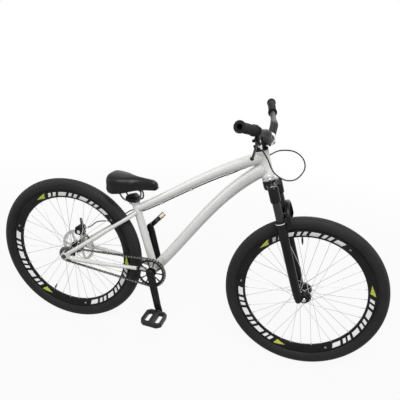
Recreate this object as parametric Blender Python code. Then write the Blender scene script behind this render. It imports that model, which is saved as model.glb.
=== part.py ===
# Single speed hardtail bicycle with a suspension fork, built as separate named pieces.
# Metres, +X forward, +Y to the rider's left, +Z up. The origin lies on the ground, midway
# between the axles. The drive side is at -Y.
import math

import bmesh
import bpy
from mathutils import Matrix, Vector

# Clearances between mating pieces
GAP = 0.0003
RUNNING_GAP = 0.0010

# Wheels
WHEELBASE = 1.054
TYRE_WIDTH = 0.054
TYRE_WALL = 0.0026
TREAD_EXTRA = 0.0014
RIM_OUTER_RADIUS = 0.2855
RIM_DEPTH = 0.035
RIM_WIDTH = 0.025
RIM_WALL = 0.0017
RIM_TIP_WIDTH = 0.009
BEAD_DEPTH = 0.0075
WHEEL_STEPS = 30
ROUND_SIDES = 16
HUB_SIDES = 12
SPOKE_RADIUS = 0.0012
SPOKES_PER_SIDE = 18
SPOKE_LACING_TURN = 60.0
SPOKE_RIM_OFFSET = 0.0015
SPOKE_HOLE_CIRCLE = 0.0245
HUB_FLANGE_RADIUS = 0.0285
HUB_FLANGE_THICKNESS = 0.003
HUB_BARREL_RADIUS = 0.0145
HUB_END_RADIUS = 0.011
AXLE_RADIUS = 0.005
FRONT_HUB_WIDTH = 0.100
FRONT_FLANGE_OFFSET = 0.033
REAR_HUB_WIDTH = 0.135
REAR_FLANGE_RIGHT = 0.026
REAR_FLANGE_LEFT = 0.033

# Frame
BOTTOM_BRACKET_AHEAD_OF_REAR_AXLE = 0.396
BOTTOM_BRACKET_DROP = 0.015
BB_SHELL_RADIUS = 0.0205
BB_SHELL_WIDTH = 0.068
BB_SHELL_WALL = 0.0025
SEAT_ANGLE = 72.4
SEAT_TUBE_LENGTH = 0.314
SEAT_TUBE_RADIUS = 0.0165
SEAT_TUBE_WALL = 0.0026
HEAD_ANGLE = 70.3
FORK_RAKE = 0.041
HEAD_TUBE_RADIUS = 0.0235
HEAD_TUBE_WALL = 0.0030
HEAD_TUBE_LENGTH = 0.106
HEADSET_CUP_HEIGHT = 0.0105
HEADSET_CUP_RADIUS = 0.0252
TOP_TUBE_BELOW_SEAT_TOP = 0.034
TOP_TUBE_BELOW_HEAD_TOP = 0.0275
TOP_TUBE_BOW = 0.0154
TOP_TUBE_REAR_RADIUS = 0.0165
TOP_TUBE_FRONT_RADIUS = 0.0238
DOWN_TUBE_ABOVE_HEAD_BOTTOM = 0.0375
DOWN_TUBE_BOW = 0.0275
DOWN_TUBE_REAR_RADIUS = 0.0222
DOWN_TUBE_FRONT_RADIUS = 0.0272
TUBE_WALL = 0.0016
MAIN_TUBE_SIDES = 12
CABLE_GUIDES_ALONG = (0.197, 0.443, 0.729)
GUIDE_LENGTH = 0.012
GUIDE_WIDTH = 0.0095
GUIDE_WALL = 0.0022
CHAINSTAY_RADIUS = 0.0100
SEATSTAY_RADIUS = 0.0090
CHAINSTAY_WAIST = 0.86
SEATSTAY_WAIST = 0.92
STAY_STEPS = 12
STAY_SIDES = 8
STAY_SPREAD_AT_BB = 0.0240
STAY_TYRE_CLEARANCE = 0.0035
STAY_RING_CLEARANCE = 0.0030
SEATSTAY_BELOW_SEAT_TOP = 0.048
SEATSTAY_SPREAD_AT_TOP = 0.0150
DROPOUT_THICKNESS = 0.006
DROPOUT_REACH = 0.036
DROPOUT_RADIUS = 0.0165

# Seat
SEATPOST_RADIUS = 0.0136
SEATPOST_WALL = 0.0022
SEATPOST_INSERTION = 0.190
SEATPOST_ABOVE_TUBE = 0.0165
SEAT_CLAMP_HEIGHT = 0.0115
SEAT_CLAMP_WALL = 0.0024
RAIL_RADIUS = 0.0035
RAIL_SPACING = 0.044
CLAMP_BODY_WIDTH = 0.033
CLAMP_PAD_LENGTH = 0.034
CLAMP_PAD_OUTER = 0.030
CLAMP_PAD_HEIGHT = 0.0185
SADDLE_LENGTH = 0.216
SADDLE_WIDTH = 0.142
SADDLE_NOSE_WIDTH = 0.040
SADDLE_TAIL_DEPTH = 0.075
SADDLE_NOSE_DEPTH = 0.037
SADDLE_SKIRT = 0.010
SADDLE_TAIL_LIFT = 0.016
SADDLE_HOLLOW = 0.0015
SADDLE_ABOVE_RAILS = 0.0395
SADDLE_BEHIND_POST = 0.112
SADDLE_LEAN = 6.0
SADDLE_BASE_THICKNESS = 0.003

# Fork and steering
AXLE_TO_CROWN_ALONG = 0.498
CROWN_HEIGHT = 0.034
CROWN_HUB_RADIUS = 0.0260
CROWN_SOCKET_LENGTH = 0.062
CROWN_SOCKET_WALL = 0.0045
CROWN_SHOULDER_DROP = 0.012
STEERER_RADIUS = 0.0143
STEERER_WALL = 0.0022
FORK_HALF_SPREAD = 0.0640
STANCHION_RADIUS = 0.0155
STANCHION_WALL = 0.0022
STANCHION_AHEAD = 0.0190
STANCHION_LENGTH = 0.270
FORK_TRAVEL = 0.075
LOWER_LEG_RADIUS = 0.0190
LOWER_LEG_TOP = 0.336
LOWER_LEG_FOOT = 0.018
LOWER_LEG_SIDES = 12
DUST_SEAL_HEIGHT = 0.012
DUST_SEAL_RADIUS = 0.0190
ARCH_CREST = 0.402
ARCH_AHEAD = 0.0520
ARCH_THICKNESS = 0.010
ARCH_DEPTH = 0.016
FORK_LUG_RADIUS = 0.0165
FORK_LUG_THICKNESS = 0.009
AXLE_BOLT_RADIUS = 0.0085
AXLE_BOLT_HEIGHT = 0.007

# Cockpit
STEM_HEIGHT = 0.040
STEM_RADIUS = 0.0205
STEM_REACH = 0.037
STEM_RISE = 0.005
BAR_CLAMP_RADIUS = 0.0159
BAR_GRIP_RADIUS = 0.0111
BAR_HALF_WIDTH = 0.3705
BAR_RISE = 0.034
BAR_RISE_START = 0.040
BAR_RISE_END = 0.105
BAR_UPSWEEP = 12.0
BAR_BACKSWEEP = 11.0
BAR_END_BORE_DEPTH = 0.030
BAR_WALL = 0.0026
BAR_SIDES = 12
FACEPLATE_WIDTH = 0.036
FACEPLATE_WALL = 0.0055
STEM_CLAMP_SIDES = 24
GRIP_LENGTH = 0.131
GRIP_RADIUS = 0.0160
GRIP_FLANGE_RADIUS = 0.0192
GRIP_FLANGE_WIDTH = 0.005
LEVER_FROM_GRIP = 0.0195
LEVER_CLAMP_WIDTH = 0.016
LEVER_CLAMP_WALL = 0.0055
LEVER_PIVOT_AHEAD = 0.028
LEVER_BLADE_LENGTH = 0.105
LEVER_BLADE_THICKNESS = 0.006
LEVER_HUB_RADIUS = 0.0075
LEVER_BALL_RADIUS = 0.0065
LEVER_BRACKET_THICKNESS = 0.014
ADJUSTER_RADIUS = 0.0060
ADJUSTER_LENGTH = 0.026

# Brake
ROTOR_RADIUS = 0.080
ROTOR_THICKNESS = 0.0018
ROTOR_TRACK_WIDTH = 0.015
ROTOR_FROM_DROPOUT = 0.0155
ROTOR_PILOT_RADIUS = 0.0175
ROTOR_ARMS = 6
CALIPER_ANGLE = 82.0
CALIPER_WIDTH = 0.040
CALIPER_LUG_REACH = 0.077
CALIPER_INNER_RADIUS = 0.060
CALIPER_OUTER_RADIUS = 0.103
CALIPER_SLOT_GAP = 0.0022
CALIPER_ARM_LENGTH = 0.036
CALIPER_ARM_THICKNESS = 0.006
CABLE_RADIUS = 0.0025
CABLE_STEPS = 58
CABLE_SIDES = 5
CABLE_OFF_STAY = 0.0042
CABLE_OFF_TUBE = 0.0016

# Drive
CHAIN_PITCH = 0.0127
RING_TEETH = 32
COG_TEETH = 16
CHAIN_LINE = 0.047
TOOTH_THICKNESS = 0.0024
TOOTH_TIP = 0.0024
TOOTH_ROOT = 0.0039
CHAIN_HALF_HEIGHT = 0.0044
CHAIN_INNER_WIDTH = 0.0036
CHAIN_OUTER_WIDTH = 0.0092
RING_WINDOWS = 10
RING_RIM_WIDTH = 0.0085
RING_HUB_RADIUS = 0.0215
RING_ARM_WIDTH = 0.0042
COG_BORE_RADIUS = 0.0165
COG_BODY_SIDES = 24
SPINDLE_RADIUS = 0.0095
SPINDLE_OVERHANG = 0.026
CRANK_LENGTH = 0.170
CRANK_ANGLE = -71.0
CRANK_BOSS_RADIUS = 0.0175
CRANK_EYE_RADIUS = 0.0140
CRANK_THICKNESS = 0.0130
CRANK_FLARE = 0.0230
PEDAL_AXLE_RADIUS = 0.0060
PEDAL_LENGTH = 0.092
PEDAL_WIDTH = 0.100
PEDAL_THICKNESS = 0.022
PEDAL_RAIL = 0.0125
PEDAL_CORNER = 0.016
PEDAL_RIGHT_TILT = -4.0
PEDAL_LEFT_TILT = 48.0

# Places that follow from the sizes
WHEEL_RADIUS = RIM_OUTER_RADIUS - BEAD_DEPTH * 0.4 + TYRE_WIDTH * 0.97
REAR_AXLE = Vector((-WHEELBASE / 2, 0, WHEEL_RADIUS))
FRONT_AXLE = Vector((WHEELBASE / 2, 0, WHEEL_RADIUS))
BOTTOM_BRACKET = REAR_AXLE + Vector((BOTTOM_BRACKET_AHEAD_OF_REAR_AXLE, 0, -BOTTOM_BRACKET_DROP))
AHEAD = Vector((1, 0, 0))
SIDE = Vector((0, 1, 0))
UP = Vector((0, 0, 1))
STEER_UP = Vector((-math.cos(math.radians(HEAD_ANGLE)), 0, math.sin(math.radians(HEAD_ANGLE))))
STEER_AHEAD = Vector((math.sin(math.radians(HEAD_ANGLE)), 0, math.cos(math.radians(HEAD_ANGLE))))
STEER_FOOT = FRONT_AXLE - FORK_RAKE * STEER_AHEAD
SEAT_UP = Vector((-math.cos(math.radians(SEAT_ANGLE)), 0, math.sin(math.radians(SEAT_ANGLE))))
LOWER_CUP_BOTTOM = AXLE_TO_CROWN_ALONG + GAP
HEAD_TUBE_BOTTOM = LOWER_CUP_BOTTOM + HEADSET_CUP_HEIGHT + GAP
HEAD_TUBE_TOP = HEAD_TUBE_BOTTOM + HEAD_TUBE_LENGTH
UPPER_CUP_TOP = HEAD_TUBE_TOP + GAP + HEADSET_CUP_HEIGHT
STEM_BOTTOM = UPPER_CUP_TOP + GAP
STEM_TOP = STEM_BOTTOM + STEM_HEIGHT
TOP_TUBE_ON_SEAT_TUBE = SEAT_TUBE_LENGTH - TOP_TUBE_BELOW_SEAT_TOP
SEATSTAY_ON_SEAT_TUBE = SEAT_TUBE_LENGTH - SEATSTAY_BELOW_SEAT_TOP
LEVER_CLAMP_AT = BAR_HALF_WIDTH - GRIP_LENGTH - LEVER_CLAMP_WIDTH / 2 - LEVER_FROM_GRIP
ROTOR_PLANE = REAR_HUB_WIDTH / 2 - ROTOR_FROM_DROPOUT
RING_PITCH_RADIUS = CHAIN_PITCH / (2 * math.sin(math.pi / RING_TEETH))
COG_PITCH_RADIUS = CHAIN_PITCH / (2 * math.sin(math.pi / COG_TEETH))


def steer(along, ahead=0.0, side=0.0):
    return STEER_FOOT + STEER_UP * along + STEER_AHEAD * ahead + SIDE * side


def seat(along, side=0.0):
    return BOTTOM_BRACKET + SEAT_UP * along + SIDE * side


BAR_CENTRE = steer((STEM_BOTTOM + STEM_TOP) / 2 + STEM_RISE, STEM_REACH)


# Materials, named after what they coat
def finish(name, colour, roughness, metallic):
    material = bpy.data.materials.new(name)
    material.use_nodes = True
    shader = material.node_tree.nodes["Principled BSDF"]
    shader.inputs["Base Color"].default_value = (*colour, 1.0)
    shader.inputs["Roughness"].default_value = roughness
    shader.inputs["Metallic"].default_value = metallic
    material.diffuse_color = (*colour, 1.0)
    return material


FINISHES = {
    "silver_paint": ((0.72, 0.73, 0.72), 0.35, 0.3),
    "black_gloss": ((0.015, 0.015, 0.017), 0.18, 0.0),
    "black_satin": ((0.03, 0.03, 0.032), 0.45, 0.0),
    "rubber": ((0.02, 0.02, 0.022), 0.75, 0.0),
    "saddle_vinyl": ((0.025, 0.025, 0.028), 0.5, 0.0),
    "polished": ((0.80, 0.80, 0.79), 0.15, 1.0),
    "steel": ((0.55, 0.55, 0.54), 0.3, 1.0),
    "dark_steel": ((0.12, 0.12, 0.12), 0.4, 0.8),
    "black_chrome": ((0.06, 0.06, 0.065), 0.12, 0.9),
}


# Each piece is a mesh in world coordinates that is carried by the empty of its moving body
class Body:
    def __init__(self, name, place, parent=None):
        self.place = place
        self.empty = bpy.data.objects.new(name, None)
        self.empty.empty_display_size = 0.05
        self.empty.location = place - (parent.place if parent else Vector())
        if parent:
            self.empty.parent = parent.empty
        bpy.context.scene.collection.objects.link(self.empty)


def piece(name, mesh_data, coat, body, smooth=35.0):
    bmesh.ops.recalc_face_normals(mesh_data, faces=mesh_data.faces)
    bmesh.ops.translate(mesh_data, verts=mesh_data.verts, vec=-body.place)
    mesh = bpy.data.meshes.new(name)
    mesh_data.to_mesh(mesh)
    mesh_data.free()
    mesh.shade_smooth()
    mesh.set_sharp_from_angle(angle=math.radians(smooth))
    colour, roughness, metallic = FINISHES[coat]
    mesh.materials.append(finish(name, colour, roughness, metallic))
    made = bpy.data.objects.new(name, mesh)
    made.parent = body.empty
    bpy.context.scene.collection.objects.link(made)
    return made


def tool(name, mesh_data, body):
    bmesh.ops.recalc_face_normals(mesh_data, faces=mesh_data.faces)
    bmesh.ops.translate(mesh_data, verts=mesh_data.verts, vec=-body.place)
    mesh = bpy.data.meshes.new(name)
    mesh_data.to_mesh(mesh)
    mesh_data.free()
    made = bpy.data.objects.new(name, mesh)
    made.parent = body.empty
    made.hide_render = True
    made.display_type = "WIRE"
    bpy.context.scene.collection.objects.link(made)
    return made


def combine(target, other, operation):
    change = target.modifiers.new(operation.lower() + "_" + other.name, "BOOLEAN")
    change.operation = operation
    change.object = other
    change.solver = "EXACT"


# A closed grid of rings: each ring is a list of points, and all rings have the same count
def rings_to_faces(mesh_data, rings, closed):
    grid = [[mesh_data.verts.new(point) for point in ring] for ring in rings]
    count = len(grid[0])
    spans = len(grid) if closed else len(grid) - 1
    for i in range(spans):
        a = grid[i]
        b = grid[(i + 1) % len(grid)]
        for j in range(count):
            k = (j + 1) % count
            mesh_data.faces.new((a[j], a[k], b[k], b[j]))
    return grid


def cross_axes(direction, hint):
    first = hint - direction * hint.dot(direction)
    first.normalize()
    return first, direction.cross(first)


def tangent_at(points, i):
    before = points[max(i - 1, 0)]
    after = points[min(i + 1, len(points) - 1)]
    return (after - before).normalized()


# A round tube or bar along a route, solid when wall is zero
def tube(points, radii, sides=12, wall=0.0, hint=SIDE):
    mesh_data = bmesh.new()
    outer = []
    inner = []
    for i, point in enumerate(points):
        across, over = cross_axes(tangent_at(points, i), hint)
        turn = []
        for j in range(sides):
            angle = 2 * math.pi * j / sides
            turn.append(across * math.cos(angle) + over * math.sin(angle))
        outer.append([point + out * radii[i] for out in turn])
        if wall:
            inner.append([point + out * (radii[i] - wall) for out in turn])
    if wall:
        rings_to_faces(mesh_data, outer + inner[::-1], True)
    else:
        grid = rings_to_faces(mesh_data, outer, False)
        mesh_data.faces.new(grid[0])
        mesh_data.faces.new(grid[-1])
    return mesh_data


# A turned piece: profile points are (radius, along), the profile is a closed loop off the axis
def ring_turned(profile, centre, axis, steps, start=0.0):
    mesh_data = bmesh.new()
    first, second = cross_axes(axis, UP if abs(axis.z) < 0.9 else Vector((1, 0, 0)))
    rings = []
    for i in range(steps):
        angle = 2 * math.pi * (i + start) / steps
        out = first * math.cos(angle) + second * math.sin(angle)
        rings.append([centre + out * radius + axis * along for radius, along in profile])
    rings_to_faces(mesh_data, rings, True)
    return mesh_data


# A turned solid whose profile starts and ends with flat round faces on the axis
def solid_turned(profile, centre, axis, steps, start=0.0):
    mesh_data = bmesh.new()
    first, second = cross_axes(axis, UP if abs(axis.z) < 0.9 else Vector((1, 0, 0)))
    rings = []
    for radius, along in profile:
        ring = []
        for i in range(steps):
            angle = 2 * math.pi * (i + start) / steps
            out = first * math.cos(angle) + second * math.sin(angle)
            ring.append(centre + out * radius + axis * along)
        rings.append(ring)
    grid = rings_to_faces(mesh_data, rings, False)
    mesh_data.faces.new(grid[0])
    mesh_data.faces.new(grid[-1])
    return mesh_data


# A flat outline in the plane of two axes, thickened along a third
def plate(outline, centre, first, second, thickness):
    mesh_data = bmesh.new()
    normal = first.cross(second).normalized()
    half = normal * (thickness / 2)
    low = [mesh_data.verts.new(centre + first * a + second * b - half) for a, b in outline]
    high = [mesh_data.verts.new(centre + first * a + second * b + half) for a, b in outline]
    mesh_data.faces.new(low)
    mesh_data.faces.new(high)
    for i in range(len(outline)):
        k = (i + 1) % len(outline)
        mesh_data.faces.new((low[i], low[k], high[k], high[i]))
    return mesh_data


def add_to(mesh_data, other):
    mesh = bpy.data.meshes.new("joined")
    other.to_mesh(mesh)
    other.free()
    mesh_data.from_mesh(mesh)
    bpy.data.meshes.remove(mesh)


def box(centre, first, second, sizes):
    half_a = sizes[0] / 2
    half_b = sizes[1] / 2
    outline = [(-half_a, -half_b), (half_a, -half_b), (half_a, half_b), (-half_a, half_b)]
    return plate(outline, centre, first, second, sizes[2])


# The outline around two circles, as a list of points in their plane
def capsule(start, end, start_radius, end_radius, steps=8):
    heading = math.atan2(end[1] - start[1], end[0] - start[0])
    length = math.hypot(end[0] - start[0], end[1] - start[1])
    lean = math.acos((start_radius - end_radius) / length)
    outline = []
    for centre, radius, first, sweep in (
            (start, start_radius, heading + lean, 2 * math.pi - 2 * lean),
            (end, end_radius, heading - lean, 2 * lean)):
        for i in range(steps + 1):
            angle = first + sweep * i / steps
            outline.append((centre[0] + radius * math.cos(angle), centre[1] + radius * math.sin(angle)))
    return outline


def polar(degrees, radius):
    angle = math.radians(degrees)
    return Vector((math.cos(angle), 0, math.sin(angle))) * radius


# The reach of a faceted ring in one direction, where a corner points straight up
def facet_radius(radius, degrees, steps):
    share = 360 / steps
    off = (degrees - 90) % share - share / 2
    return radius * math.cos(math.radians(share / 2)) / math.cos(math.radians(off))


# A tube centre line that bows upwards, most of all towards its front end
def bow_at(start, end, bow, t):
    chord = end - start
    lift = Vector((-chord.z, 0, chord.x)).normalized()
    return start + chord * t + lift * (bow * 6.75 * t * t * (1 - t))


def top_tube_at(t):
    start = seat(TOP_TUBE_ON_SEAT_TUBE)
    end = steer(HEAD_TUBE_TOP - TOP_TUBE_BELOW_HEAD_TOP)
    return bow_at(start, end, TOP_TUBE_BOW, t)


def top_tube_radius(t):
    return TOP_TUBE_REAR_RADIUS + (TOP_TUBE_FRONT_RADIUS - TOP_TUBE_REAR_RADIUS) * t * t


def down_tube_at(t):
    end = steer(HEAD_TUBE_BOTTOM + DOWN_TUBE_ABOVE_HEAD_BOTTOM)
    return bow_at(BOTTOM_BRACKET, end, DOWN_TUBE_BOW, t)


def down_tube_radius(t):
    return DOWN_TUBE_REAR_RADIUS + (DOWN_TUBE_FRONT_RADIUS - DOWN_TUBE_REAR_RADIUS) * t ** 3


# Where the brake cable lies under the top tube, and the way it runs there
def cable_under_top_tube(t):
    heading = (top_tube_at(t + 0.01) - top_tube_at(t - 0.01)).normalized()
    below = Vector((heading.z, 0, -heading.x))
    return top_tube_at(t) + below * (top_tube_radius(t) + CABLE_RADIUS + CABLE_OFF_TUBE), heading, below


# A smooth curve through chosen points, read at even steps along its length
def smooth_route(points, count):
    fine = []
    for i in range(len(points) - 1):
        before = points[max(i - 1, 0)]
        here = points[i]
        there = points[i + 1]
        after = points[min(i + 2, len(points) - 1)]
        for j in range(12):
            t = j / 12
            fine.append(0.5 * (2 * here + (there - before) * t
                               + (2 * before - 5 * here + 4 * there - after) * t ** 2
                               + (3 * here - before - 3 * there + after) * t ** 3))
    fine.append(points[-1])
    lengths = [0.0]
    for i in range(1, len(fine)):
        lengths.append(lengths[-1] + (fine[i] - fine[i - 1]).length)
    route = []
    k = 0
    for i in range(count):
        want = lengths[-1] * i / (count - 1)
        while k < len(fine) - 2 and lengths[k + 1] < want:
            k += 1
        part = (want - lengths[k]) / (lengths[k + 1] - lengths[k])
        route.append(fine[k].lerp(fine[k + 1], min(part, 1.0)))
    return route


# Start from an empty scene
for old in list(bpy.data.objects):
    bpy.data.objects.remove(old, do_unlink=True)

frame = Body("frame_body", Vector())
seat_body = Body("seat_body", seat(SEAT_TUBE_LENGTH), frame)
steering = Body("fork_upper_body", steer(AXLE_TO_CROWN_ALONG), frame)
lowers = Body("fork_lowers_body", steer(LOWER_LEG_TOP), steering)
front_wheel = Body("front_wheel_body", FRONT_AXLE, lowers)
rear_wheel = Body("rear_wheel_body", REAR_AXLE, frame)
freewheel = Body("freewheel_body", REAR_AXLE, frame)
cranks = Body("crankset_body", BOTTOM_BRACKET, frame)


# Frame tubes
def frame_tubes():
    shell_profile = [
        (BB_SHELL_RADIUS, -BB_SHELL_WIDTH / 2),
        (BB_SHELL_RADIUS, BB_SHELL_WIDTH / 2),
        (BB_SHELL_RADIUS - BB_SHELL_WALL, BB_SHELL_WIDTH / 2),
        (BB_SHELL_RADIUS - BB_SHELL_WALL, -BB_SHELL_WIDTH / 2),
    ]
    piece("bb_shell", ring_turned(shell_profile, BOTTOM_BRACKET, SIDE, ROUND_SIDES), "silver_paint", frame)
    shell_reach = BB_SHELL_WIDTH
    around_shell = tool("around_bb_shell", solid_turned(
        [(BB_SHELL_RADIUS + GAP, -shell_reach), (BB_SHELL_RADIUS + GAP, shell_reach)],
        BOTTOM_BRACKET, SIDE, ROUND_SIDES), frame)
    seat_tube = piece("seat_tube", tube(
        [seat(0), seat(SEAT_TUBE_LENGTH)], [SEAT_TUBE_RADIUS] * 2, ROUND_SIDES, SEAT_TUBE_WALL),
        "silver_paint", frame)
    combine(seat_tube, around_shell, "DIFFERENCE")
    around_seat_tube = tool("around_seat_tube", tube(
        [seat(-BB_SHELL_RADIUS), seat(SEAT_TUBE_LENGTH * 1.2)],
        [SEAT_TUBE_RADIUS + GAP] * 2, ROUND_SIDES), frame)
    head_profile = [
        (HEAD_TUBE_RADIUS, HEAD_TUBE_BOTTOM),
        (HEAD_TUBE_RADIUS, HEAD_TUBE_TOP),
        (HEAD_TUBE_RADIUS - HEAD_TUBE_WALL, HEAD_TUBE_TOP),
        (HEAD_TUBE_RADIUS - HEAD_TUBE_WALL, HEAD_TUBE_BOTTOM),
    ]
    piece("head_tube", ring_turned(head_profile, STEER_FOOT, STEER_UP, ROUND_SIDES), "silver_paint", frame)
    around_head_tube = tool("around_head_tube", solid_turned(
        [(HEAD_TUBE_RADIUS + GAP, HEAD_TUBE_BOTTOM - HEAD_TUBE_LENGTH / 2),
         (HEAD_TUBE_RADIUS + GAP, HEAD_TUBE_TOP + HEAD_TUBE_LENGTH / 2)],
        STEER_FOOT, STEER_UP, ROUND_SIDES), frame)
    steps = [i / 7 for i in range(8)]
    top_tube = piece("top_tube", tube(
        [top_tube_at(t) for t in steps], [top_tube_radius(t) for t in steps], MAIN_TUBE_SIDES, TUBE_WALL),
        "silver_paint", frame)
    for i, t in enumerate(CABLE_GUIDES_ALONG):
        centre, heading, below = cable_under_top_tube(t)
        flat = top_tube_radius(t) * math.cos(math.pi / MAIN_TUBE_SIDES) - TUBE_WALL * 0.6
        low = top_tube_radius(t) + CABLE_OFF_TUBE + 2 * CABLE_RADIUS + GUIDE_WALL
        middle = top_tube_at(t) + below * ((flat + low) / 2)
        block = tool("cable_guide_%d" % (i + 1), box(
            middle, heading, SIDE, (GUIDE_LENGTH, GUIDE_WIDTH, low - flat)), frame)
        combine(top_tube, block, "UNION")
        hole = tool("cable_guide_bore_%d" % (i + 1), tube(
            [centre - heading * GUIDE_LENGTH, centre + heading * GUIDE_LENGTH],
            [CABLE_RADIUS + RUNNING_GAP] * 2, 8), frame)
        combine(top_tube, hole, "DIFFERENCE")
    combine(top_tube, around_seat_tube, "DIFFERENCE")
    combine(top_tube, around_head_tube, "DIFFERENCE")
    reach = [(top_tube_radius(t) + GAP) / math.cos(math.pi / ROUND_SIDES) for t in steps[2:]]
    around_top_tube = tool("around_top_tube", tube(
        [top_tube_at(t) for t in steps[2:]], reach, ROUND_SIDES, 0.0, Vector((0.05, 1, 0.1))), frame)
    down_tube = piece("down_tube", tube(
        [down_tube_at(t) for t in steps], [down_tube_radius(t) for t in steps],
        MAIN_TUBE_SIDES, TUBE_WALL), "silver_paint", frame)
    around_seat_foot = tool("around_seat_foot", tube(
        [seat(-BB_SHELL_RADIUS), seat(BB_SHELL_RADIUS * 4)],
        [SEAT_TUBE_RADIUS + GAP] * 2, ROUND_SIDES), frame)
    combine(down_tube, around_shell, "DIFFERENCE")
    combine(down_tube, around_seat_foot, "DIFFERENCE")
    combine(down_tube, around_head_tube, "DIFFERENCE")
    combine(down_tube, around_top_tube, "DIFFERENCE")
    return around_shell, around_seat_tube


# A rear dropout is a plate with a front arm for the stays; the left one also carries the caliper
def dropout_outline(name, side):
    chain_end = polar(-3, DROPOUT_REACH)
    seat_end = polar(39, DROPOUT_REACH)
    centre = REAR_AXLE + SIDE * side * (REAR_HUB_WIDTH + DROPOUT_THICKNESS) / 2
    run = seat(SEATSTAY_ON_SEAT_TUBE) - REAR_AXLE - seat_end
    across = Vector((-run.z, 0, run.x)).normalized() * SEATSTAY_RADIUS * 0.95
    outline = []
    for i in range(15):
        angle = math.radians(75 + 255 * i / 14)
        outline.append((DROPOUT_RADIUS * math.cos(angle), DROPOUT_RADIUS * math.sin(angle)))
    outline.append((chain_end.x, chain_end.z - CHAINSTAY_RADIUS * 0.85))
    outline.append((chain_end.x, chain_end.z + CHAINSTAY_RADIUS * 0.85))
    outline.append((seat_end.x - across.x, seat_end.z - across.z))
    outline.append((seat_end.x + across.x, seat_end.z + across.z))
    if side > 0:
        lug = math.radians(CALIPER_ANGLE)
        for lean, reach in ((-15, CALIPER_LUG_REACH), (15, CALIPER_LUG_REACH)):
            angle = lug + math.radians(lean)
            outline.append((reach * math.cos(angle), reach * math.sin(angle)))
    made = piece(name, plate(outline, centre, AHEAD, UP, DROPOUT_THICKNESS), "silver_paint", frame)
    bore = tool("bore_" + name, solid_turned(
        [(AXLE_RADIUS + GAP, -0.02), (AXLE_RADIUS + GAP, 0.02)], centre, SIDE, 16), frame)
    combine(made, bore, "DIFFERENCE")
    return centre + chain_end, centre + seat_end


def rear_stays(around_shell, around_seat_tube):
    for side, label in ((-1, "right"), (1, "left")):
        chain_end, seat_end = dropout_outline("dropout_" + label, side)
        wide = (REAR_HUB_WIDTH + DROPOUT_THICKNESS) / 2
        at_tyre = TYRE_WIDTH / 2 + STAY_TYRE_CLEARANCE
        near_ring = CHAIN_LINE - TOOTH_THICKNESS / 2 - STAY_RING_CLEARANCE
        slim = CHAINSTAY_RADIUS * CHAINSTAY_WAIST
        plan = [(0.0, wide), (0.12, wide), (0.40, wide - (wide - at_tyre - slim) * 0.34),
                (0.60, wide - (wide - at_tyre - slim) * 0.72), (0.73, at_tyre + slim),
                (0.82, near_ring - slim), (0.90, STAY_SPREAD_AT_BB + 0.002), (1.0, STAY_SPREAD_AT_BB)]
        chainstay = stay("chainstay_" + label, chain_end, BOTTOM_BRACKET, plan, side,
                         CHAINSTAY_RADIUS, CHAINSTAY_WAIST)
        combine(chainstay, around_shell, "DIFFERENCE")
        plan = [(0.0, wide), (0.14, wide), (0.40, wide - 0.010), (0.62, at_tyre + SEATSTAY_RADIUS + 0.003),
                (0.80, at_tyre + SEATSTAY_RADIUS * 0.96), (0.88, at_tyre + SEATSTAY_RADIUS * 0.4),
                (0.95, SEATSTAY_SPREAD_AT_TOP + 0.005), (1.0, SEATSTAY_SPREAD_AT_TOP)]
        seatstay = stay("seatstay_" + label, seat_end, seat(SEATSTAY_ON_SEAT_TUBE), plan, side,
                        SEATSTAY_RADIUS, SEATSTAY_WAIST)
        combine(seatstay, around_seat_tube, "DIFFERENCE")


# A stay runs straight in side view, and its distance from the middle follows the plan
def stay(name, start, end, plan, side, radius, waist):
    run = Vector((end.x - start.x, 0, end.z - start.z))
    foot = Vector((start.x, 0, start.z)) + run.normalized() * GAP
    points = [foot + run * part + SIDE * side * width for part, width in plan]
    route = [points[0]] + smooth_route(points[1:], STAY_STEPS)
    radii = []
    for i in range(STAY_STEPS + 1):
        squeeze = math.sin(math.pi * 0.66 * i / STAY_STEPS) ** 2
        radii.append(radius * (1 - (1 - waist) * squeeze))
    return piece(name, tube(route, radii, STAY_SIDES, 0.0, UP), "silver_paint", frame)


# Headset cups: a flange outside the head tube and a skirt pressed inside it
def headset():
    inner = HEAD_TUBE_RADIUS - HEAD_TUBE_WALL - GAP
    bore = STEERER_RADIUS + GAP
    skirt = 0.012
    lower = [
        (HEADSET_CUP_RADIUS, LOWER_CUP_BOTTOM),
        (HEADSET_CUP_RADIUS, LOWER_CUP_BOTTOM + HEADSET_CUP_HEIGHT),
        (inner, LOWER_CUP_BOTTOM + HEADSET_CUP_HEIGHT),
        (inner, LOWER_CUP_BOTTOM + HEADSET_CUP_HEIGHT + skirt),
        (bore, LOWER_CUP_BOTTOM + HEADSET_CUP_HEIGHT + skirt),
        (bore, LOWER_CUP_BOTTOM),
    ]
    piece("headset_cup_lower", ring_turned(lower, STEER_FOOT, STEER_UP, ROUND_SIDES), "silver_paint", frame)
    base = HEAD_TUBE_TOP + GAP
    upper = [
        (HEADSET_CUP_RADIUS, base),
        (HEADSET_CUP_RADIUS - 0.002, UPPER_CUP_TOP),
        (bore, UPPER_CUP_TOP),
        (bore, base - skirt),
        (inner, base - skirt),
        (inner, base),
    ]
    piece("headset_cup_upper", ring_turned(upper, STEER_FOOT, STEER_UP, ROUND_SIDES), "black_satin", frame)


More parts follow.
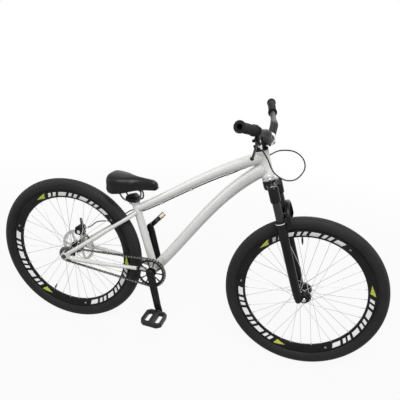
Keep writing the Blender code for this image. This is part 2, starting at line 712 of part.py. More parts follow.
# Seat clamp, post, saddle clamp, rails and saddle
def seat_group():
    collar_inner = SEAT_TUBE_RADIUS + GAP
    collar_low = SEAT_TUBE_LENGTH - SEAT_CLAMP_HEIGHT + 0.0005
    collar = [
        (collar_inner + SEAT_CLAMP_WALL, collar_low),
        (collar_inner + SEAT_CLAMP_WALL, SEAT_TUBE_LENGTH + 0.0005),
        (collar_inner, SEAT_TUBE_LENGTH + 0.0005),
        (collar_inner, collar_low),
    ]
    piece("seat_clamp", ring_turned(collar, BOTTOM_BRACKET, SEAT_UP, ROUND_SIDES), "silver_paint", frame)
    post_top = SEAT_TUBE_LENGTH + SEATPOST_ABOVE_TUBE
    piece("seatpost", tube(
        [seat(SEAT_TUBE_LENGTH - SEATPOST_INSERTION), seat(post_top)],
        [SEATPOST_RADIUS] * 2, 16, SEATPOST_WALL), "polished", seat_body)
    rail_level = seat(SEAT_TUBE_LENGTH) + UP * (RAIL_RADIUS + 0.0012)
    forward = Vector((SEAT_UP.z, 0, -SEAT_UP.x))
    low = SEAT_TUBE_LENGTH + 0.0015
    outline = [(-0.026, low), (0.018, low), (0.021, low + 0.014), (0.010, post_top + 0.015),
               (-0.026, post_top + 0.015), (-0.033, post_top + 0.003)]
    clamp = piece("saddle_clamp", plate(outline, BOTTOM_BRACKET, forward, SEAT_UP, CLAMP_BODY_WIDTH),
                  "black_satin", seat_body)
    beside_collar = SEAT_TUBE_RADIUS + SEAT_CLAMP_WALL + GAP * 2
    above_collar = RAIL_RADIUS * 0.8
    inner = CLAMP_BODY_WIDTH / 2 - 0.0015
    foot = -RAIL_RADIUS - 0.0030
    for side, label in ((-1, "right"), (1, "left")):
        outline = [(inner, above_collar), (beside_collar, above_collar), (beside_collar, foot),
                   (CLAMP_PAD_OUTER, foot), (CLAMP_PAD_OUTER, foot + CLAMP_PAD_HEIGHT),
                   (inner, foot + CLAMP_PAD_HEIGHT)]
        pad = tool("clamp_pad_" + label, plate(
            [(side * across, rise) for across, rise in outline], rail_level - AHEAD * 0.0035, SIDE, UP,
            CLAMP_PAD_LENGTH), seat_body)
        combine(clamp, pad, "UNION")
        middle = rail_level + SIDE * side * RAIL_SPACING / 2
        groove = tool("rail_groove_" + label, tube(
            [middle - AHEAD * 0.05, middle + AHEAD * 0.05], [RAIL_RADIUS + GAP * 1.7] * 2, 12), seat_body)
        combine(clamp, groove, "DIFFERENCE")
    socket = tool("seatpost_socket", tube(
        [seat(low - 0.02), seat(post_top + GAP)], [SEATPOST_RADIUS + GAP] * 2, 16), seat_body)
    combine(clamp, socket, "DIFFERENCE")
    return rail_level


# Saddle half width and depth at a place along it, 0 at the tail and 1 at the nose
def saddle_half_width(t):
    tail = math.sqrt(max(0.0, 1 - (1 - min(t / 0.22, 1.0)) ** 2))
    nose = math.sqrt(max(0.0, 1 - max(0.0, (t - 0.90) / 0.10) ** 2))
    blend = 1 / (1 + math.exp((t - 0.47) / 0.085))
    width = SADDLE_NOSE_WIDTH / 2 + (SADDLE_WIDTH - SADDLE_NOSE_WIDTH) / 2 * blend
    return width * (0.40 + 0.60 * tail) * (0.45 + 0.55 * nose)


def saddle_depth(t):
    tail = math.sqrt(max(0.0, 1 - (1 - min(t / 0.12, 1.0)) ** 2))
    nose = math.sqrt(max(0.0, 1 - max(0.0, (t - 0.88) / 0.12) ** 2))
    depth = SADDLE_TAIL_DEPTH + (SADDLE_NOSE_DEPTH - SADDLE_TAIL_DEPTH) * t
    return depth * (0.45 + 0.55 * tail) * (0.45 + 0.55 * nose)


# How far the wide rear part has opened out: 1 over the sit bones, 0 at the nose
def saddle_widening(t):
    return 1 / (1 + math.exp((t - 0.47) / 0.085))


def saddle_pieces(rail_level):
    tail = rail_level + Vector((-SADDLE_BEHIND_POST, 0, SADDLE_ABOVE_RAILS))
    lean = math.radians(SADDLE_LEAN)
    ahead = Vector((math.cos(lean), 0, math.sin(lean)))
    above = Vector((-math.sin(lean), 0, math.cos(lean)))
    rings = []
    for t in (0.0, 0.02, 0.05, 0.08, 0.14, 0.21, 0.30, 0.38, 0.45, 0.52, 0.60, 0.70, 0.82, 0.91, 0.97, 1.0):
        half = saddle_half_width(t)
        deep = saddle_depth(t)
        hollow = SADDLE_HOLLOW * (1 - abs(2 * t - 1))
        skirt = SADDLE_SKIRT * saddle_widening(t) * min(1.0, t / 0.16)
        lift = SADDLE_TAIL_LIFT * max(0.0, 1 - t / 0.08)
        low = [(0.985, deep * 0.24 + lift * 0.4), (0.960, lift - skirt), (0.880, lift - skirt), (0.855, lift)]
        shape = [(-across, height) for across, height in low]
        for j in range(8):
            angle = math.pi * (7.5 - j) / 8
            across = math.copysign(abs(math.cos(angle)) ** 0.70, math.cos(angle))
            rise = math.sin(angle)
            shape.append((across, deep * (0.45 + 0.55 * rise ** 0.7) - hollow * rise))
        shape = list(reversed(shape[:4])) + shape[4:] + low
        ring = []
        for across, height in shape:
            ring.append(tail + ahead * (SADDLE_LENGTH * t) + SIDE * (across * half) + above * height)
        rings.append(ring)
    mesh_data = bmesh.new()
    grid = rings_to_faces(mesh_data, rings, False)
    mesh_data.faces.new(grid[0])
    mesh_data.faces.new(grid[-1])
    piece("saddle", mesh_data, "saddle_vinyl", seat_body, 60.0)
    outline = []
    for t in (0.08, 0.18, 0.32, 0.42, 0.52, 0.66, 0.80, 0.93):
        outline.append((SADDLE_LENGTH * t, -(saddle_half_width(t) * 0.80)))
    outline += [(a, -b) for a, b in reversed(outline)]
    under = tail - above * (SADDLE_BASE_THICKNESS / 2 + GAP)
    piece("saddle_base", plate(outline, under, ahead, SIDE, SADDLE_BASE_THICKNESS), "black_satin", seat_body)
    return tail, ahead, above


# One wire: up to the base at the back, level through the clamp, up to a loop at the front
def saddle_rails(rail_level, tail, ahead, above):
    under = SADDLE_BASE_THICKNESS + GAP * 2 + RAIL_RADIUS
    half = RAIL_SPACING / 2

    def at_base(distance, side):
        return tail + ahead * distance - above * under + SIDE * side

    def at_clamp(x, side, z=0.0):
        return rail_level + Vector((x, side, z))

    one_side = [
        at_base(0.022, half + 0.008),
        at_base(0.036, half + 0.007),
        at_base(0.051, half + 0.005) - above * 0.007,
        at_clamp(-0.045, half + 0.002, 0.0095),
        at_clamp(-0.030, half, 0.0),
        at_clamp(-0.014, half),
        at_clamp(0.003, half),
        at_clamp(0.018, half, 0.0),
        at_clamp(0.0275, half - 0.0025, 0.008),
        at_clamp(0.0310, half - 0.0070, 0.022),
        at_base(0.1400, half - 0.0130) - above * 0.008,
        at_base(0.1340, 0.0040) - above * 0.0012,
    ]
    mirrored = [Vector((p.x, -p.y, p.z)) for p in reversed(one_side)]
    route = [one_side[0]] + smooth_route((one_side + mirrored)[1:-1], 42) + [mirrored[-1]]
    wire = tube(route, [RAIL_RADIUS] * len(route), 6, 0.0, Vector((0.1, 0.2, 1)))
    piece("saddle_rails", wire, "dark_steel", seat_body)


# Fork
def crown_and_steerer():
    steerer_low = AXLE_TO_CROWN_ALONG - CROWN_HEIGHT + 0.004
    piece("fork_steerer", tube(
        [steer(steerer_low), steer(STEM_TOP)], [STEERER_RADIUS] * 2, ROUND_SIDES, STEERER_WALL),
        "steel", steering)
    crown_low = AXLE_TO_CROWN_ALONG - CROWN_HEIGHT
    socket_top = AXLE_TO_CROWN_ALONG - CROWN_SHOULDER_DROP
    socket_low = socket_top - CROWN_SOCKET_LENGTH
    socket_radius = STANCHION_RADIUS + CROWN_SOCKET_WALL
    crown = piece("fork_crown", solid_turned(
        [(CROWN_HUB_RADIUS * 0.9, crown_low), (CROWN_HUB_RADIUS, crown_low + 0.006),
         (CROWN_HUB_RADIUS, AXLE_TO_CROWN_ALONG)],
        STEER_FOOT, STEER_UP, ROUND_SIDES), "black_gloss", steering)
    for side, label in ((-1, "right"), (1, "left")):
        foot = STEER_FOOT + STEER_AHEAD * STANCHION_AHEAD + SIDE * side * FORK_HALF_SPREAD
        socket = tool("crown_socket_" + label, solid_turned(
            [(socket_radius - 0.0015, socket_low), (socket_radius, socket_low + 0.004),
             (socket_radius, socket_top - 0.006), (socket_radius - 0.005, socket_top)],
            foot, STEER_UP, ROUND_SIDES), steering)
        near = steer(AXLE_TO_CROWN_ALONG - CROWN_HEIGHT * 0.5, 0.002, side * 0.006)
        far = steer(socket_top - CROWN_HEIGHT * 0.52, STANCHION_AHEAD, side * (FORK_HALF_SPREAD - 0.004))
        across, over = cross_axes((far - near).normalized(), STEER_AHEAD)
        corners = ((-0.5, 0.0), (-0.34, -0.5), (0.34, -0.5), (0.5, 0.0), (0.34, 0.5), (-0.34, 0.5))
        beam = bmesh.new()
        rings = []
        for part, wide, tall in ((0.0, 0.040, 0.92), (1.0, 0.038, 0.78)):
            place = near.lerp(far, part)
            rings.append([place + across * a * wide + over * b * tall * CROWN_HEIGHT for a, b in corners])
        grid = rings_to_faces(beam, rings, False)
        beam.faces.new(grid[0])
        beam.faces.new(grid[-1])
        shoulder = tool("crown_shoulder_" + label, beam, steering)
        combine(crown, shoulder, "UNION")
        combine(crown, socket, "UNION")
    flat = tool("crown_seat", box(
        steer(AXLE_TO_CROWN_ALONG + 0.03), SIDE, STEER_AHEAD, (0.3, 0.3, 0.06)), steering)
    combine(crown, flat, "DIFFERENCE")
    bore = tool("crown_bore", solid_turned(
        [(STEERER_RADIUS + GAP, steerer_low - GAP), (STEERER_RADIUS + GAP, AXLE_TO_CROWN_ALONG + 0.02)],
        STEER_FOOT, STEER_UP, ROUND_SIDES), steering)
    combine(crown, bore, "DIFFERENCE")
    stanchion_top = socket_top - 0.008
    for side, label in ((-1, "right"), (1, "left")):
        foot = STEER_FOOT + STEER_AHEAD * STANCHION_AHEAD + SIDE * side * FORK_HALF_SPREAD
        hole = tool("stanchion_bore_" + label, solid_turned(
            [(STANCHION_RADIUS + GAP, socket_low - 0.02), (STANCHION_RADIUS + GAP, stanchion_top + GAP)],
            foot, STEER_UP, ROUND_SIDES), steering)
        combine(crown, hole, "DIFFERENCE")
        piece("stanchion_" + label, tube(
            [foot + STEER_UP * (stanchion_top - STANCHION_LENGTH), foot + STEER_UP * stanchion_top],
            [STANCHION_RADIUS] * 2, ROUND_SIDES, STANCHION_WALL, STEER_AHEAD), "black_chrome", steering)
    return stanchion_top - STANCHION_LENGTH


def arch_points(steps):
    points = []
    for i in range(steps + 1):
        angle = math.pi * i / steps
        lift = math.sin(angle) ** 0.85
        side = FORK_HALF_SPREAD * -math.cos(angle)
        along = LOWER_LEG_TOP - 0.030 + (ARCH_CREST - LOWER_LEG_TOP + 0.030) * lift
        past_seal = STANCHION_AHEAD + DUST_SEAL_RADIUS + ARCH_DEPTH / 2 + 0.003
        foot = past_seal - 0.013
        ahead = foot + (past_seal - foot) * min(1.0, lift * 3.8)
        ahead += (ARCH_AHEAD - past_seal) * lift
        points.append((side, along, ahead))
    return points


def fork_lowers(stanchion_low):
    made = None
    for side, label in ((-1, "right"), (1, "left")):
        foot = STEER_FOOT + STEER_AHEAD * STANCHION_AHEAD + SIDE * side * FORK_HALF_SPREAD
        leg = solid_turned([
            (LOWER_LEG_RADIUS * 0.62, -0.004), (LOWER_LEG_RADIUS * 0.82, LOWER_LEG_FOOT),
            (LOWER_LEG_RADIUS * 0.92, 0.120), (LOWER_LEG_RADIUS * 0.94, LOWER_LEG_TOP - 0.070),
            (LOWER_LEG_RADIUS, LOWER_LEG_TOP - 0.050), (LOWER_LEG_RADIUS, LOWER_LEG_TOP)],
            foot, STEER_UP, LOWER_LEG_SIDES)
        if made is None:
            made = piece("fork_lowers", leg, "black_gloss", lowers)
        else:
            combine(made, tool("lower_leg_" + label, leg, lowers), "UNION")
        plane = FRONT_HUB_WIDTH / 2 + GAP + FORK_LUG_THICKNESS / 2
        outline = capsule((FORK_RAKE, 0.0), (STANCHION_AHEAD + 0.001, 0.020), FORK_LUG_RADIUS, 0.0125)
        lug = plate(outline, STEER_FOOT + SIDE * side * plane, STEER_AHEAD, STEER_UP, FORK_LUG_THICKNESS)
        combine(made, tool("axle_lug_" + label, lug, lowers), "UNION")
    rings = []
    points = arch_points(8)
    for i, (side, along, ahead) in enumerate(points):
        here = steer(along, ahead, side)
        before = points[max(i - 1, 0)]
        after = points[min(i + 1, len(points) - 1)]
        heading = (SIDE * (after[0] - before[0]) + STEER_UP * (after[1] - before[1])).normalized()
        over = STEER_AHEAD.cross(heading)
        corners = ((-0.5, -0.5), (0.5, -0.5), (0.5, 0.2), (0.2, 0.5), (-0.5, 0.5))
        rings.append([here + STEER_AHEAD * a * ARCH_DEPTH + over * b * ARCH_THICKNESS for a, b in corners])
    arch = bmesh.new()
    grid = rings_to_faces(arch, rings, False)
    arch.faces.new(grid[0])
    arch.faces.new(grid[-1])
    combine(made, tool("fork_arch", arch, lowers), "UNION")
    for side, label in ((-1, "right"), (1, "left")):
        foot = STEER_FOOT + STEER_AHEAD * STANCHION_AHEAD + SIDE * side * FORK_HALF_SPREAD
        bore = tool("leg_bore_" + label, solid_turned(
            [(STANCHION_RADIUS + GAP, stanchion_low - FORK_TRAVEL - 0.004),
             (STANCHION_RADIUS + GAP, LOWER_LEG_TOP + 0.10)], foot, STEER_UP, ROUND_SIDES), lowers)
        combine(made, bore, "DIFFERENCE")
        low = LOWER_LEG_TOP + GAP
        seal = [
            (DUST_SEAL_RADIUS, low), (DUST_SEAL_RADIUS, low + DUST_SEAL_HEIGHT * 0.5),
            (STANCHION_RADIUS + GAP + 0.0012, low + DUST_SEAL_HEIGHT),
            (STANCHION_RADIUS + GAP, low + DUST_SEAL_HEIGHT), (STANCHION_RADIUS + GAP, low),
        ]
        piece("dust_seal_" + label, ring_turned(seal, foot, STEER_UP, ROUND_SIDES), "black_satin", lowers)
    hole = tool("front_axle_bore", solid_turned(
        [(AXLE_RADIUS + GAP, -0.1), (AXLE_RADIUS + GAP, 0.1)], FRONT_AXLE, SIDE, 16), lowers)
    combine(made, hole, "DIFFERENCE")
    face = FRONT_HUB_WIDTH / 2 + GAP * 2 + FORK_LUG_THICKNESS
    reach = face + AXLE_BOLT_HEIGHT
    axle = [(AXLE_BOLT_RADIUS, -reach), (AXLE_BOLT_RADIUS, -face), (AXLE_RADIUS, -face),
            (AXLE_RADIUS, face), (AXLE_BOLT_RADIUS, face), (AXLE_BOLT_RADIUS, reach)]
    clearance = tool("axle_bolt_pocket", solid_turned(
        [(AXLE_BOLT_RADIUS + 0.001, -reach - 0.03), (AXLE_BOLT_RADIUS + 0.001, -face + GAP)],
        FRONT_AXLE, SIDE, 16), lowers)
    combine(made, clearance, "DIFFERENCE")
    other = tool("axle_bolt_pocket_left", solid_turned(
        [(AXLE_BOLT_RADIUS + 0.001, face - GAP), (AXLE_BOLT_RADIUS + 0.001, reach + 0.03)],
        FRONT_AXLE, SIDE, 16), lowers)
    combine(made, other, "DIFFERENCE")
    piece("front_axle", solid_turned(axle, FRONT_AXLE, SIDE, HUB_SIDES), "steel", lowers)


# Wheels
def rim_profile():
    top = RIM_OUTER_RADIUS
    tip = RIM_OUTER_RADIUS - RIM_DEPTH
    half = RIM_WIDTH / 2
    point = RIM_TIP_WIDTH / 2
    wall = RIM_WALL
    band = top - BEAD_DEPTH - wall * 1.5
    return [
        (tip, -point), (band, -half), (top, -half), (top, -half + wall), (band, -half + wall),
        (tip + wall * 1.5, 0.0), (band, half - wall), (top, half - wall), (top, half), (band, half),
        (tip, point),
    ]


def tyre_profile():
    bead = RIM_WIDTH / 2 - RIM_WALL - GAP * 2
    low = RIM_OUTER_RADIUS - BEAD_DEPTH
    centre = WHEEL_RADIUS - TYRE_WIDTH / 2
    outer = [(low, bead), (RIM_OUTER_RADIUS + 0.0012, bead)]
    for degrees in (-26, 14, 52, 90):
        angle = math.radians(degrees)
        outer.append((centre + TYRE_WIDTH / 2 * math.sin(angle), TYRE_WIDTH / 2 * math.cos(angle)))
    inner = []
    for degrees in (90, 10):
        angle = math.radians(degrees)
        reach = TYRE_WIDTH / 2 - TYRE_WALL - TREAD_EXTRA * max(0.0, math.sin(angle))
        inner.append((centre + reach * math.sin(angle), reach * math.cos(angle)))
    inner.append((RIM_OUTER_RADIUS + 0.0005, bead - TYRE_WALL))
    inner.append((low, bead - TYRE_WALL))
    right_outer = [(r, -y) for r, y in reversed(outer[:-1])]
    right_inner = [(r, -y) for r, y in reversed(inner[1:])]
    return outer + right_outer + right_inner + inner


# The point of a line where its distance from the axle is the radius
def at_radius(start, end, radius):
    run = Vector((end.x - start.x, 0, end.z - start.z))
    flat = Vector((start.x, 0, start.z))
    half = flat.dot(run) / run.length_squared
    excess = (radius ** 2 - flat.length_squared) / run.length_squared
    return start.lerp(end, math.sqrt(half ** 2 + excess) - half)


# One side's spokes: straight bars that cross and meet where they pass each other
def spokes(name, axle, flange, body, turn):
    sets = []
    share = 360 / (SPOKES_PER_SIDE / 2)
    for way in (1, -1):
        group = bmesh.new()
        for i in range(SPOKES_PER_SIDE // 2):
            hub_angle = turn + share * i + (0 if way > 0 else share / 2)
            rim_angle = hub_angle + way * SPOKE_LACING_TURN
            start = polar(hub_angle, SPOKE_HOLE_CIRCLE) + SIDE * flange
            rim_face = facet_radius(RIM_OUTER_RADIUS - RIM_DEPTH, rim_angle, WHEEL_STEPS)
            end = polar(rim_angle, rim_face - GAP - SPOKE_RADIUS * 0.2)
            end += SIDE * math.copysign(SPOKE_RIM_OFFSET, flange)
            leaves = at_radius(start, end, HUB_FLANGE_RADIUS)
            flange_angle = math.degrees(math.atan2(leaves.z, leaves.x))
            flange_face = facet_radius(HUB_FLANGE_RADIUS, flange_angle, HUB_SIDES)
            start = at_radius(start, end, flange_face + GAP + SPOKE_RADIUS * 0.9)
            add_to(group, tube([axle + start, axle + end], [SPOKE_RADIUS] * 2, 3, 0.0, SIDE * way))
        sets.append(group)
    made = piece(name, sets[0], "steel", body)
    combine(made, tool(name + "_crossing", sets[1], body), "UNION")


def wheel_hub(name, width, flange_right, flange_left, extra, body, axle):
    t = HUB_FLANGE_THICKNESS / 2
    bore = AXLE_RADIUS + GAP
    outer = [(HUB_END_RADIUS, -width / 2 + GAP)]
    outer += extra.get("right", [(HUB_END_RADIUS, -flange_right - t - 0.004)])
    outer += [
        (HUB_BARREL_RADIUS, -flange_right - t), (HUB_FLANGE_RADIUS, -flange_right - t),
        (HUB_FLANGE_RADIUS, -flange_right + t), (HUB_BARREL_RADIUS, -flange_right + t + 0.003),
        (HUB_BARREL_RADIUS, flange_left - t - 0.003), (HUB_FLANGE_RADIUS, flange_left - t),
        (HUB_FLANGE_RADIUS, flange_left + t),
    ]
    outer += extra.get("left", [
        (HUB_BARREL_RADIUS, flange_left + t), (HUB_END_RADIUS, flange_left + t + 0.004)])
    outer += [(HUB_END_RADIUS, width / 2 - GAP)]
    profile = outer + [(bore, width / 2 - GAP), (bore, -width / 2 + GAP)]
    piece(name, ring_turned(profile, axle, SIDE, HUB_SIDES), "black_satin", body)


def wheels():
    for label, axle, body in (("front", FRONT_AXLE, front_wheel), ("rear", REAR_AXLE, rear_wheel)):
        piece(label + "_rim", ring_turned(rim_profile(), axle, SIDE, WHEEL_STEPS), "black_gloss", body)
        piece(label + "_tyre", ring_turned(tyre_profile(), axle, SIDE, WHEEL_STEPS), "rubber", body, 50.0)
    wheel_hub("front_hub", FRONT_HUB_WIDTH, FRONT_FLANGE_OFFSET, FRONT_FLANGE_OFFSET, {},
              front_wheel, FRONT_AXLE)
    spokes("front_spokes_right", FRONT_AXLE, -FRONT_FLANGE_OFFSET, front_wheel, 5.0)
    spokes("front_spokes_left", FRONT_AXLE, FRONT_FLANGE_OFFSET, front_wheel, 15.0)
    t = HUB_FLANGE_THICKNESS / 2
    thread = COG_BORE_RADIUS - GAP
    extra = {
        "right": [(HUB_END_RADIUS, -CHAIN_LINE - 0.008), (thread, -CHAIN_LINE - 0.008),
                  (thread, -REAR_FLANGE_RIGHT - t - 0.002)],
        "left": [(ROTOR_PILOT_RADIUS + 0.005, REAR_FLANGE_LEFT + t),
                 (ROTOR_PILOT_RADIUS + 0.005, ROTOR_PLANE - ROTOR_THICKNESS / 2 - GAP),
                 (ROTOR_PILOT_RADIUS - GAP, ROTOR_PLANE - ROTOR_THICKNESS / 2 - GAP),
                 (ROTOR_PILOT_RADIUS - GAP, ROTOR_PLANE + ROTOR_THICKNESS / 2 + 0.001),
                 (HUB_END_RADIUS, ROTOR_PLANE + ROTOR_THICKNESS / 2 + 0.001)],
    }
    wheel_hub("rear_hub", REAR_HUB_WIDTH, REAR_FLANGE_RIGHT, REAR_FLANGE_LEFT, extra, rear_wheel, REAR_AXLE)
    spokes("rear_spokes_right", REAR_AXLE, -REAR_FLANGE_RIGHT, rear_wheel, 5.0)
    spokes("rear_spokes_left", REAR_AXLE, REAR_FLANGE_LEFT, rear_wheel, 15.0)
    face = REAR_HUB_WIDTH / 2 + DROPOUT_THICKNESS + GAP
    reach = face + 0.008
    nut = AXLE_RADIUS + 0.0045
    half = [(AXLE_RADIUS, face), (nut, face), (nut, reach),
            (AXLE_RADIUS, reach), (AXLE_RADIUS, reach + 0.004)]
    axle = [(radius, -along) for radius, along in reversed(half)] + half
    piece("rear_axle", solid_turned(axle, REAR_AXLE, SIDE, HUB_SIDES), "dark_steel", frame)


# Disc brake
def brake():
    half = ROTOR_THICKNESS / 2
    disc = [(ROTOR_RADIUS, -half), (ROTOR_RADIUS, half),
            (ROTOR_PILOT_RADIUS, half), (ROTOR_PILOT_RADIUS, -half)]
    rotor_centre = REAR_AXLE + SIDE * ROTOR_PLANE
    rotor = piece("brake_rotor", ring_turned(disc, rotor_centre, SIDE, 24), "steel", rear_wheel)
    windows = bmesh.new()
    inner = ROTOR_PILOT_RADIUS + 0.010
    outer = ROTOR_RADIUS - ROTOR_TRACK_WIDTH
    share = 2 * math.pi / ROTOR_ARMS
    for i in range(ROTOR_ARMS):
        outline = []
        for radius, first, last, count in ((outer, 0.06, 0.86, 3), (inner, 0.98, 0.34, 2)):
            for j in range(count):
                angle = share * (i + first + (last - first) * j / (count - 1))
                outline.append((radius * math.cos(angle), radius * math.sin(angle)))
        add_to(windows, plate(outline, rotor_centre, AHEAD, UP, 0.02))
    combine(rotor, tool("rotor_windows", windows, rear_wheel), "DIFFERENCE")
    lean = math.radians(CALIPER_ANGLE)
    out = Vector((math.cos(lean), 0, math.sin(lean)))
    tangent = Vector((math.sin(lean), 0, -math.cos(lean)))
    inner_face = ROTOR_PLANE - 0.0125
    outer_face = REAR_HUB_WIDTH / 2 - GAP * 2
    middle = (inner_face + outer_face) / 2
    low = CALIPER_INNER_RADIUS
    high = CALIPER_OUTER_RADIUS
    half_width = CALIPER_WIDTH / 2
    outline = [(-half_width, low + 0.004), (-half_width + 0.006, low), (half_width - 0.006, low),
               (half_width, low + 0.004), (half_width, high - 0.012), (half_width - 0.014, high),
               (-half_width + 0.010, high), (-half_width, high - 0.010)]
    body = piece("brake_caliper", plate(
        outline, REAR_AXLE + SIDE * middle, tangent, out, outer_face - inner_face), "black_satin", frame)
    slot = tool("caliper_slot", solid_turned(
        [(ROTOR_RADIUS + 0.004, ROTOR_PLANE - half - CALIPER_SLOT_GAP),
         (ROTOR_RADIUS + 0.004, ROTOR_PLANE + half + CALIPER_SLOT_GAP)], REAR_AXLE, SIDE, 32), frame)
    combine(body, slot, "DIFFERENCE")
    pivot = REAR_AXLE + out * (high - 0.014) + tangent * -0.004
    pivot_face = outer_face - GAP
    boss = tool("caliper_boss", solid_turned(
        [(0.008, pivot_face - 0.006), (0.008, pivot_face + 0.0092)], pivot, SIDE, 16), frame)
    combine(body, boss, "UNION")
    stop_centre = REAR_AXLE + SIDE * (pivot_face - 0.006)
    stop_centre += out * (high - 0.002) + tangent * (half_width - 0.006)
    stop = tool("cable_stop", box(stop_centre, tangent, out, (0.012, 0.016, 0.012)), frame)
    combine(body, stop, "UNION")
    arm_body = Body("caliper_arm_body", pivot, frame)
    arm_face = pivot_face + 0.0092 + GAP + CALIPER_ARM_THICKNESS / 2
    heading = (out * 0.94 - tangent * 0.34).normalized()
    tip = heading * CALIPER_ARM_LENGTH
    outline = capsule((0.0, 0.0), (tip.x, tip.z), 0.0085, 0.0050, 6)
    arm = plate(outline, pivot + SIDE * arm_face, AHEAD, UP, CALIPER_ARM_THICKNESS)
    piece("caliper_arm", arm, "dark_steel", arm_body)
    return stop_centre + tangent * 0.006, tangent


# Sprockets, cranks and pedals
def sprocket_outline(teeth, pitch_radius):
    outline = []
    share = 2 * math.pi / teeth
    for i in range(teeth):
        for offset, radius in ((-0.5, -TOOTH_ROOT), (-0.13, TOOTH_TIP), (0.13, TOOTH_TIP)):
            angle = share * (i + offset)
            reach = pitch_radius + radius
            outline.append((reach * math.cos(angle), reach * math.sin(angle)))
    return outline


def drive():
    ring_centre = BOTTOM_BRACKET - SIDE * CHAIN_LINE
    cog_centre = REAR_AXLE - SIDE * CHAIN_LINE
    ring = piece("chainring", plate(
        sprocket_outline(RING_TEETH, RING_PITCH_RADIUS), ring_centre, AHEAD, UP, TOOTH_THICKNESS),
        "black_gloss", cranks)
    cutters = bmesh.new()
    inner = RING_HUB_RADIUS
    outer = RING_PITCH_RADIUS - TOOTH_ROOT - RING_RIM_WIDTH
    share = 2 * math.pi / RING_WINDOWS
    for i in range(RING_WINDOWS):
        wide = 0.74 if i % 2 else 0.46
        middle = share * (i + 0.5)
        reach = share * wide / 2 + share * 0.10
        outline = []
        for j in range(3):
            angle = middle - reach + reach * j
            outline.append((outer * math.cos(angle), outer * math.sin(angle)))
        tight = reach - RING_ARM_WIDTH * 0.25 * (1 / inner - 1 / outer)
        for j in range(2):
            angle = middle + tight - 2 * tight * j
            outline.append((inner * math.cos(angle), inner * math.sin(angle)))
        add_to(cutters, plate(outline, ring_centre, AHEAD, UP, 0.02))
    combine(ring, tool("ring_windows", cutters, cranks), "DIFFERENCE")
    hole = tool("ring_bore", solid_turned(
        [(SPINDLE_RADIUS + GAP, -0.02), (SPINDLE_RADIUS + GAP, 0.02)],
        ring_centre, SIDE, ROUND_SIDES), cranks)
    combine(ring, hole, "DIFFERENCE")
    cog = piece("rear_cog", plate(
        sprocket_outline(COG_TEETH, COG_PITCH_RADIUS), cog_centre, AHEAD, UP, TOOTH_THICKNESS),
        "dark_steel", freewheel)
    body_radius = COG_BORE_RADIUS + 0.006
    body = tool("cog_body", solid_turned(
        [(body_radius, -0.006), (body_radius, 0.006)], cog_centre, SIDE, COG_BODY_SIDES), freewheel)
    combine(cog, body, "UNION")
    bore = tool("cog_bore", solid_turned(
        [(COG_BORE_RADIUS, -0.02), (COG_BORE_RADIUS, 0.02)], cog_centre, SIDE, COG_BODY_SIDES), freewheel)
    combine(cog, bore, "DIFFERENCE")
    chain_band(ring_centre, cog_centre)


# The chain is one closed channel that straddles the teeth and runs round both sprockets
def chain_band(ring_centre, cog_centre):
    span = ring_centre - cog_centre
    distance = math.hypot(span.x, span.z)
    tilt = math.atan2(span.z, span.x)
    spread = math.acos((RING_PITCH_RADIUS - COG_PITCH_RADIUS) / distance)
    section = [
        (-CHAIN_OUTER_WIDTH / 2, -CHAIN_HALF_HEIGHT), (-CHAIN_OUTER_WIDTH / 2, CHAIN_HALF_HEIGHT),
        (CHAIN_OUTER_WIDTH / 2, CHAIN_HALF_HEIGHT), (CHAIN_OUTER_WIDTH / 2, -CHAIN_HALF_HEIGHT),
        (CHAIN_INNER_WIDTH / 2, -CHAIN_HALF_HEIGHT), (CHAIN_INNER_WIDTH / 2, TOOTH_TIP + 0.0010),
        (-CHAIN_INNER_WIDTH / 2, TOOTH_TIP + 0.0010), (-CHAIN_INNER_WIDTH / 2, -CHAIN_HALF_HEIGHT),
    ]
    places = []
    for centre, radius, start, sweep, steps in (
            (ring_centre, RING_PITCH_RADIUS, tilt - math.pi + spread, 2 * (math.pi - spread), 15),
            (cog_centre, COG_PITCH_RADIUS, tilt + math.pi - spread, 2 * spread, 10)):
        for i in range(steps + 1):
            places.append((centre, radius, start + sweep * i / steps))
    rings = []
    for centre, radius, angle in places:
        out = Vector((math.cos(angle), 0, math.sin(angle)))
        rings.append([centre + out * (radius + rise) + SIDE * across for across, rise in section])
    mesh_data = bmesh.new()
    rings_to_faces(mesh_data, rings, True)
    piece("chain", mesh_data, "dark_steel", frame)


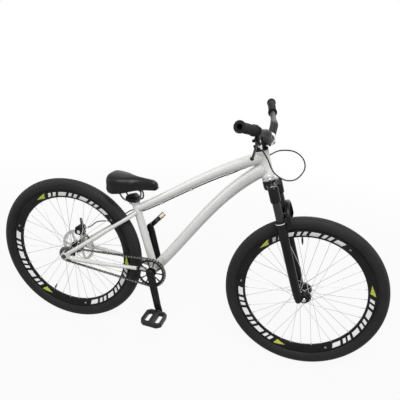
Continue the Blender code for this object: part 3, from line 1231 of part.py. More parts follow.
def crank_group():
    spindle_half = BB_SHELL_WIDTH / 2 + SPINDLE_OVERHANG
    piece("crank_spindle", solid_turned(
        [(SPINDLE_RADIUS, -spindle_half), (SPINDLE_RADIUS, spindle_half)],
        BOTTOM_BRACKET, SIDE, ROUND_SIDES), "steel", cranks)
    sleeve = BB_SHELL_RADIUS - BB_SHELL_WALL - GAP
    lip = BB_SHELL_WIDTH / 2 + 0.003
    inside = SPINDLE_RADIUS + GAP
    profile = [(BB_SHELL_RADIUS - 0.001, -lip), (BB_SHELL_RADIUS - 0.001, -BB_SHELL_WIDTH / 2 - GAP),
               (sleeve, -BB_SHELL_WIDTH / 2 - GAP), (sleeve, BB_SHELL_WIDTH / 2 - 0.001),
               (inside, BB_SHELL_WIDTH / 2 - 0.001), (inside, -lip)]
    piece("bottom_bracket", ring_turned(profile, BOTTOM_BRACKET, SIDE, ROUND_SIDES), "dark_steel", frame)
    angle = math.radians(CRANK_ANGLE)
    down = Vector((math.cos(angle), 0, math.sin(angle))) * CRANK_LENGTH
    boss_plane = CHAIN_LINE + TOOTH_THICKNESS / 2 + GAP + CRANK_THICKNESS / 2
    for side, label, tilt in ((-1, "right", PEDAL_RIGHT_TILT), (1, "left", PEDAL_LEFT_TILT)):
        reach = down * (1 if side < 0 else -1)
        mesh_data = plate(
            capsule((0.0, 0.0), (reach.x, reach.z), CRANK_BOSS_RADIUS, CRANK_EYE_RADIUS, 9),
            BOTTOM_BRACKET + SIDE * side * boss_plane, AHEAD, UP, CRANK_THICKNESS)
        heading = reach.normalized()
        for vertex in mesh_data.verts:
            along = (vertex.co - BOTTOM_BRACKET).dot(heading) / CRANK_LENGTH
            vertex.co.y += side * CRANK_FLARE * min(1.0, max(0.0, (along - 0.15) / 0.7))
        arm = piece("crank_arm_" + label, mesh_data, "black_satin", cranks)
        bore = tool("crank_bore_" + label, solid_turned(
            [(SPINDLE_RADIUS + GAP, -0.2), (SPINDLE_RADIUS + GAP, 0.2)],
            BOTTOM_BRACKET, SIDE, ROUND_SIDES), cranks)
        combine(arm, bore, "DIFFERENCE")
        eye = BOTTOM_BRACKET + reach
        eye_bore = tool("pedal_bore_" + label, solid_turned(
            [(PEDAL_AXLE_RADIUS + GAP, -0.2), (PEDAL_AXLE_RADIUS + GAP, 0.2)], eye, SIDE, 16), cranks)
        combine(arm, eye_bore, "DIFFERENCE")
        eye_inner = boss_plane + CRANK_FLARE - CRANK_THICKNESS / 2
        eye_outer = eye_inner + CRANK_THICKNESS
        collar = eye_outer + GAP
        pedal_start = collar + 0.005 + RUNNING_GAP
        pedal_end = pedal_start + PEDAL_WIDTH
        steps = [
            (PEDAL_AXLE_RADIUS, eye_inner + 0.001), (PEDAL_AXLE_RADIUS, collar),
            (0.0095, collar), (0.0095, collar + 0.005),
            (PEDAL_AXLE_RADIUS, collar + 0.005), (PEDAL_AXLE_RADIUS, pedal_end - 0.006),
        ]
        piece("pedal_axle_" + label, solid_turned(
            [(radius, along * side) for radius, along in steps], eye, SIDE, HUB_SIDES), "dark_steel", cranks)
        pedal(label, side, eye, (pedal_start + pedal_end) / 2, tilt, pedal_end)


def pedal(label, side, eye, centre_offset, tilt, pedal_end):
    body = Body("pedal_" + label + "_body", eye, cranks)
    lean = math.radians(tilt)
    ahead = Vector((math.cos(lean), 0, math.sin(lean)))
    above = Vector((-math.sin(lean), 0, math.cos(lean)))
    centre = eye + SIDE * side * centre_offset
    half_l = PEDAL_LENGTH / 2
    half_w = PEDAL_WIDTH / 2
    cut_l = half_l - PEDAL_CORNER
    cut_w = half_w - PEDAL_CORNER
    outline = [(-half_l, -cut_w), (-cut_l, -half_w), (cut_l, -half_w), (half_l, -cut_w),
               (half_l, cut_w), (cut_l, half_w), (-cut_l, half_w), (-half_l, cut_w)]
    made = piece("pedal_" + label, plate(outline, centre, ahead, SIDE, PEDAL_THICKNESS), "black_satin", body)
    barrel = PEDAL_THICKNESS / 2 + 0.001
    window = half_l - PEDAL_RAIL - barrel
    for way in (-1, 1):
        middle = way * (barrel + window / 2)
        opening = tool("pedal_window_" + label + ("_front" if way > 0 else "_rear"), box(
            centre + ahead * middle, ahead, SIDE, (window, PEDAL_WIDTH - 2 * PEDAL_RAIL, 0.06)), body)
        combine(made, opening, "DIFFERENCE")
    bore = tool("pedal_axle_bore_" + label, solid_turned(
        [(PEDAL_AXLE_RADIUS + GAP, side * 0.03), (PEDAL_AXLE_RADIUS + GAP, side * (pedal_end - 0.005))],
        eye, SIDE, 16), body)
    combine(made, bore, "DIFFERENCE")


# Stem, faceplate, handlebar and grips
def bar_point(width):
    side = math.copysign(1, width)
    width = abs(width)
    rise = BAR_RISE * min(1.0, max(0.0, (width - BAR_RISE_START) / (BAR_RISE_END - BAR_RISE_START)))
    sweep = max(0.0, width - BAR_RISE_END)
    rise += sweep * math.tan(math.radians(BAR_UPSWEEP))
    back = sweep * math.tan(math.radians(BAR_BACKSWEEP))
    return BAR_CENTRE + Vector((-back, side * width, rise))


def handlebar():
    half = [0.034, 0.043, 0.056, 0.088, 0.102, 0.114, 0.180, BAR_HALF_WIDTH - GRIP_LENGTH, BAR_HALF_WIDTH]
    widths = [-w for w in reversed(half)] + [0.0] + half
    corner_points = [bar_point(w) for w in widths]
    radii = []
    for w in widths:
        taper = min(1.0, max(0.0, (abs(w) - 0.105) / 0.075))
        radii.append(BAR_CLAMP_RADIUS + (BAR_GRIP_RADIUS - BAR_CLAMP_RADIUS) * taper)
    bar = piece("handlebar", tube(corner_points, radii, BAR_SIDES, 0.0, UP), "black_gloss", steering)
    for side, label in ((-1, "right"), (1, "left")):
        end = bar_point(side * BAR_HALF_WIDTH)
        inner_end = bar_point(side * (BAR_HALF_WIDTH - GRIP_LENGTH))
        outward = (end - inner_end).normalized()
        hole = tool("bar_end_bore_" + label, tube(
            [end - outward * BAR_END_BORE_DEPTH, end + outward * 0.02],
            [BAR_GRIP_RADIUS - BAR_WALL] * 2, BAR_SIDES), steering)
        combine(bar, hole, "DIFFERENCE")
        grip_axis_start = end - outward * GRIP_LENGTH
        flange = GRIP_FLANGE_WIDTH
        bore = BAR_GRIP_RADIUS + GAP
        profile = [
            (GRIP_FLANGE_RADIUS, 0.0), (GRIP_FLANGE_RADIUS, flange), (GRIP_RADIUS, flange + 0.002),
            (GRIP_RADIUS, GRIP_LENGTH - flange - 0.002), (GRIP_FLANGE_RADIUS, GRIP_LENGTH - flange),
            (GRIP_FLANGE_RADIUS, GRIP_LENGTH), (bore, GRIP_LENGTH), (bore, 0.0),
        ]
        piece("grip_" + label, ring_turned(profile, grip_axis_start, outward, BAR_SIDES), "rubber", steering)


def stem():
    middle = (STEM_BOTTOM + STEM_TOP) / 2
    clamp = solid_turned([(STEM_RADIUS - 0.001, STEM_BOTTOM), (STEM_RADIUS, STEM_BOTTOM + 0.002),
                          (STEM_RADIUS, STEM_TOP - 0.002), (STEM_RADIUS - 0.001, STEM_TOP)],
                         STEER_FOOT, STEER_UP, ROUND_SIDES)
    made = piece("stem", clamp, "black_gloss", steering)
    ahead_end = BAR_CENTRE
    start = steer(middle, 0.004)
    heading = (ahead_end - start).normalized()
    neck = tool("stem_neck", box(
        start.lerp(ahead_end, 0.5), heading, SIDE,
        ((ahead_end - start).length + 0.004, FACEPLATE_WIDTH, STEM_HEIGHT * 0.80)), steering)
    combine(made, neck, "UNION")
    outer = BAR_CLAMP_RADIUS + GAP + FACEPLATE_WALL
    clamp_ring = [(outer, -FACEPLATE_WIDTH / 2), (outer, FACEPLATE_WIDTH / 2)]
    seat_ring = tool("stem_bar_seat", solid_turned(clamp_ring, BAR_CENTRE, SIDE, STEM_CLAMP_SIDES), steering)
    combine(made, seat_ring, "UNION")
    front = tool("stem_front_cut", box(
        BAR_CENTRE + heading * (0.05 - GAP), heading, SIDE, (0.1, 0.2, 0.2)), steering)
    combine(made, front, "DIFFERENCE")
    bar_bore = tool("stem_bar_bore", solid_turned(
        [(BAR_CLAMP_RADIUS + GAP, -0.1), (BAR_CLAMP_RADIUS + GAP, 0.1)],
        BAR_CENTRE, SIDE, STEM_CLAMP_SIDES), steering)
    combine(made, bar_bore, "DIFFERENCE")
    steerer_bore = tool("stem_steerer_bore", solid_turned(
        [(STEERER_RADIUS + GAP, STEM_BOTTOM - 0.02), (STEERER_RADIUS + GAP, STEM_TOP + 0.02)],
        STEER_FOOT, STEER_UP, ROUND_SIDES), steering)
    combine(made, steerer_bore, "DIFFERENCE")
    faceplate = piece("stem_faceplate", solid_turned(
        clamp_ring, BAR_CENTRE, SIDE, STEM_CLAMP_SIDES), "polished", steering)
    rear = tool("faceplate_rear_cut", box(
        BAR_CENTRE - heading * (0.05 - GAP), heading, SIDE, (0.1, 0.2, 0.2)), steering)
    combine(faceplate, rear, "DIFFERENCE")
    combine(faceplate, bar_bore, "DIFFERENCE")


# Brake lever: a bracket clamped round the bar and a blade that swings towards the grip
def brake_lever():
    place = bar_point(-LEVER_CLAMP_AT)
    outward = (bar_point(-LEVER_CLAMP_AT - 0.02) - place).normalized()
    clamp_inner = BAR_GRIP_RADIUS + GAP + 0.0002
    clamp_outer = clamp_inner + LEVER_CLAMP_WALL
    ahead = cross_axes(outward, Vector((0.35, 0, -1)))[0]
    reach = ahead * LEVER_PIVOT_AHEAD
    drum = [(clamp_outer, -LEVER_CLAMP_WIDTH / 2), (clamp_outer, LEVER_CLAMP_WIDTH / 2)]
    bracket = piece("lever_bracket", solid_turned(drum, place, outward, 14), "black_satin", steering)
    arm = tool("bracket_arm", box(
        place + reach * 0.5 + ahead * 0.008, ahead, outward,
        (LEVER_PIVOT_AHEAD - 0.008, 0.016, LEVER_BRACKET_THICKNESS)), steering)
    combine(bracket, arm, "UNION")
    hinge_axis = ahead.cross(outward).normalized()
    pivot = place + ahead * (LEVER_PIVOT_AHEAD + 0.006) + outward * 0.004
    head_half = LEVER_BRACKET_THICKNESS / 2 - 0.0004
    head = tool("bracket_head", solid_turned(
        [(0.0098, -head_half), (0.0098, head_half)], pivot, hinge_axis, BAR_SIDES), steering)
    combine(bracket, head, "UNION")
    leave = (ahead * 0.6 - outward * 0.75).normalized()
    adjuster_end = pivot + leave * ADJUSTER_LENGTH
    adjuster = tool("cable_adjuster", tube(
        [pivot + leave * 0.004, adjuster_end], [ADJUSTER_RADIUS] * 2, 10, 0.0, hinge_axis), steering)
    combine(bracket, adjuster, "UNION")
    clamp_bore = tool("bracket_bar_bore", tube(
        [place - outward * LEVER_CLAMP_WIDTH, place + outward * LEVER_CLAMP_WIDTH],
        [clamp_inner] * 2, 14, 0.0, UP), steering)
    combine(bracket, clamp_bore, "DIFFERENCE")
    lever_body = Body("brake_lever_body", pivot, steering)
    blade_dir = (outward * 0.84 + ahead * 0.54).normalized()
    slot = tool("bracket_slot", box(
        pivot + outward * 0.0125 + ahead * 0.009, outward, ahead,
        (0.042, 0.040, LEVER_BLADE_THICKNESS + 2 * RUNNING_GAP)), steering)
    combine(bracket, slot, "DIFFERENCE")
    blade_mesh = plate(capsule((0.0, 0.0), (LEVER_BLADE_LENGTH, 0.0), LEVER_HUB_RADIUS, 0.0045, 6),
                       pivot, blade_dir, hinge_axis.cross(blade_dir), LEVER_BLADE_THICKNESS)
    lever = piece("brake_lever", blade_mesh, "black_satin", lever_body)
    ball = bmesh.new()
    bmesh.ops.create_icosphere(ball, subdivisions=1, radius=LEVER_BALL_RADIUS,
                               matrix=Matrix.Translation(pivot + blade_dir * LEVER_BLADE_LENGTH))
    combine(lever, tool("lever_ball", ball, lever_body), "UNION")
    return adjuster_end, leave


# The cable housing: a free loop ahead of the head tube, then held under the top tube and along a stay
def brake_cable(adjuster_end, leave, stop, ahead_of_stop):
    along_stay = seat(SEATSTAY_ON_SEAT_TUBE) - REAR_AXLE - polar(39, DROPOUT_REACH)
    over_stay = Vector((-along_stay.z, 0, along_stay.x)).normalized()
    stay_top = seat(SEATSTAY_ON_SEAT_TUBE) + over_stay * (SEATSTAY_RADIUS + CABLE_RADIUS + CABLE_OFF_STAY)
    beside_seat_tube = SEATSTAY_SPREAD_AT_TOP + SEATSTAY_RADIUS + CABLE_RADIUS + 0.002
    beside_tyre = TYRE_WIDTH / 2 + STAY_TYRE_CLEARANCE + SEATSTAY_RADIUS
    route = [
        adjuster_end + leave * GAP,
        adjuster_end + leave * 0.012,
        Vector((0.322, -0.150, 0.903)),
        Vector((0.346, -0.120, 0.853)),
        Vector((0.387, -0.096, 0.825)),
        Vector((0.425, -0.076, 0.829)),
        Vector((0.448, -0.054, 0.862)),
        Vector((0.438, -0.035, 0.895)),
        Vector((0.400, -0.014, 0.914)),
        Vector((0.346, 0.013, 0.905)),
        Vector((0.303, 0.0345, 0.875)),
        Vector((0.270, 0.0365, 0.848)),
        Vector((0.235, 0.0300, 0.825)),
        Vector((0.203, 0.0140, 0.811)),
    ]
    rear_guide, middle_guide, front_guide = CABLE_GUIDES_ALONG
    for t in (0.775, front_guide, 0.665, 0.550, middle_guide, 0.320, rear_guide, 0.140):
        route.append(cable_under_top_tube(t)[0])
    route += [
        seat(SEATSTAY_ON_SEAT_TUBE - 0.006, beside_seat_tube) + Vector((0.006, 0, 0)),
        stay_top - along_stay * 0.115 + SIDE * (beside_tyre - 0.003),
        stay_top - along_stay * 0.280 + SIDE * beside_tyre,
        stay_top - along_stay * 0.440 + SIDE * (beside_tyre + 0.003),
        Vector((-0.385, beside_tyre + 0.008, 0.484)),
        Vector((-0.430, beside_tyre + 0.014, 0.470)),
        stop + ahead_of_stop * 0.030 + UP * 0.014,
        stop + ahead_of_stop * 0.012,
        stop + ahead_of_stop * GAP,
    ]
    line = [route[0]] + smooth_route(route[1:-1], CABLE_STEPS) + [route[-1]]
    piece("brake_cable", tube(
        line, [CABLE_RADIUS] * len(line), CABLE_SIDES, 0.0, Vector((0.2, 0.3, 1))), "black_satin", frame)


shell_tool, seat_tube_tool = frame_tubes()
rear_stays(shell_tool, seat_tube_tool)
headset()
rails_at = seat_group()
saddle_tail, saddle_ahead, saddle_above = saddle_pieces(rails_at)
saddle_rails(rails_at, saddle_tail, saddle_ahead, saddle_above)
stanchion_foot = crown_and_steerer()
fork_lowers(stanchion_foot)
wheels()
cable_stop, stop_way = brake()
drive()
crank_group()
handlebar()
stem()
cable_start, cable_way = brake_lever()
brake_cable(cable_start, cable_way, cable_stop, stop_way)
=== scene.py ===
import math

import bmesh
import bpy
from mathutils import Matrix, Vector


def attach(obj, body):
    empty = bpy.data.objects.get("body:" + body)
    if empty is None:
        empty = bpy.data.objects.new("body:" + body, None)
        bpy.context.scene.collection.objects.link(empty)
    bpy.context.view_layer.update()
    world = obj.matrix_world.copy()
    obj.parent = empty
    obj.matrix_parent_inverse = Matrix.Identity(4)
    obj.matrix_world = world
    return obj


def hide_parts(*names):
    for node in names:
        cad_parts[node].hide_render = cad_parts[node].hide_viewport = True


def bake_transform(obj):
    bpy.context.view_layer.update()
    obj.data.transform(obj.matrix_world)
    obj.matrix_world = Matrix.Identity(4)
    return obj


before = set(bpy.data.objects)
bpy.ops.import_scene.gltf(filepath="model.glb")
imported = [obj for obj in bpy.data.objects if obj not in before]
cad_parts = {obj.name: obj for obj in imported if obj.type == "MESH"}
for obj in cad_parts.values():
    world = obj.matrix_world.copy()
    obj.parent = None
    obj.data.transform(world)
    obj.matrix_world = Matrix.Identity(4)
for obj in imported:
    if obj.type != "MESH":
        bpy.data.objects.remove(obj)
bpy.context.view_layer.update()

# Single speed hardtail bicycle. Metres, +X forward, +Y to the rider's left, +Z up, drive side at -Y.
scene = bpy.context.scene
ahead, side, up = Vector((1, 0, 0)), Vector((0, 1, 0)), Vector((0, 0, 1))

# Sizes that the pieces share, as in the CAD model
sizes = {
    "rearAxle": Vector((-0.527, 0, 0.334882)), "frontAxle": Vector((0.527, 0, 0.334882)),
    "wheelRadius": 0.334882, "tyreWidth": 0.054, "rimRadius": 0.2855, "rimDepth": 0.035,
    "rimWidth": 0.025, "headAngle": 70.3, "seatAngle": 72.4, "rake": 0.041,
    "crownHeight": 0.498, "legSpread": 0.064, "legAhead": 0.019, "chainLine": 0.047,
    "ringRadius": 0.06478, "cogRadius": 0.03255, "rotorPlane": 0.052,
}
bracketAxle = sizes["rearAxle"] + Vector((0.396, 0, -0.015))
headLean, seatLean = math.radians(sizes["headAngle"]), math.radians(sizes["seatAngle"])
steerUp = Vector((-math.cos(headLean), 0, math.sin(headLean)))
steerAhead = Vector((math.sin(headLean), 0, math.cos(headLean)))
steerFoot = sizes["frontAxle"] - steerAhead * sizes["rake"]
seatUp = Vector((-math.cos(seatLean), 0, math.sin(seatLean)))
headLow, headHigh = 0.5091, 0.6151      # the head tube's ends, along the steering axis
stemLow, stemHigh = 0.6262, 0.6662


def steer(along, forward=0.0, across=0.0):
    return steerFoot + steerUp * along + steerAhead * forward + side * across


def seat(along, across=0.0):
    return bracketAxle + seatUp * along + side * across


def polar(degrees, radius, across=0.0):
    angle = math.radians(degrees)
    return Vector((math.cos(angle) * radius, across, math.sin(angle) * radius))


# Camera, where the photograph was taken from
view = {"azimuth": 10.82, "elevation": 22.34, "roll": -5.28, "distance": 1.797, "lens": 39.54,
        "target": Vector((0.165, 0, 0.561)), "shift": (-0.061, 0.0715)}


def placeCamera():
    azimuth, elevation, roll = (math.radians(view[k]) for k in ("azimuth", "elevation", "roll"))
    back = Vector((math.sin(azimuth) * math.cos(elevation), -math.cos(azimuth) * math.cos(elevation),
                   math.sin(elevation)))
    right = (-back).cross(up).normalized()
    lift = right.cross(-back)
    turnedRight = right * math.cos(roll) - lift * math.sin(roll)
    turnedUp = right * math.sin(roll) + lift * math.cos(roll)
    data = bpy.data.cameras.new("photoCamera")
    data.lens, data.sensor_width = view["lens"], 36.0
    data.shift_x, data.shift_y = view["shift"]
    data.clip_start, data.clip_end = 0.05, 100.0
    made = bpy.data.objects.new("photoCamera", data)
    place = Matrix((turnedRight, turnedUp, back)).transposed().to_4x4()
    place.translation = view["target"] + back * view["distance"]
    made.matrix_world = place
    scene.collection.objects.link(made)
    scene.camera = made


# Shader node helpers
def put(tree, kind, settings=None, **inputs):
    node = tree.nodes.new(kind)
    for name, value in (settings or {}).items():
        setattr(node, name, value)
    for name, value in inputs.items():
        socket = node.inputs[int(name[1:])] if name[1:].isdigit() else node.inputs[name.replace("_", " ")]
        if isinstance(value, bpy.types.NodeSocket):
            tree.links.new(value, socket)
        else:
            socket.default_value = value
    return node


def maths(tree, operation, a, b=0.0, clamp=False):
    return put(tree, "ShaderNodeMath", {"operation": operation, "use_clamp": clamp}, i0=a, i1=b).outputs[0]


def times(tree, a, b, clamp=False):
    return maths(tree, "MULTIPLY", a, b, clamp)


def plus(tree, a, b, clamp=False):
    return maths(tree, "ADD", a, b, clamp)


def mixed(tree, factor, a, b):
    return put(tree, "ShaderNodeMix", {"data_type": "RGBA"}, i0=factor, i6=a, i7=b).outputs[2]


def spread(tree, value, fromLow, fromHigh, toLow=0.0, toHigh=1.0):
    return put(tree, "ShaderNodeMapRange", {"clamp": True}, Value=value, From_Min=fromLow,
               From_Max=fromHigh, To_Min=toLow, To_Max=toHigh).outputs[0]


def step(tree, value, edge, soft=0.004):
    return spread(tree, value, edge - soft, edge + soft)


def band(tree, value, low, high, soft=0.004):
    fall = spread(tree, value, high - soft, high + soft, 1.0, 0.0)
    return times(tree, step(tree, value, low, soft), fall)


def newGroup(name, inputs, outputs):
    group = bpy.data.node_groups.new(name, "ShaderNodeTree")
    for label, kind, value in inputs:
        socket = group.interface.new_socket(name=label, in_out="INPUT", socket_type="NodeSocket" + kind)
        if value is not None:
            socket.default_value = value
    for label, kind in outputs:
        group.interface.new_socket(name=label, in_out="OUTPUT", socket_type="NodeSocket" + kind)
    return group, group.nodes.new("NodeGroupInput").outputs, group.nodes.new("NodeGroupOutput").inputs


# Fine grain of a cast, blasted or moulded skin, with a slow drift of tone
def makeGrain():
    tree, given, out = newGroup("fineGrain", [("Scale", "Float", 900.0), ("Drift Scale", "Float", 14.0)],
                                [("Height", "Float"), ("Drift", "Float")])
    place = put(tree, "ShaderNodeTexCoord").outputs["Object"]
    fine = put(tree, "ShaderNodeTexNoise", Vector=place, Scale=given["Scale"], Detail=3.0).outputs["Fac"]
    slow = put(tree, "ShaderNodeTexNoise", Vector=place, Scale=given["Drift Scale"],
               Detail=4.0).outputs["Fac"]
    tree.links.new(fine, out["Height"])
    tree.links.new(spread(tree, slow, 0.3, 0.7), out["Drift"])
    return tree


# Rubbed edges, broken up by noise so that they look handled
def makeWear():
    tree, given, out = newGroup("edgeWear", [("Start", "Float", 0.62), ("End", "Float", 0.78)],
                                [("Mask", "Float")])
    sharp = put(tree, "ShaderNodeNewGeometry").outputs["Pointiness"]
    place = put(tree, "ShaderNodeTexCoord").outputs["Object"]
    patchy = put(tree, "ShaderNodeTexNoise", Vector=place, Scale=160.0, Detail=4.0).outputs["Fac"]
    edge = spread(tree, sharp, given["Start"], given["End"])
    tree.links.new(times(tree, edge, spread(tree, patchy, 0.42, 0.62)), out["Mask"])
    return tree


# Thin road dust and finger marks, in soft patches with specks
def makeDust():
    tree, given, out = newGroup("roadDust", [("Amount", "Float", 0.3)], [("Mask", "Float")])
    place = put(tree, "ShaderNodeTexCoord").outputs["Object"]
    patch = put(tree, "ShaderNodeTexNoise", Vector=place, Scale=9.0, Detail=6.0,
                Roughness=0.7).outputs["Fac"]
    speck = put(tree, "ShaderNodeTexNoise", Vector=place, Scale=420.0, Detail=2.0).outputs["Fac"]
    soft = times(tree, spread(tree, patch, 0.42, 0.72), spread(tree, speck, 0.35, 0.75))
    tree.links.new(times(tree, soft, given["Amount"], True), out["Mask"])
    return tree


# Distance from a wheel or bolt axis, the turn round it, and turning marks that follow it
def makeTurned():
    tree, given, out = newGroup("turnedMarks", [("Centre", "Vector", None), ("Fineness", "Float", 2200.0)],
                                [("Radius", "Float"), ("Turn", "Float"), ("Across", "Float"),
                                 ("Marks", "Float")])
    place = put(tree, "ShaderNodeTexCoord").outputs["Object"]
    local = put(tree, "ShaderNodeVectorMath", {"operation": "SUBTRACT"}, i0=place,
                i1=given["Centre"]).outputs[0]
    parts = put(tree, "ShaderNodeSeparateXYZ", Vector=local).outputs
    square = plus(tree, times(tree, parts[0], parts[0]), times(tree, parts[2], parts[2]))
    radius = maths(tree, "SQRT", square)
    turn = plus(tree, maths(tree, "DIVIDE", maths(tree, "ARCTAN2", parts[2], parts[0]), 2 * math.pi), 0.5)
    lookup = put(tree, "ShaderNodeCombineXYZ", X=radius, Y=times(tree, parts[1], 0.6)).outputs[0]
    marks = put(tree, "ShaderNodeTexNoise", Vector=lookup, Scale=given["Fineness"],
                Detail=2.0).outputs["Fac"]
    for value, label in ((radius, "Radius"), (turn, "Turn"), (parts[1], "Across"), (marks, "Marks")):
        tree.links.new(value, out[label])
    return tree


groups = {"grain": makeGrain(), "wear": makeWear(), "dust": makeDust(), "turned": makeTurned()}


def useGroup(tree, name, **inputs):
    return put(tree, "ShaderNodeGroup", {"node_tree": groups[name]}, **inputs).outputs


# One finish: a Principled shader whose colour, roughness and bump come from the groups
def finishOf(name, look):
    material = bpy.data.materials.new(name)
    material.use_nodes = True
    tree = material.node_tree
    shader = tree.nodes["Principled BSDF"]
    shader.inputs["Metallic"].default_value = look.get("metallic", 0.0)
    shader.inputs["Coat Weight"].default_value = look.get("coat", 0.0)
    shader.inputs["Coat Roughness"].default_value = look.get("coatRoughness", 0.05)
    shader.inputs["Specular IOR Level"].default_value = look.get("specular", 0.5)
    colour = (*look["colour"], 1.0)
    grain = useGroup(tree, "grain", Scale=look.get("grainScale", 900.0))
    tone = mixed(tree, grain["Drift"], colour, (*look.get("drift", look["colour"]), 1.0))
    low, high = look["roughness"]
    rough = spread(tree, grain["Drift"], 0.0, 1.0, low, high)
    if look.get("wear"):
        wear = useGroup(tree, "wear", Start=look.get("wearStart", 0.62),
                        End=look.get("wearEnd", 0.78))["Mask"]
        wear = times(tree, wear, look["wear"])
        tone = mixed(tree, wear, tone, (*look.get("bare", (0.45, 0.45, 0.44)), 1.0))
        rough = plus(tree, rough, times(tree, wear, 0.15))
    if look.get("dust"):
        dust = useGroup(tree, "dust", Amount=look["dust"])["Mask"]
        tone = mixed(tree, dust, tone, (*look.get("dustColour", (0.42, 0.40, 0.37)), 1.0))
        rough = plus(tree, rough, times(tree, dust, 0.4))
    tree.links.new(tone, shader.inputs["Base Color"])
    tree.links.new(rough, shader.inputs["Roughness"])
    bump = put(tree, "ShaderNodeBump", Height=grain["Height"], Strength=look.get("bump", 0.1),
               Distance=0.0004)
    tree.links.new(bump.outputs[0], shader.inputs["Normal"])
    return material, tree, shader, tone, rough, bump


looks = {
    "silverPaint": {"colour": (0.60, 0.60, 0.585), "drift": (0.63, 0.63, 0.615), "roughness": (0.28, 0.34),
                    "metallic": 0.15, "specular": 0.40, "coat": 0.12, "coatRoughness": 0.12,
                    "grainScale": 600.0, "bump": 0.008, "dust": 0.04},
    "blackAnodised": {"colour": (0.004, 0.004, 0.005), "drift": (0.008, 0.008, 0.009),
                      "roughness": (0.38, 0.48), "metallic": 0.0, "specular": 0.14, "grainScale": 2400.0,
                      "bump": 0.12, "wear": 0.30, "wearStart": 0.72, "wearEnd": 0.90, "dust": 0.03},
    "glossBlack": {"colour": (0.003, 0.003, 0.004), "drift": (0.006, 0.006, 0.007),
                   "roughness": (0.22, 0.30), "specular": 0.12, "coat": 0.05, "coatRoughness": 0.06,
                   "grainScale": 700.0, "bump": 0.03, "wear": 0.25, "dust": 0.04},
    "blackPlastic": {"colour": (0.005, 0.005, 0.006), "drift": (0.010, 0.010, 0.011),
                     "roughness": (0.42, 0.55), "specular": 0.28, "grainScale": 1500.0, "bump": 0.35,
                     "wear": 0.20, "bare": (0.06, 0.06, 0.06), "dust": 0.06},
    "rubber": {"colour": (0.004, 0.004, 0.005), "drift": (0.008, 0.008, 0.009), "roughness": (0.58, 0.72),
               "specular": 0.14, "grainScale": 1300.0, "bump": 0.30, "dust": 0.08},
    "polished": {"colour": (0.66, 0.66, 0.65), "drift": (0.72, 0.72, 0.71), "roughness": (0.14, 0.22),
                 "metallic": 1.0, "grainScale": 1800.0, "bump": 0.05, "dust": 0.06},
    "steel": {"colour": (0.50, 0.50, 0.49), "drift": (0.58, 0.58, 0.57), "roughness": (0.24, 0.34),
              "metallic": 1.0, "grainScale": 1600.0, "bump": 0.08, "dust": 0.12},
    "spokeSteel": {"colour": (0.52, 0.52, 0.52), "drift": (0.62, 0.62, 0.62), "roughness": (0.20, 0.28),
                   "metallic": 0.9, "grainScale": 1600.0, "bump": 0.04, "dust": 0.05},
    "darkSteel": {"colour": (0.065, 0.063, 0.060), "drift": (0.11, 0.105, 0.10), "roughness": (0.28, 0.42),
                  "metallic": 0.85, "grainScale": 1400.0, "bump": 0.15, "wear": 0.6, "dust": 0.14},
    "blackChrome": {"colour": (0.010, 0.009, 0.009), "drift": (0.016, 0.014, 0.014),
                    "roughness": (0.14, 0.20), "metallic": 0.3, "specular": 0.35, "coat": 0.15,
                    "grainScale": 900.0, "bump": 0.02, "dust": 0.02},
    "anodisedSilver": {"colour": (0.46, 0.47, 0.47), "drift": (0.53, 0.54, 0.54), "roughness": (0.26, 0.34),
                       "metallic": 0.9, "grainScale": 2200.0, "bump": 0.15, "dust": 0.08},
}
finishes = {name: finishOf(name, look)[0] for name, look in looks.items()}
print("finishes made", len(finishes))


# Mesh helpers. Each returns or grows a bmesh in its place on the bicycle
def crossAxes(direction, hint):
    first = (hint - direction * hint.dot(direction)).normalized()
    return first, direction.cross(first)


def placeAt(centre, direction, hint, scaleA, scaleB):
    first, second = crossAxes(direction, hint)
    made = Matrix((first * scaleA, second * scaleB, direction)).transposed().to_4x4()
    made.translation = centre
    return made


# A piece turned round an axis: profile points are (radius, along the axis)
def lathe(bm, profile, centre, axis, steps=64, closed=False):
    first = crossAxes(axis, up if abs(axis.z) < 0.9 else ahead)[0]
    fresh = bmesh.new()
    verts = [fresh.verts.new(centre + first * r + axis * a) for r, a in profile]
    edges = [fresh.edges.new(pair) for pair in zip(verts, verts[1:])]
    if closed:
        edges.append(fresh.edges.new((verts[-1], verts[0])))
    bmesh.ops.spin(fresh, geom=verts + edges, cent=centre, axis=axis, angle=2 * math.pi, steps=steps,
                   use_merge=True)
    bmesh.ops.remove_doubles(fresh, verts=fresh.verts, dist=1e-6)
    bmesh.ops.dissolve_degenerate(fresh, edges=fresh.edges, dist=1e-7)
    bmesh.ops.recalc_face_normals(fresh, faces=fresh.faces)
    return join(bm, fresh)


def join(bm, fresh):
    if bm is None:
        return fresh
    carrier = bpy.data.meshes.new("carrier")
    fresh.to_mesh(carrier)
    fresh.free()
    bm.from_mesh(carrier)
    bpy.data.meshes.remove(carrier)
    return bm


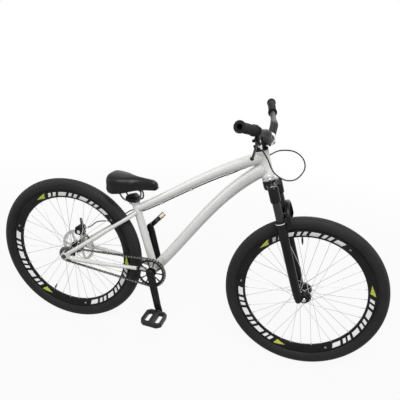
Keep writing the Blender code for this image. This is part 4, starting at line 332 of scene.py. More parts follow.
# A section carried along a route. The section is a unit circle, or points scaled by the radii
def sweep(bm, points, radii, sides=24, hint=side, section=None, closed=False):
    fresh = bmesh.new()
    count = len(points)
    headings = []
    for i in range(count):
        before = points[(i - 1) % count] if closed else points[max(i - 1, 0)]
        after = points[(i + 1) % count] if closed else points[min(i + 1, count - 1)]
        headings.append((after - before).normalized())
    radii = radii if isinstance(radii, (list, tuple)) else [radii] * count
    places = []
    across = hint
    for i in range(count):
        across = crossAxes(headings[i], across)[0]
        wide = radii[i] if isinstance(radii[i], (list, tuple)) else (radii[i], radii[i])
        places.append(placeAt(points[i], headings[i], across, wide[0], wide[1]))
    if section:
        verts = [fresh.verts.new(places[0] @ Vector((a, b, 0))) for a, b in section]
        edges = [fresh.edges.new((verts[i], verts[(i + 1) % len(verts)])) for i in range(len(verts))]
    else:
        bmesh.ops.create_circle(fresh, cap_ends=False, segments=sides, radius=1.0, matrix=places[0])
        edges = list(fresh.edges)
    firstRing = list(edges)
    for i in range(1, count):
        grown = bmesh.ops.extrude_edge_only(fresh, edges=edges)["geom"]
        ring = [g for g in grown if isinstance(g, bmesh.types.BMVert)]
        edges = [g for g in grown if isinstance(g, bmesh.types.BMEdge)]
        bmesh.ops.transform(fresh, matrix=places[i] @ places[i - 1].inverted(), verts=ring)
    if closed:
        bmesh.ops.bridge_loops(fresh, edges=firstRing + edges)
    else:
        bmesh.ops.holes_fill(fresh, edges=fresh.edges, sides=0)
    bmesh.ops.recalc_face_normals(fresh, faces=fresh.faces)
    return join(bm, fresh)


def rounded(outline, radius, segments=4):
    fresh = bmesh.new()
    verts = [fresh.verts.new((a, b, 0)) for a, b in outline]
    fresh.faces.new(verts)
    bmesh.ops.bevel(fresh, geom=verts, offset=radius, offset_type="OFFSET", segments=segments, profile=0.5,
                    affect="VERTICES", material=-1)
    face = max(fresh.faces, key=lambda f: f.calc_area())
    points = [(v.co.x, v.co.y) for v in face.verts]
    fresh.free()
    return points


# A flat plate cut from outlines: the first is its edge, the others are its windows
def slab(bm, outlines, centre, first, second, thickness, bevel=0.0, segments=2):
    fresh = bmesh.new()
    for outline in outlines:
        verts = [fresh.verts.new(centre + first * a + second * b) for a, b in outline]
        for i in range(len(verts)):
            fresh.edges.new((verts[i], verts[(i + 1) % len(verts)]))
    normal = first.cross(second).normalized()
    bmesh.ops.triangle_fill(fresh, use_beauty=True, use_dissolve=False, edges=fresh.edges, normal=normal)
    bmesh.ops.dissolve_limit(fresh, angle_limit=0.01, verts=fresh.verts, edges=fresh.edges)
    bmesh.ops.translate(fresh, verts=fresh.verts, vec=-normal * thickness / 2)
    grown = bmesh.ops.extrude_face_region(fresh, geom=list(fresh.faces), use_keep_orig=True)["geom"]
    top = [g for g in grown if isinstance(g, bmesh.types.BMVert)]
    bmesh.ops.translate(fresh, verts=top, vec=normal * thickness)
    bmesh.ops.recalc_face_normals(fresh, faces=fresh.faces)
    if bevel:
        rims = [e for flat in (0, 1) for e in fresh.edges if len(e.link_faces) == 2
                and abs(e.link_faces[flat].normal.dot(normal)) > 0.9
                and abs(e.link_faces[1 - flat].normal.dot(normal)) < 0.5]
        bmesh.ops.bevel(fresh, geom=rims, offset=bevel, offset_type="OFFSET", segments=segments,
                        profile=0.5, affect="EDGES", material=-1, clamp_overlap=True)
    return join(bm, fresh)


def block(bm, centre, first, second, size, bevel=0.001, segments=2):
    fresh = bmesh.new()
    bmesh.ops.create_cube(fresh, size=1.0)
    third = first.cross(second).normalized()
    place = Matrix((first * size[0], second * size[1], third * size[2])).transposed().to_4x4()
    place.translation = centre
    bmesh.ops.transform(fresh, matrix=place, verts=fresh.verts)
    if bevel:
        bmesh.ops.bevel(fresh, geom=fresh.edges[:], offset=bevel, offset_type="OFFSET", segments=segments,
                        profile=0.5, affect="EDGES", material=-1)
    bmesh.ops.recalc_face_normals(fresh, faces=fresh.faces)
    return join(bm, fresh)


# A socket head bolt that stands on a face, with its hexagon hole
def bolt(bm, place, outward, radius, height):
    hole = radius * 0.5
    lathe(bm, [(radius * 0.96, -0.0005), (radius, height * 0.15), (radius, height * 0.8),
               (radius * 0.88, height), (hole * 1.2, height), (hole, height * 0.85), (hole, height * 0.2),
               (0.0, height * 0.2)], place, outward, 18)


def hexNut(bm, place, outward, radius, height):
    first, second = crossAxes(outward, up if abs(outward.z) < 0.9 else ahead)
    slab(bm, [circle(radius, 6)], place + outward * height / 2, first, second, height, radius * 0.10, 2)


def flatPoint(radius, angle, centre=(0.0, 0.0)):
    return centre[0] + radius * math.cos(angle), centre[1] + radius * math.sin(angle)


def circle(radius, steps=24, centre=(0.0, 0.0)):
    return [flatPoint(radius, 2 * math.pi * i / steps, centre) for i in range(steps)]


# The profile of a disc or a bush with its outer edges broken, from low to high along the axis
def drum(bore, radius, low, high, edge, fall=None):
    fall = fall or edge
    return [(bore, low), (radius - edge, low), (radius, low + fall), (radius, high - fall),
            (radius - edge, high), (bore, high)]


def capsule(start, end, startRadius, endRadius, steps=10):
    heading = math.atan2(end[1] - start[1], end[0] - start[0])
    length = math.hypot(end[0] - start[0], end[1] - start[1])
    lean = math.acos((startRadius - endRadius) / length)
    outline = []
    for centre, radius, first, turn in ((start, startRadius, heading + lean, 2 * math.pi - 2 * lean),
                                        (end, endRadius, heading - lean, 2 * lean)):
        outline += [flatPoint(radius, first + turn * i / steps, centre) for i in range(steps + 1)]
    return outline


def smoothRoute(points, count):
    fine = []
    for i in range(len(points) - 1):
        before, here, there = points[max(i - 1, 0)], points[i], points[i + 1]
        after = points[min(i + 2, len(points) - 1)]
        bend, twist = 2 * before - 5 * here + 4 * there - after, 3 * here - before - 3 * there + after
        for j in range(12):
            t = j / 12
            fine.append(0.5 * (2 * here + (there - before) * t + bend * t ** 2 + twist * t ** 3))
    fine.append(points[-1])
    lengths = [0.0]
    for i in range(1, len(fine)):
        lengths.append(lengths[-1] + (fine[i] - fine[i - 1]).length)
    route, k = [], 0
    for i in range(count):
        want = lengths[-1] * i / (count - 1)
        while k < len(fine) - 2 and lengths[k + 1] < want:
            k += 1
        part = (want - lengths[k]) / max(lengths[k + 1] - lengths[k], 1e-9)
        route.append(fine[k].lerp(fine[k + 1], min(part, 1.0)))
    return route


# The bead of a weld where one tube meets another, with the ripple that the torch leaves
def weldBead(bm, place, heading, radius, axisPoint, axis, otherRadius, bead=0.0022, steps=72, reach=1.0):
    first, second = crossAxes(heading, side)
    points = []
    for i in range(steps):
        angle = 2 * math.pi * i / steps
        start = place + (first * math.cos(angle) + second * math.sin(angle)) * radius * reach
        offset = start - axisPoint
        flat = offset - axis * offset.dot(axis)
        run = heading - axis * heading.dot(axis)
        a, b, c = run.dot(run), 2 * flat.dot(run), flat.dot(flat) - otherRadius ** 2
        root = max(0.0, b * b - 4 * a * c)
        points.append(start + heading * ((-b - math.sqrt(root)) / (2 * a)))
    radii = [bead * (1 + 0.10 * math.cos(2 * math.pi * 24 * i / steps)) for i in range(steps)]
    return sweep(bm, points, radii, 8, heading, closed=True)


made = {}


def finishPiece(name, bm, finish, body, replaces=(), sharp=35.0):
    mesh = bpy.data.meshes.new(name)
    bm.to_mesh(mesh)
    bm.free()
    mesh.shade_smooth()
    mesh.set_sharp_from_angle(angle=math.radians(sharp))
    mesh.materials.append(finishes[finish])
    piece = bpy.data.objects.new(name, mesh)
    scene.collection.objects.link(piece)
    if body:
        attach(piece, body)
    if replaces:
        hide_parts(*([replaces] if isinstance(replaces, str) else replaces))
    made[name] = piece
    return piece


# Stage: a pale floor that stays white behind the bicycle and keeps its shadow, and soft lamps
stage = {"floorSize": 60.0, "floorColour": (0.36, 0.36, 0.36), "domeStrength": 0.32, "whiteShare": 0.93,
         "lamps": [("keyLamp", (0.9, -2.0, 3.3), 1.6, 122.0), ("fillLamp", (-2.6, -1.4, 1.9), 2.0, 24.0),
                   ("backLamp", (0.2, 2.6, 2.6), 2.4, 36.0)]}


def seenDirectly(tree):
    path = put(tree, "ShaderNodeLightPath").outputs
    either = plus(tree, path["Is Camera Ray"], path["Is Glossy Ray"], True)
    return plus(tree, either, path["Is Transmission Ray"], True)


def makeStage():
    world = bpy.data.worlds.new("studio")
    world.use_nodes = True
    scene.world = world
    tree = world.node_tree
    tree.nodes.clear()
    dome = put(tree, "ShaderNodeBackground", Color=(1.0, 1.0, 1.0, 1.0), Strength=stage["domeStrength"])
    white = put(tree, "ShaderNodeBackground", Color=(1.0, 1.0, 1.0, 1.0), Strength=1.0)
    both = put(tree, "ShaderNodeMixShader", i0=seenDirectly(tree), i1=dome.outputs[0], i2=white.outputs[0])
    put(tree, "ShaderNodeOutputWorld", Surface=both.outputs[0])
    material = bpy.data.materials.new("paleFloor")
    material.use_nodes = True
    tree = material.node_tree
    shader = tree.nodes["Principled BSDF"]
    shader.inputs["Base Color"].default_value = (*stage["floorColour"], 1.0)
    shader.inputs["Roughness"].default_value = 0.9
    shader.inputs["Specular IOR Level"].default_value = 0.1
    glow = put(tree, "ShaderNodeEmission", Color=(1.0, 1.0, 1.0, 1.0), Strength=1.0)
    spot = put(tree, "ShaderNodeTexCoord").outputs["Object"]
    away = put(tree, "ShaderNodeVectorMath", {"operation": "LENGTH"}, i0=spot).outputs["Value"]
    share = times(tree, seenDirectly(tree), spread(tree, away, 1.2, 3.6, stage["whiteShare"], 1.0))
    both = put(tree, "ShaderNodeMixShader", i0=share, i1=shader.outputs[0], i2=glow.outputs[0])
    tree.links.new(both.outputs[0], tree.nodes["Material Output"].inputs["Surface"])
    bm = bmesh.new()
    bmesh.ops.create_grid(bm, x_segments=1, y_segments=1, size=stage["floorSize"] / 2)
    mesh = bpy.data.meshes.new("floor")
    bm.to_mesh(mesh)
    bm.free()
    mesh.materials.append(material)
    floor = bpy.data.objects.new("floor", mesh)
    scene.collection.objects.link(floor)
    for name, place, size, power in stage["lamps"]:
        data = bpy.data.lights.new(name, "AREA")
        data.size, data.energy = size, power
        lamp = bpy.data.objects.new(name, data)
        lamp.location = place
        lamp.rotation_euler = (Vector(place) - Vector((0, 0, 0.45))).to_track_quat("Z", "Y").to_euler()
        scene.collection.objects.link(lamp)
    scene.view_settings.view_transform = "Standard"


# Rim finish: gloss black with generic rows of slanted bars, a pointed accent and a small square
rimGraphics = {"groups": 3, "turn": {"front": 0.075, "rear": 0.20}, "white": (0.80, 0.80, 0.79),
               "accent": (0.46, 0.50, 0.08), "grey": (0.26, 0.27, 0.27), "bars": 6.0, "slant": 0.026,
               "row": (0.12, 0.66), "rowHeight": (0.20, 0.84), "point": (0.680, 0.790), "pointEnd": 0.745,
               "tick": (0.050, 0.066), "tickHeight": (0.40, 0.64)}


def rimFinish(label, axle):
    material, tree, shader, tone, rough, _ = finishOf("rimGraphics" + label.title(), looks["glossBlack"])
    g = rimGraphics
    turned = useGroup(tree, "turned", Centre=axle, Fineness=700.0)
    inner = sizes["rimRadius"] - sizes["rimDepth"]
    v = spread(tree, turned["Radius"], inner + 0.003, sizes["rimRadius"] - 0.004)
    face = step(tree, maths(tree, "ABSOLUTE", turned["Across"]), 0.0046, 0.0002)
    u = maths(tree, "FRACT", plus(tree, times(tree, turned["Turn"], float(g["groups"])),
                                   g["turn"][label]))
    lean = plus(tree, u, times(tree, v, g["slant"]))
    count = times(tree, maths(tree, "SUBTRACT", lean, g["row"][0]),
                  g["bars"] / (g["row"][1] - g["row"][0]))
    cell = maths(tree, "FRACT", count)
    odd = maths(tree, "MODULO", maths(tree, "FLOOR", count), 2.0)
    # a wide bar and two narrow ones in turn
    wideBar = band(tree, cell, 0.08, 0.80, 0.02)
    narrowBars = plus(tree, band(tree, cell, 0.06, 0.34, 0.02), band(tree, cell, 0.54, 0.82, 0.02), True)
    bars = plus(tree, times(tree, wideBar, maths(tree, "SUBTRACT", 1.0, odd)),
                 times(tree, narrowBars, odd), True)
    row = times(tree, bars, band(tree, v, *g["rowHeight"], 0.02))
    row = times(tree, row, band(tree, lean, *g["row"], 0.001))
    middle = maths(tree, "ABSOLUTE", maths(tree, "SUBTRACT", v, sum(g["rowHeight"]) / 2))
    point = times(tree, maths(tree, "SUBTRACT", g["pointEnd"], u), 5.0)
    accents = times(tree, step(tree, maths(tree, "SUBTRACT", point, middle), 0.0, 0.01),
                    band(tree, lean, *g["point"], 0.001))
    tick = times(tree, band(tree, v, *g["tickHeight"], 0.02), band(tree, u, *g["tick"], 0.001))
    paint = mixed(tree, times(tree, row, face), tone, (*g["white"], 1.0))
    paint = mixed(tree, times(tree, tick, face), paint, (*g["grey"], 1.0))
    paint = mixed(tree, times(tree, accents, face), paint, (*g["accent"], 1.0))
    tree.links.new(paint, shader.inputs["Base Color"])
    printed = times(tree, plus(tree, row, accents, True), face)
    tree.links.new(plus(tree, rough, times(tree, printed, 0.16)), shader.inputs["Roughness"])
    finishes["rimGraphics" + label.title()] = material


# Tyre finish: matt rubber, fine ribs towards the bead, small sipes across the tread
tyreLook = {"colour": (0.006, 0.006, 0.007), "drift": (0.012, 0.012, 0.012), "roughness": (0.60, 0.74),
            "specular": 0.22, "grainScale": 900.0, "bump": 0.20, "dust": 0.08,
            "dustColour": (0.20, 0.19, 0.18), "worn": (0.018, 0.018, 0.018), "sipes": 160.0,
            "sipeSlant": 70.0, "ribs": 620.0, "ribBand": (0.2905, 0.2975)}


def tyreFinish(label, axle):
    material, tree, shader, tone, _, bump = finishOf("tyre" + label.title(), tyreLook)
    turned = useGroup(tree, "turned", Centre=axle, Fineness=900.0)
    onTread = step(tree, turned["Radius"], sizes["wheelRadius"] - 0.010, 0.001)
    reach = maths(tree, "ABSOLUTE", turned["Across"])
    slanted = plus(tree, times(tree, turned["Turn"], tyreLook["sipes"]),
                    times(tree, reach, tyreLook["sipeSlant"]))
    sipe = band(tree, maths(tree, "FRACT", slanted), 0.36, 0.62, 0.08)
    sipe = times(tree, sipe, band(tree, reach, 0.0035, 0.0185, 0.0006))
    ribs = maths(tree, "FRACT", times(tree, turned["Radius"], tyreLook["ribs"]))
    ribs = times(tree, band(tree, ribs, 0.3, 0.8, 0.2),
                 band(tree, turned["Radius"], *tyreLook["ribBand"], 0.0005))
    height = maths(tree, "SUBTRACT", times(tree, ribs, 0.5),
                   times(tree, sipe, onTread))
    carve = put(tree, "ShaderNodeBump", Height=height, Strength=0.8, Distance=0.0010,
                Normal=bump.outputs[0])
    tree.links.new(carve.outputs[0], shader.inputs["Normal"])
    worn = mixed(tree, times(tree, onTread, maths(tree, "SUBTRACT", 1.0, sipe)), tone,
                 (*tyreLook["worn"], 1.0))
    tree.links.new(worn, shader.inputs["Base Color"])
    finishes["tyre" + label.title()] = material


# Wheels
wheel = {"spokeRadius": 0.0010, "perSide": 18, "lacing": 60.0, "holeCircle": 0.0245, "flangeRadius": 0.0285,
         "flangeThick": 0.003, "barrel": 0.0135, "tyreSteps": 160, "rimSteps": 144, "turns": (5.0, 15.0),
         "valves": {"front": Vector((0.479, 0, 0.584)) - sizes["frontAxle"], "rear": polar(245, 1.0)},
         "hubs": {"front": (0.100, -0.033, 0.033), "rear": (0.135, -0.026, 0.033)}}


def tyreAndRim(label, axle, body):
    s = sizes
    centre = s["wheelRadius"] - s["tyreWidth"] / 2
    half = s["tyreWidth"] / 2
    low = s["rimRadius"] - 0.0075
    outer = []
    for degrees in range(-30, 150 + 61, 6):
        angle = math.radians(degrees)
        across = math.cos(angle) * half
        reach = math.sin(angle) * half
        outer.append((centre + reach, across))
    ring = [(low, 0.0100), (s["rimRadius"] - 0.001, 0.0103), (s["rimRadius"] + 0.0030, 0.0140)] + outer
    ring += [(s["rimRadius"] + 0.0030, -0.0140), (s["rimRadius"] - 0.001, -0.0103), (low, -0.0100)]
    inner = [(low, -0.0078), (s["rimRadius"], -0.0078)]
    inner += [(centre + math.sin(math.radians(a)) * (half - 0.003),
               -math.cos(math.radians(a)) * (half - 0.003))
              for a in range(0, 181, 20)]
    inner += [(s["rimRadius"], 0.0078), (low, 0.0078)]
    bm = lathe(None, ring + inner, axle, side, wheel["tyreSteps"], closed=True)
    finishPiece(label + "Tyre", bm, "tyre" + label.title(), body, label + "_tyre", 40)
    top, tip, wide = s["rimRadius"], s["rimRadius"] - s["rimDepth"], s["rimWidth"] / 2
    edge = [(tip, -0.0030), (tip + 0.0004, -0.0043), (tip + 0.0022, -0.0056),
            (top - 0.0125, -wide + 0.0004), (top - 0.0095, -wide), (top - 0.0010, -wide),
            (top, -wide + 0.0005), (top, -wide + 0.0014), (top - 0.0006, -wide + 0.0019),
            (top - 0.0060, -wide + 0.0019), (top - 0.0085, -wide + 0.0034), (top - 0.0100, -0.0040)]
    profile = edge + [(r, -a) for r, a in reversed(edge)]
    bm = lathe(None, profile, axle, side, wheel["rimSteps"], closed=True)
    finishPiece(label + "Rim", bm, "rimGraphics" + label.title(), body, label + "_rim", 30)


def spokePlaces(turn):
    share = 360 / (wheel["perSide"] / 2)
    places = []
    for way in (1, -1):
        for i in range(wheel["perSide"] // 2):
            hubAngle = turn + share * i + (0 if way > 0 else share / 2)
            rimAngle = hubAngle + way * wheel["lacing"]
            places.append((hubAngle, rimAngle, way))
    return places


def spokesAndNipples(label, axle, body, flange, turn, word):
    bm, nipples = bmesh.new(), bmesh.new()
    outward = math.copysign(1.0, flange)
    tip = sizes["rimRadius"] - sizes["rimDepth"]
    for hubAngle, rimAngle, way in spokePlaces(turn):
        head = outward * way                  # heads in and heads out in turn
        hole = axle + polar(hubAngle, wheel["holeCircle"], flange)
        end = axle + polar(rimAngle, tip + 0.001, outward * 0.0015)
        face = hole + side * head * (wheel["flangeThick"] / 2 + wheel["spokeRadius"] * 1.1)
        away = (end - face).normalized()
        cross = face + away * 0.30 * (end - face).length
        lifted = cross + side * outward * way * 0.0006
        back = hole - side * head * (wheel["flangeThick"] / 2 + 0.0012)
        route = [back, hole + side * head * 0.0008, face + away * 0.0016, face + away * 0.012, lifted,
                 end.lerp(face, 0.35), end - away * 0.011, end]
        radii = [0.0018, 0.00115, 0.00115, 0.00105] + [wheel["spokeRadius"]] * 4
        sweep(bm, route, radii, 6, side + ahead * 0.3)
        lathe(nipples, [(0.0, -0.0145), (0.0014, -0.0145), (0.0019, -0.0135), (0.0019, -0.004),
                        (0.0027, -0.003), (0.0029, 0.0)], end + away * 0.0015, away, 6)
    finishPiece("%sSpokes%s" % (label, word), bm, "spokeSteel", body,
                "%s_spokes_%s" % (label, word.lower()), 50)
    finishPiece("%sNipples%s" % (label, word), nipples, "polished", body, (), 30)


def hubShell(label, axle, body, width, right, left):
    w = wheel
    t, end = w["flangeThick"] / 2, 0.0108
    fillet = [(w["barrel"], 0.009), (w["barrel"] + 0.0008, 0.0062), (w["barrel"] + 0.0035, 0.0036),
              (w["barrel"] + 0.0080, 0.0018), (w["flangeRadius"] - 0.0012, t), (w["flangeRadius"], t * 0.4)]
    profile = [(0.0054, -width / 2 + 0.0004), (end - 0.0006, -width / 2 + 0.0004),
               (end, -width / 2 + 0.001)]
    if label == "rear":
        thread = 0.0161
        profile += [(end, -0.0560), (thread - 0.0006, -0.0556), (thread, -0.0548),
                    (thread, right - t - 0.002), (w["barrel"] + 0.004, right - t - 0.0018)]
    else:
        profile += [(end, right - t - 0.0080), (w["barrel"], right - t - 0.0050)]
    profile += [(w["flangeRadius"] - 0.0012, right - t), (w["flangeRadius"], right - t * 0.4)]
    profile += [(r, right + a) for r, a in reversed(fillet)]
    profile += [(w["barrel"] - 0.0006, right + 0.016), (w["barrel"] - 0.0006, left - 0.016)]
    profile += [(r, left - a) for r, a in fillet]
    profile += [(w["flangeRadius"], left + t * 0.4), (w["flangeRadius"] - 0.0012, left + t)]
    if label == "rear":
        plane = sizes["rotorPlane"]
        profile += [(0.0225, left + t + 0.0004), (0.0225, plane - 0.0016), (0.0218, plane - 0.0011),
                    (0.0171, plane - 0.0011), (0.0171, plane + 0.0014), (end, plane + 0.0018)]
    else:
        profile += [(w["barrel"], left + t + 0.0050), (end, left + t + 0.0080)]
    profile += [(end, width / 2 - 0.001), (end - 0.0006, width / 2 - 0.0004), (0.0054, width / 2 - 0.0004)]
    bm = lathe(None, profile, axle, side, 56, closed=True)
    for flange, turn in zip((right, left), w["turns"]):
        for hubAngle, _, _ in spokePlaces(turn):
            spot = axle + polar(hubAngle, w["holeCircle"], flange)
            lathe(bm, [(0.0014, -t - 0.0003), (0.0020, -t - 0.0001), (0.0020, t + 0.0001),
                       (0.0014, t + 0.0003)], spot, side, 10, closed=True)
    finishPiece(label + "Hub", bm, "blackAnodised", body, label + "_hub", 30)
    seals = bmesh.new()
    for way in (-1, 1):
        at = axle + side * way * (width / 2 - 0.0006)
        lathe(seals, [(0.0056, -0.0004), (0.0056, 0.0006), (0.0088, 0.0006), (0.0092, -0.0004)], at,
              side * way, 32, closed=True)
    finishPiece(label + "HubSeals", seals, "rubber", body)


def valveStem(axle, body, label):
    bm = bmesh.new()
    inward = -wheel["valves"][label].normalized()
    start = axle - inward * (sizes["rimRadius"] - sizes["rimDepth"] + 0.001)
    lathe(bm, [(0.0, 0.034), (0.0018, 0.034), (0.0026, 0.0335), (0.0026, 0.026), (0.0037, 0.0255),
               (0.0040, 0.024), (0.0040, 0.010), (0.0036, 0.0085), (0.0032, 0.008), (0.0032, 0.0015),
               (0.0058, 0.0012), (0.0060, 0.0)], start, inward, 20)
    finishPiece(label + "Valve", bm, "rubber", body)


def makeWheels():
    for label, axle, body in (("front", sizes["frontAxle"], "front_wheel"),
                              ("rear", sizes["rearAxle"], "rear_wheel")):
        rimFinish(label, axle)
        tyreFinish(label, axle)
        width, right, left = wheel["hubs"][label]
        tyreAndRim(label, axle, body)
        hubShell(label, axle, body, width, right, left)
        for flange, turn, word in zip((right, left), wheel["turns"], ("Right", "Left")):
            spokesAndNipples(label, axle, body, flange, turn, word)
        valveStem(axle, body, label)
    print("wheels made")


# Frame tubes
tubes = {"topOnSeat": 0.280, "topBelowHead": 0.0275, "topBow": 0.0154, "topRadii": (0.0165, 0.0238),
         "downAboveHead": 0.0375, "downBow": 0.0275, "downRadii": (0.0222, 0.0272), "headRadius": 0.0235,
         "seatRadius": 0.0165, "seatLength": 0.314, "shellRadius": 0.0205, "shellWidth": 0.068, "sides": 48,
         "guides": (0.197, 0.443, 0.729), "cableRadius": 0.0025, "cableOff": 0.0016, "bead": 0.0021,
         "stayOnSeat": 0.266, "staySteps": 40}


def bowAt(start, end, bow, t):
    chord = end - start
    lift = Vector((-chord.z, 0, chord.x)).normalized()
    return start + chord * t + lift * (bow * 6.75 * t * t * (1 - t))


def topTubeAt(t):
    return bowAt(seat(tubes["topOnSeat"]), steer(headHigh - tubes["topBelowHead"]), tubes["topBow"], t)


def topTubeRadius(t):
    low, high = tubes["topRadii"]
    return low + (high - low) * t * t


def downTubeAt(t):
    return bowAt(bracketAxle, steer(headLow + tubes["downAboveHead"]), tubes["downBow"], t)


def downTubeRadius(t):
    low, high = tubes["downRadii"]
    return low + (high - low) * t ** 3


def cableUnderTopTube(t):
    heading = (topTubeAt(t + 0.01) - topTubeAt(t - 0.01)).normalized()
    below = Vector((heading.z, 0, -heading.x))
    depth = topTubeRadius(t) + tubes["cableRadius"] + tubes["cableOff"]
    return topTubeAt(t) + below * depth, heading, below


def makeMainTubes():
    s = tubes
    steps = [i / 36 for i in range(37)]
    bm = sweep(None, [topTubeAt(t) for t in steps], [topTubeRadius(t) for t in steps], s["sides"])
    for t in s["guides"]:
        centre, heading, below = cableUnderTopTube(t)
        root = topTubeAt(t) + below * (topTubeRadius(t) - 0.0006)
        block(bm, root.lerp(centre, 0.5), heading, side, (0.012, 0.0085, (centre - root).length + 0.001),
              0.0012)
        lathe(bm, drum(0.0031, 0.0050, -0.006, 0.006, 0.0003, 0.0005), centre, heading, 28, closed=True)
    weldBead(bm, topTubeAt(0.90), (topTubeAt(1.0) - topTubeAt(0.90)).normalized(), topTubeRadius(0.97),
             steer(0.5), steerUp, s["headRadius"], s["bead"])
    weldBead(bm, topTubeAt(0.12), (topTubeAt(0.0) - topTubeAt(0.12)).normalized(), topTubeRadius(0.03),
             seat(0.1), seatUp, s["seatRadius"], s["bead"] * 0.9)
    finishPiece("topTube", bm, "silverPaint", "frame", "top_tube")
    bm = sweep(None, [downTubeAt(t) for t in steps], [downTubeRadius(t) for t in steps], s["sides"])
    weldBead(bm, downTubeAt(0.88), (downTubeAt(1.0) - downTubeAt(0.88)).normalized(), downTubeRadius(0.96),
             steer(0.5), steerUp, s["headRadius"], s["bead"], reach=0.995)
    weldBead(bm, downTubeAt(0.10), (downTubeAt(0.0) - downTubeAt(0.10)).normalized(),
             downTubeRadius(0.03) * 0.91, bracketAxle, side, s["shellRadius"], s["bead"])
    finishPiece("downTube", bm, "silverPaint", "frame", "down_tube")
    # the head tube, with a reinforced ring at each end
    low, high, r = headLow, headHigh, s["headRadius"]
    half = [(r + 0.0008, 0.0004), (r + 0.0012, 0.001), (r + 0.0012, 0.0095), (r + 0.0006, 0.0112),
            (r, 0.0125)]
    profile = [(r - 0.003, low)] + [(a, low + b) for a, b in half]
    profile += [(a, high - b) for a, b in reversed(half)] + [(r - 0.003, high)]
    finishPiece("headTube", lathe(None, profile, steerFoot, steerUp, 64, closed=True),
                "silverPaint", "frame", "head_tube")
    r, end = s["shellRadius"], s["shellWidth"] / 2
    finishPiece("bracketShell", lathe(None, drum(0.0182, r, -end, end, 0.0007), bracketAxle, side, 64,
                                      closed=True), "silverPaint", "frame", "bb_shell")
    r, top = s["seatRadius"], s["seatLength"]
    profile = [(r, 0.019), (r, top - 0.030), (r + 0.0004, top - 0.020), (r + 0.0004, top),
               (r - 0.0026, top), (r - 0.0026, 0.019)]
    bm = lathe(None, profile, bracketAxle, seatUp, 56, closed=True)
    weldBead(bm, seat(0.06), -seatUp, r, bracketAxle, side, s["shellRadius"], s["bead"])
    finishPiece("seatTube", bm, "silverPaint", "frame", "seat_tube")


# Rear triangle: stays and the dropouts
rear = {"hubWidth": 0.135, "plate": 0.006, "chainRadius": 0.0100, "seatRadius": 0.0090, "reach": 0.036,
        "dropRadius": 0.0165, "caliperAngle": 82.0, "lugReach": 0.077, "spreadAtBracket": 0.0240,
        "tyreGap": 0.0035, "ringGap": 0.0030, "spreadAtTop": 0.0150}


def stayRoute(start, end, plan, way, radius, waist):
    run = Vector((end.x - start.x, 0, end.z - start.z))
    foot = Vector((start.x, 0, start.z))
    points = [foot + run * part + side * way * width for part, width in plan]
    route = smoothRoute(points, tubes["staySteps"])
    count = len(route) - 1
    thinning = [(1 - waist) * math.sin(math.pi * 0.66 * i / count) ** 2 for i in range(count + 1)]
    return route, [radius * (1 - thin) for thin in thinning]


# The closed lower end of a stay, with the bead of its weld to the dropout
def stayEnd(bm, route, radius):
    lathe(bm, [(radius * 0.4, -0.0030), (radius * 0.95, -0.0026), (radius * 1.10, 0.0), (radius, 0.0026)],
          route[0], (route[1] - route[0]).normalized(), 28)


def dropoutPlate(way):
    r = rear
    chainEnd, seatEnd = polar(-3, r["reach"]), polar(39, r["reach"])
    run = seat(tubes["stayOnSeat"]) - sizes["rearAxle"] - seatEnd
    across = Vector((-run.z, 0, run.x)).normalized() * r["seatRadius"] * 0.95
    edge = [flatPoint(r["dropRadius"], math.radians(75 + 255 * i / 20)) for i in range(21)]
    edge += [(chainEnd.x, chainEnd.z - r["chainRadius"] * 0.85), (chainEnd.x + 0.004, chainEnd.z),
             (chainEnd.x, chainEnd.z + r["chainRadius"] * 0.85), (0.0265, 0.0105),
             (seatEnd.x - across.x, seatEnd.z - across.z), (seatEnd.x + 0.003, seatEnd.z + 0.0026),
             (seatEnd.x + across.x, seatEnd.z + across.z)]
    windows = [circle(0.0053, 24)]
    if way > 0:
        for lean, cut in ((-15, 0.0), (-9, 0.002), (9, 0.002), (15, 0.0)):
            edge.append(flatPoint(r["lugReach"] - cut, math.radians(r["caliperAngle"] + lean)))
        windows.append(circle(0.0062, 20, flatPoint(0.046, math.radians(r["caliperAngle"]))))
    centre = sizes["rearAxle"] + side * way * (r["hubWidth"] + r["plate"]) / 2
    bm = slab(None, [edge] + windows, centre, ahead, up, r["plate"], 0.0008, 2)
    # a raised ring where the axle nut bites
    lathe(bm, [(0.0056, 0.0), (0.0056, 0.0008), (0.0125, 0.0008), (0.0131, 0.0)],
          centre + side * way * r["plate"] / 2, side * way, 40, closed=True)
    word = "Right" if way < 0 else "Left"
    finishPiece("dropout" + word, bm, "silverPaint", "frame", "dropout_" + word.lower(), 30)
    return centre + chainEnd, centre + seatEnd


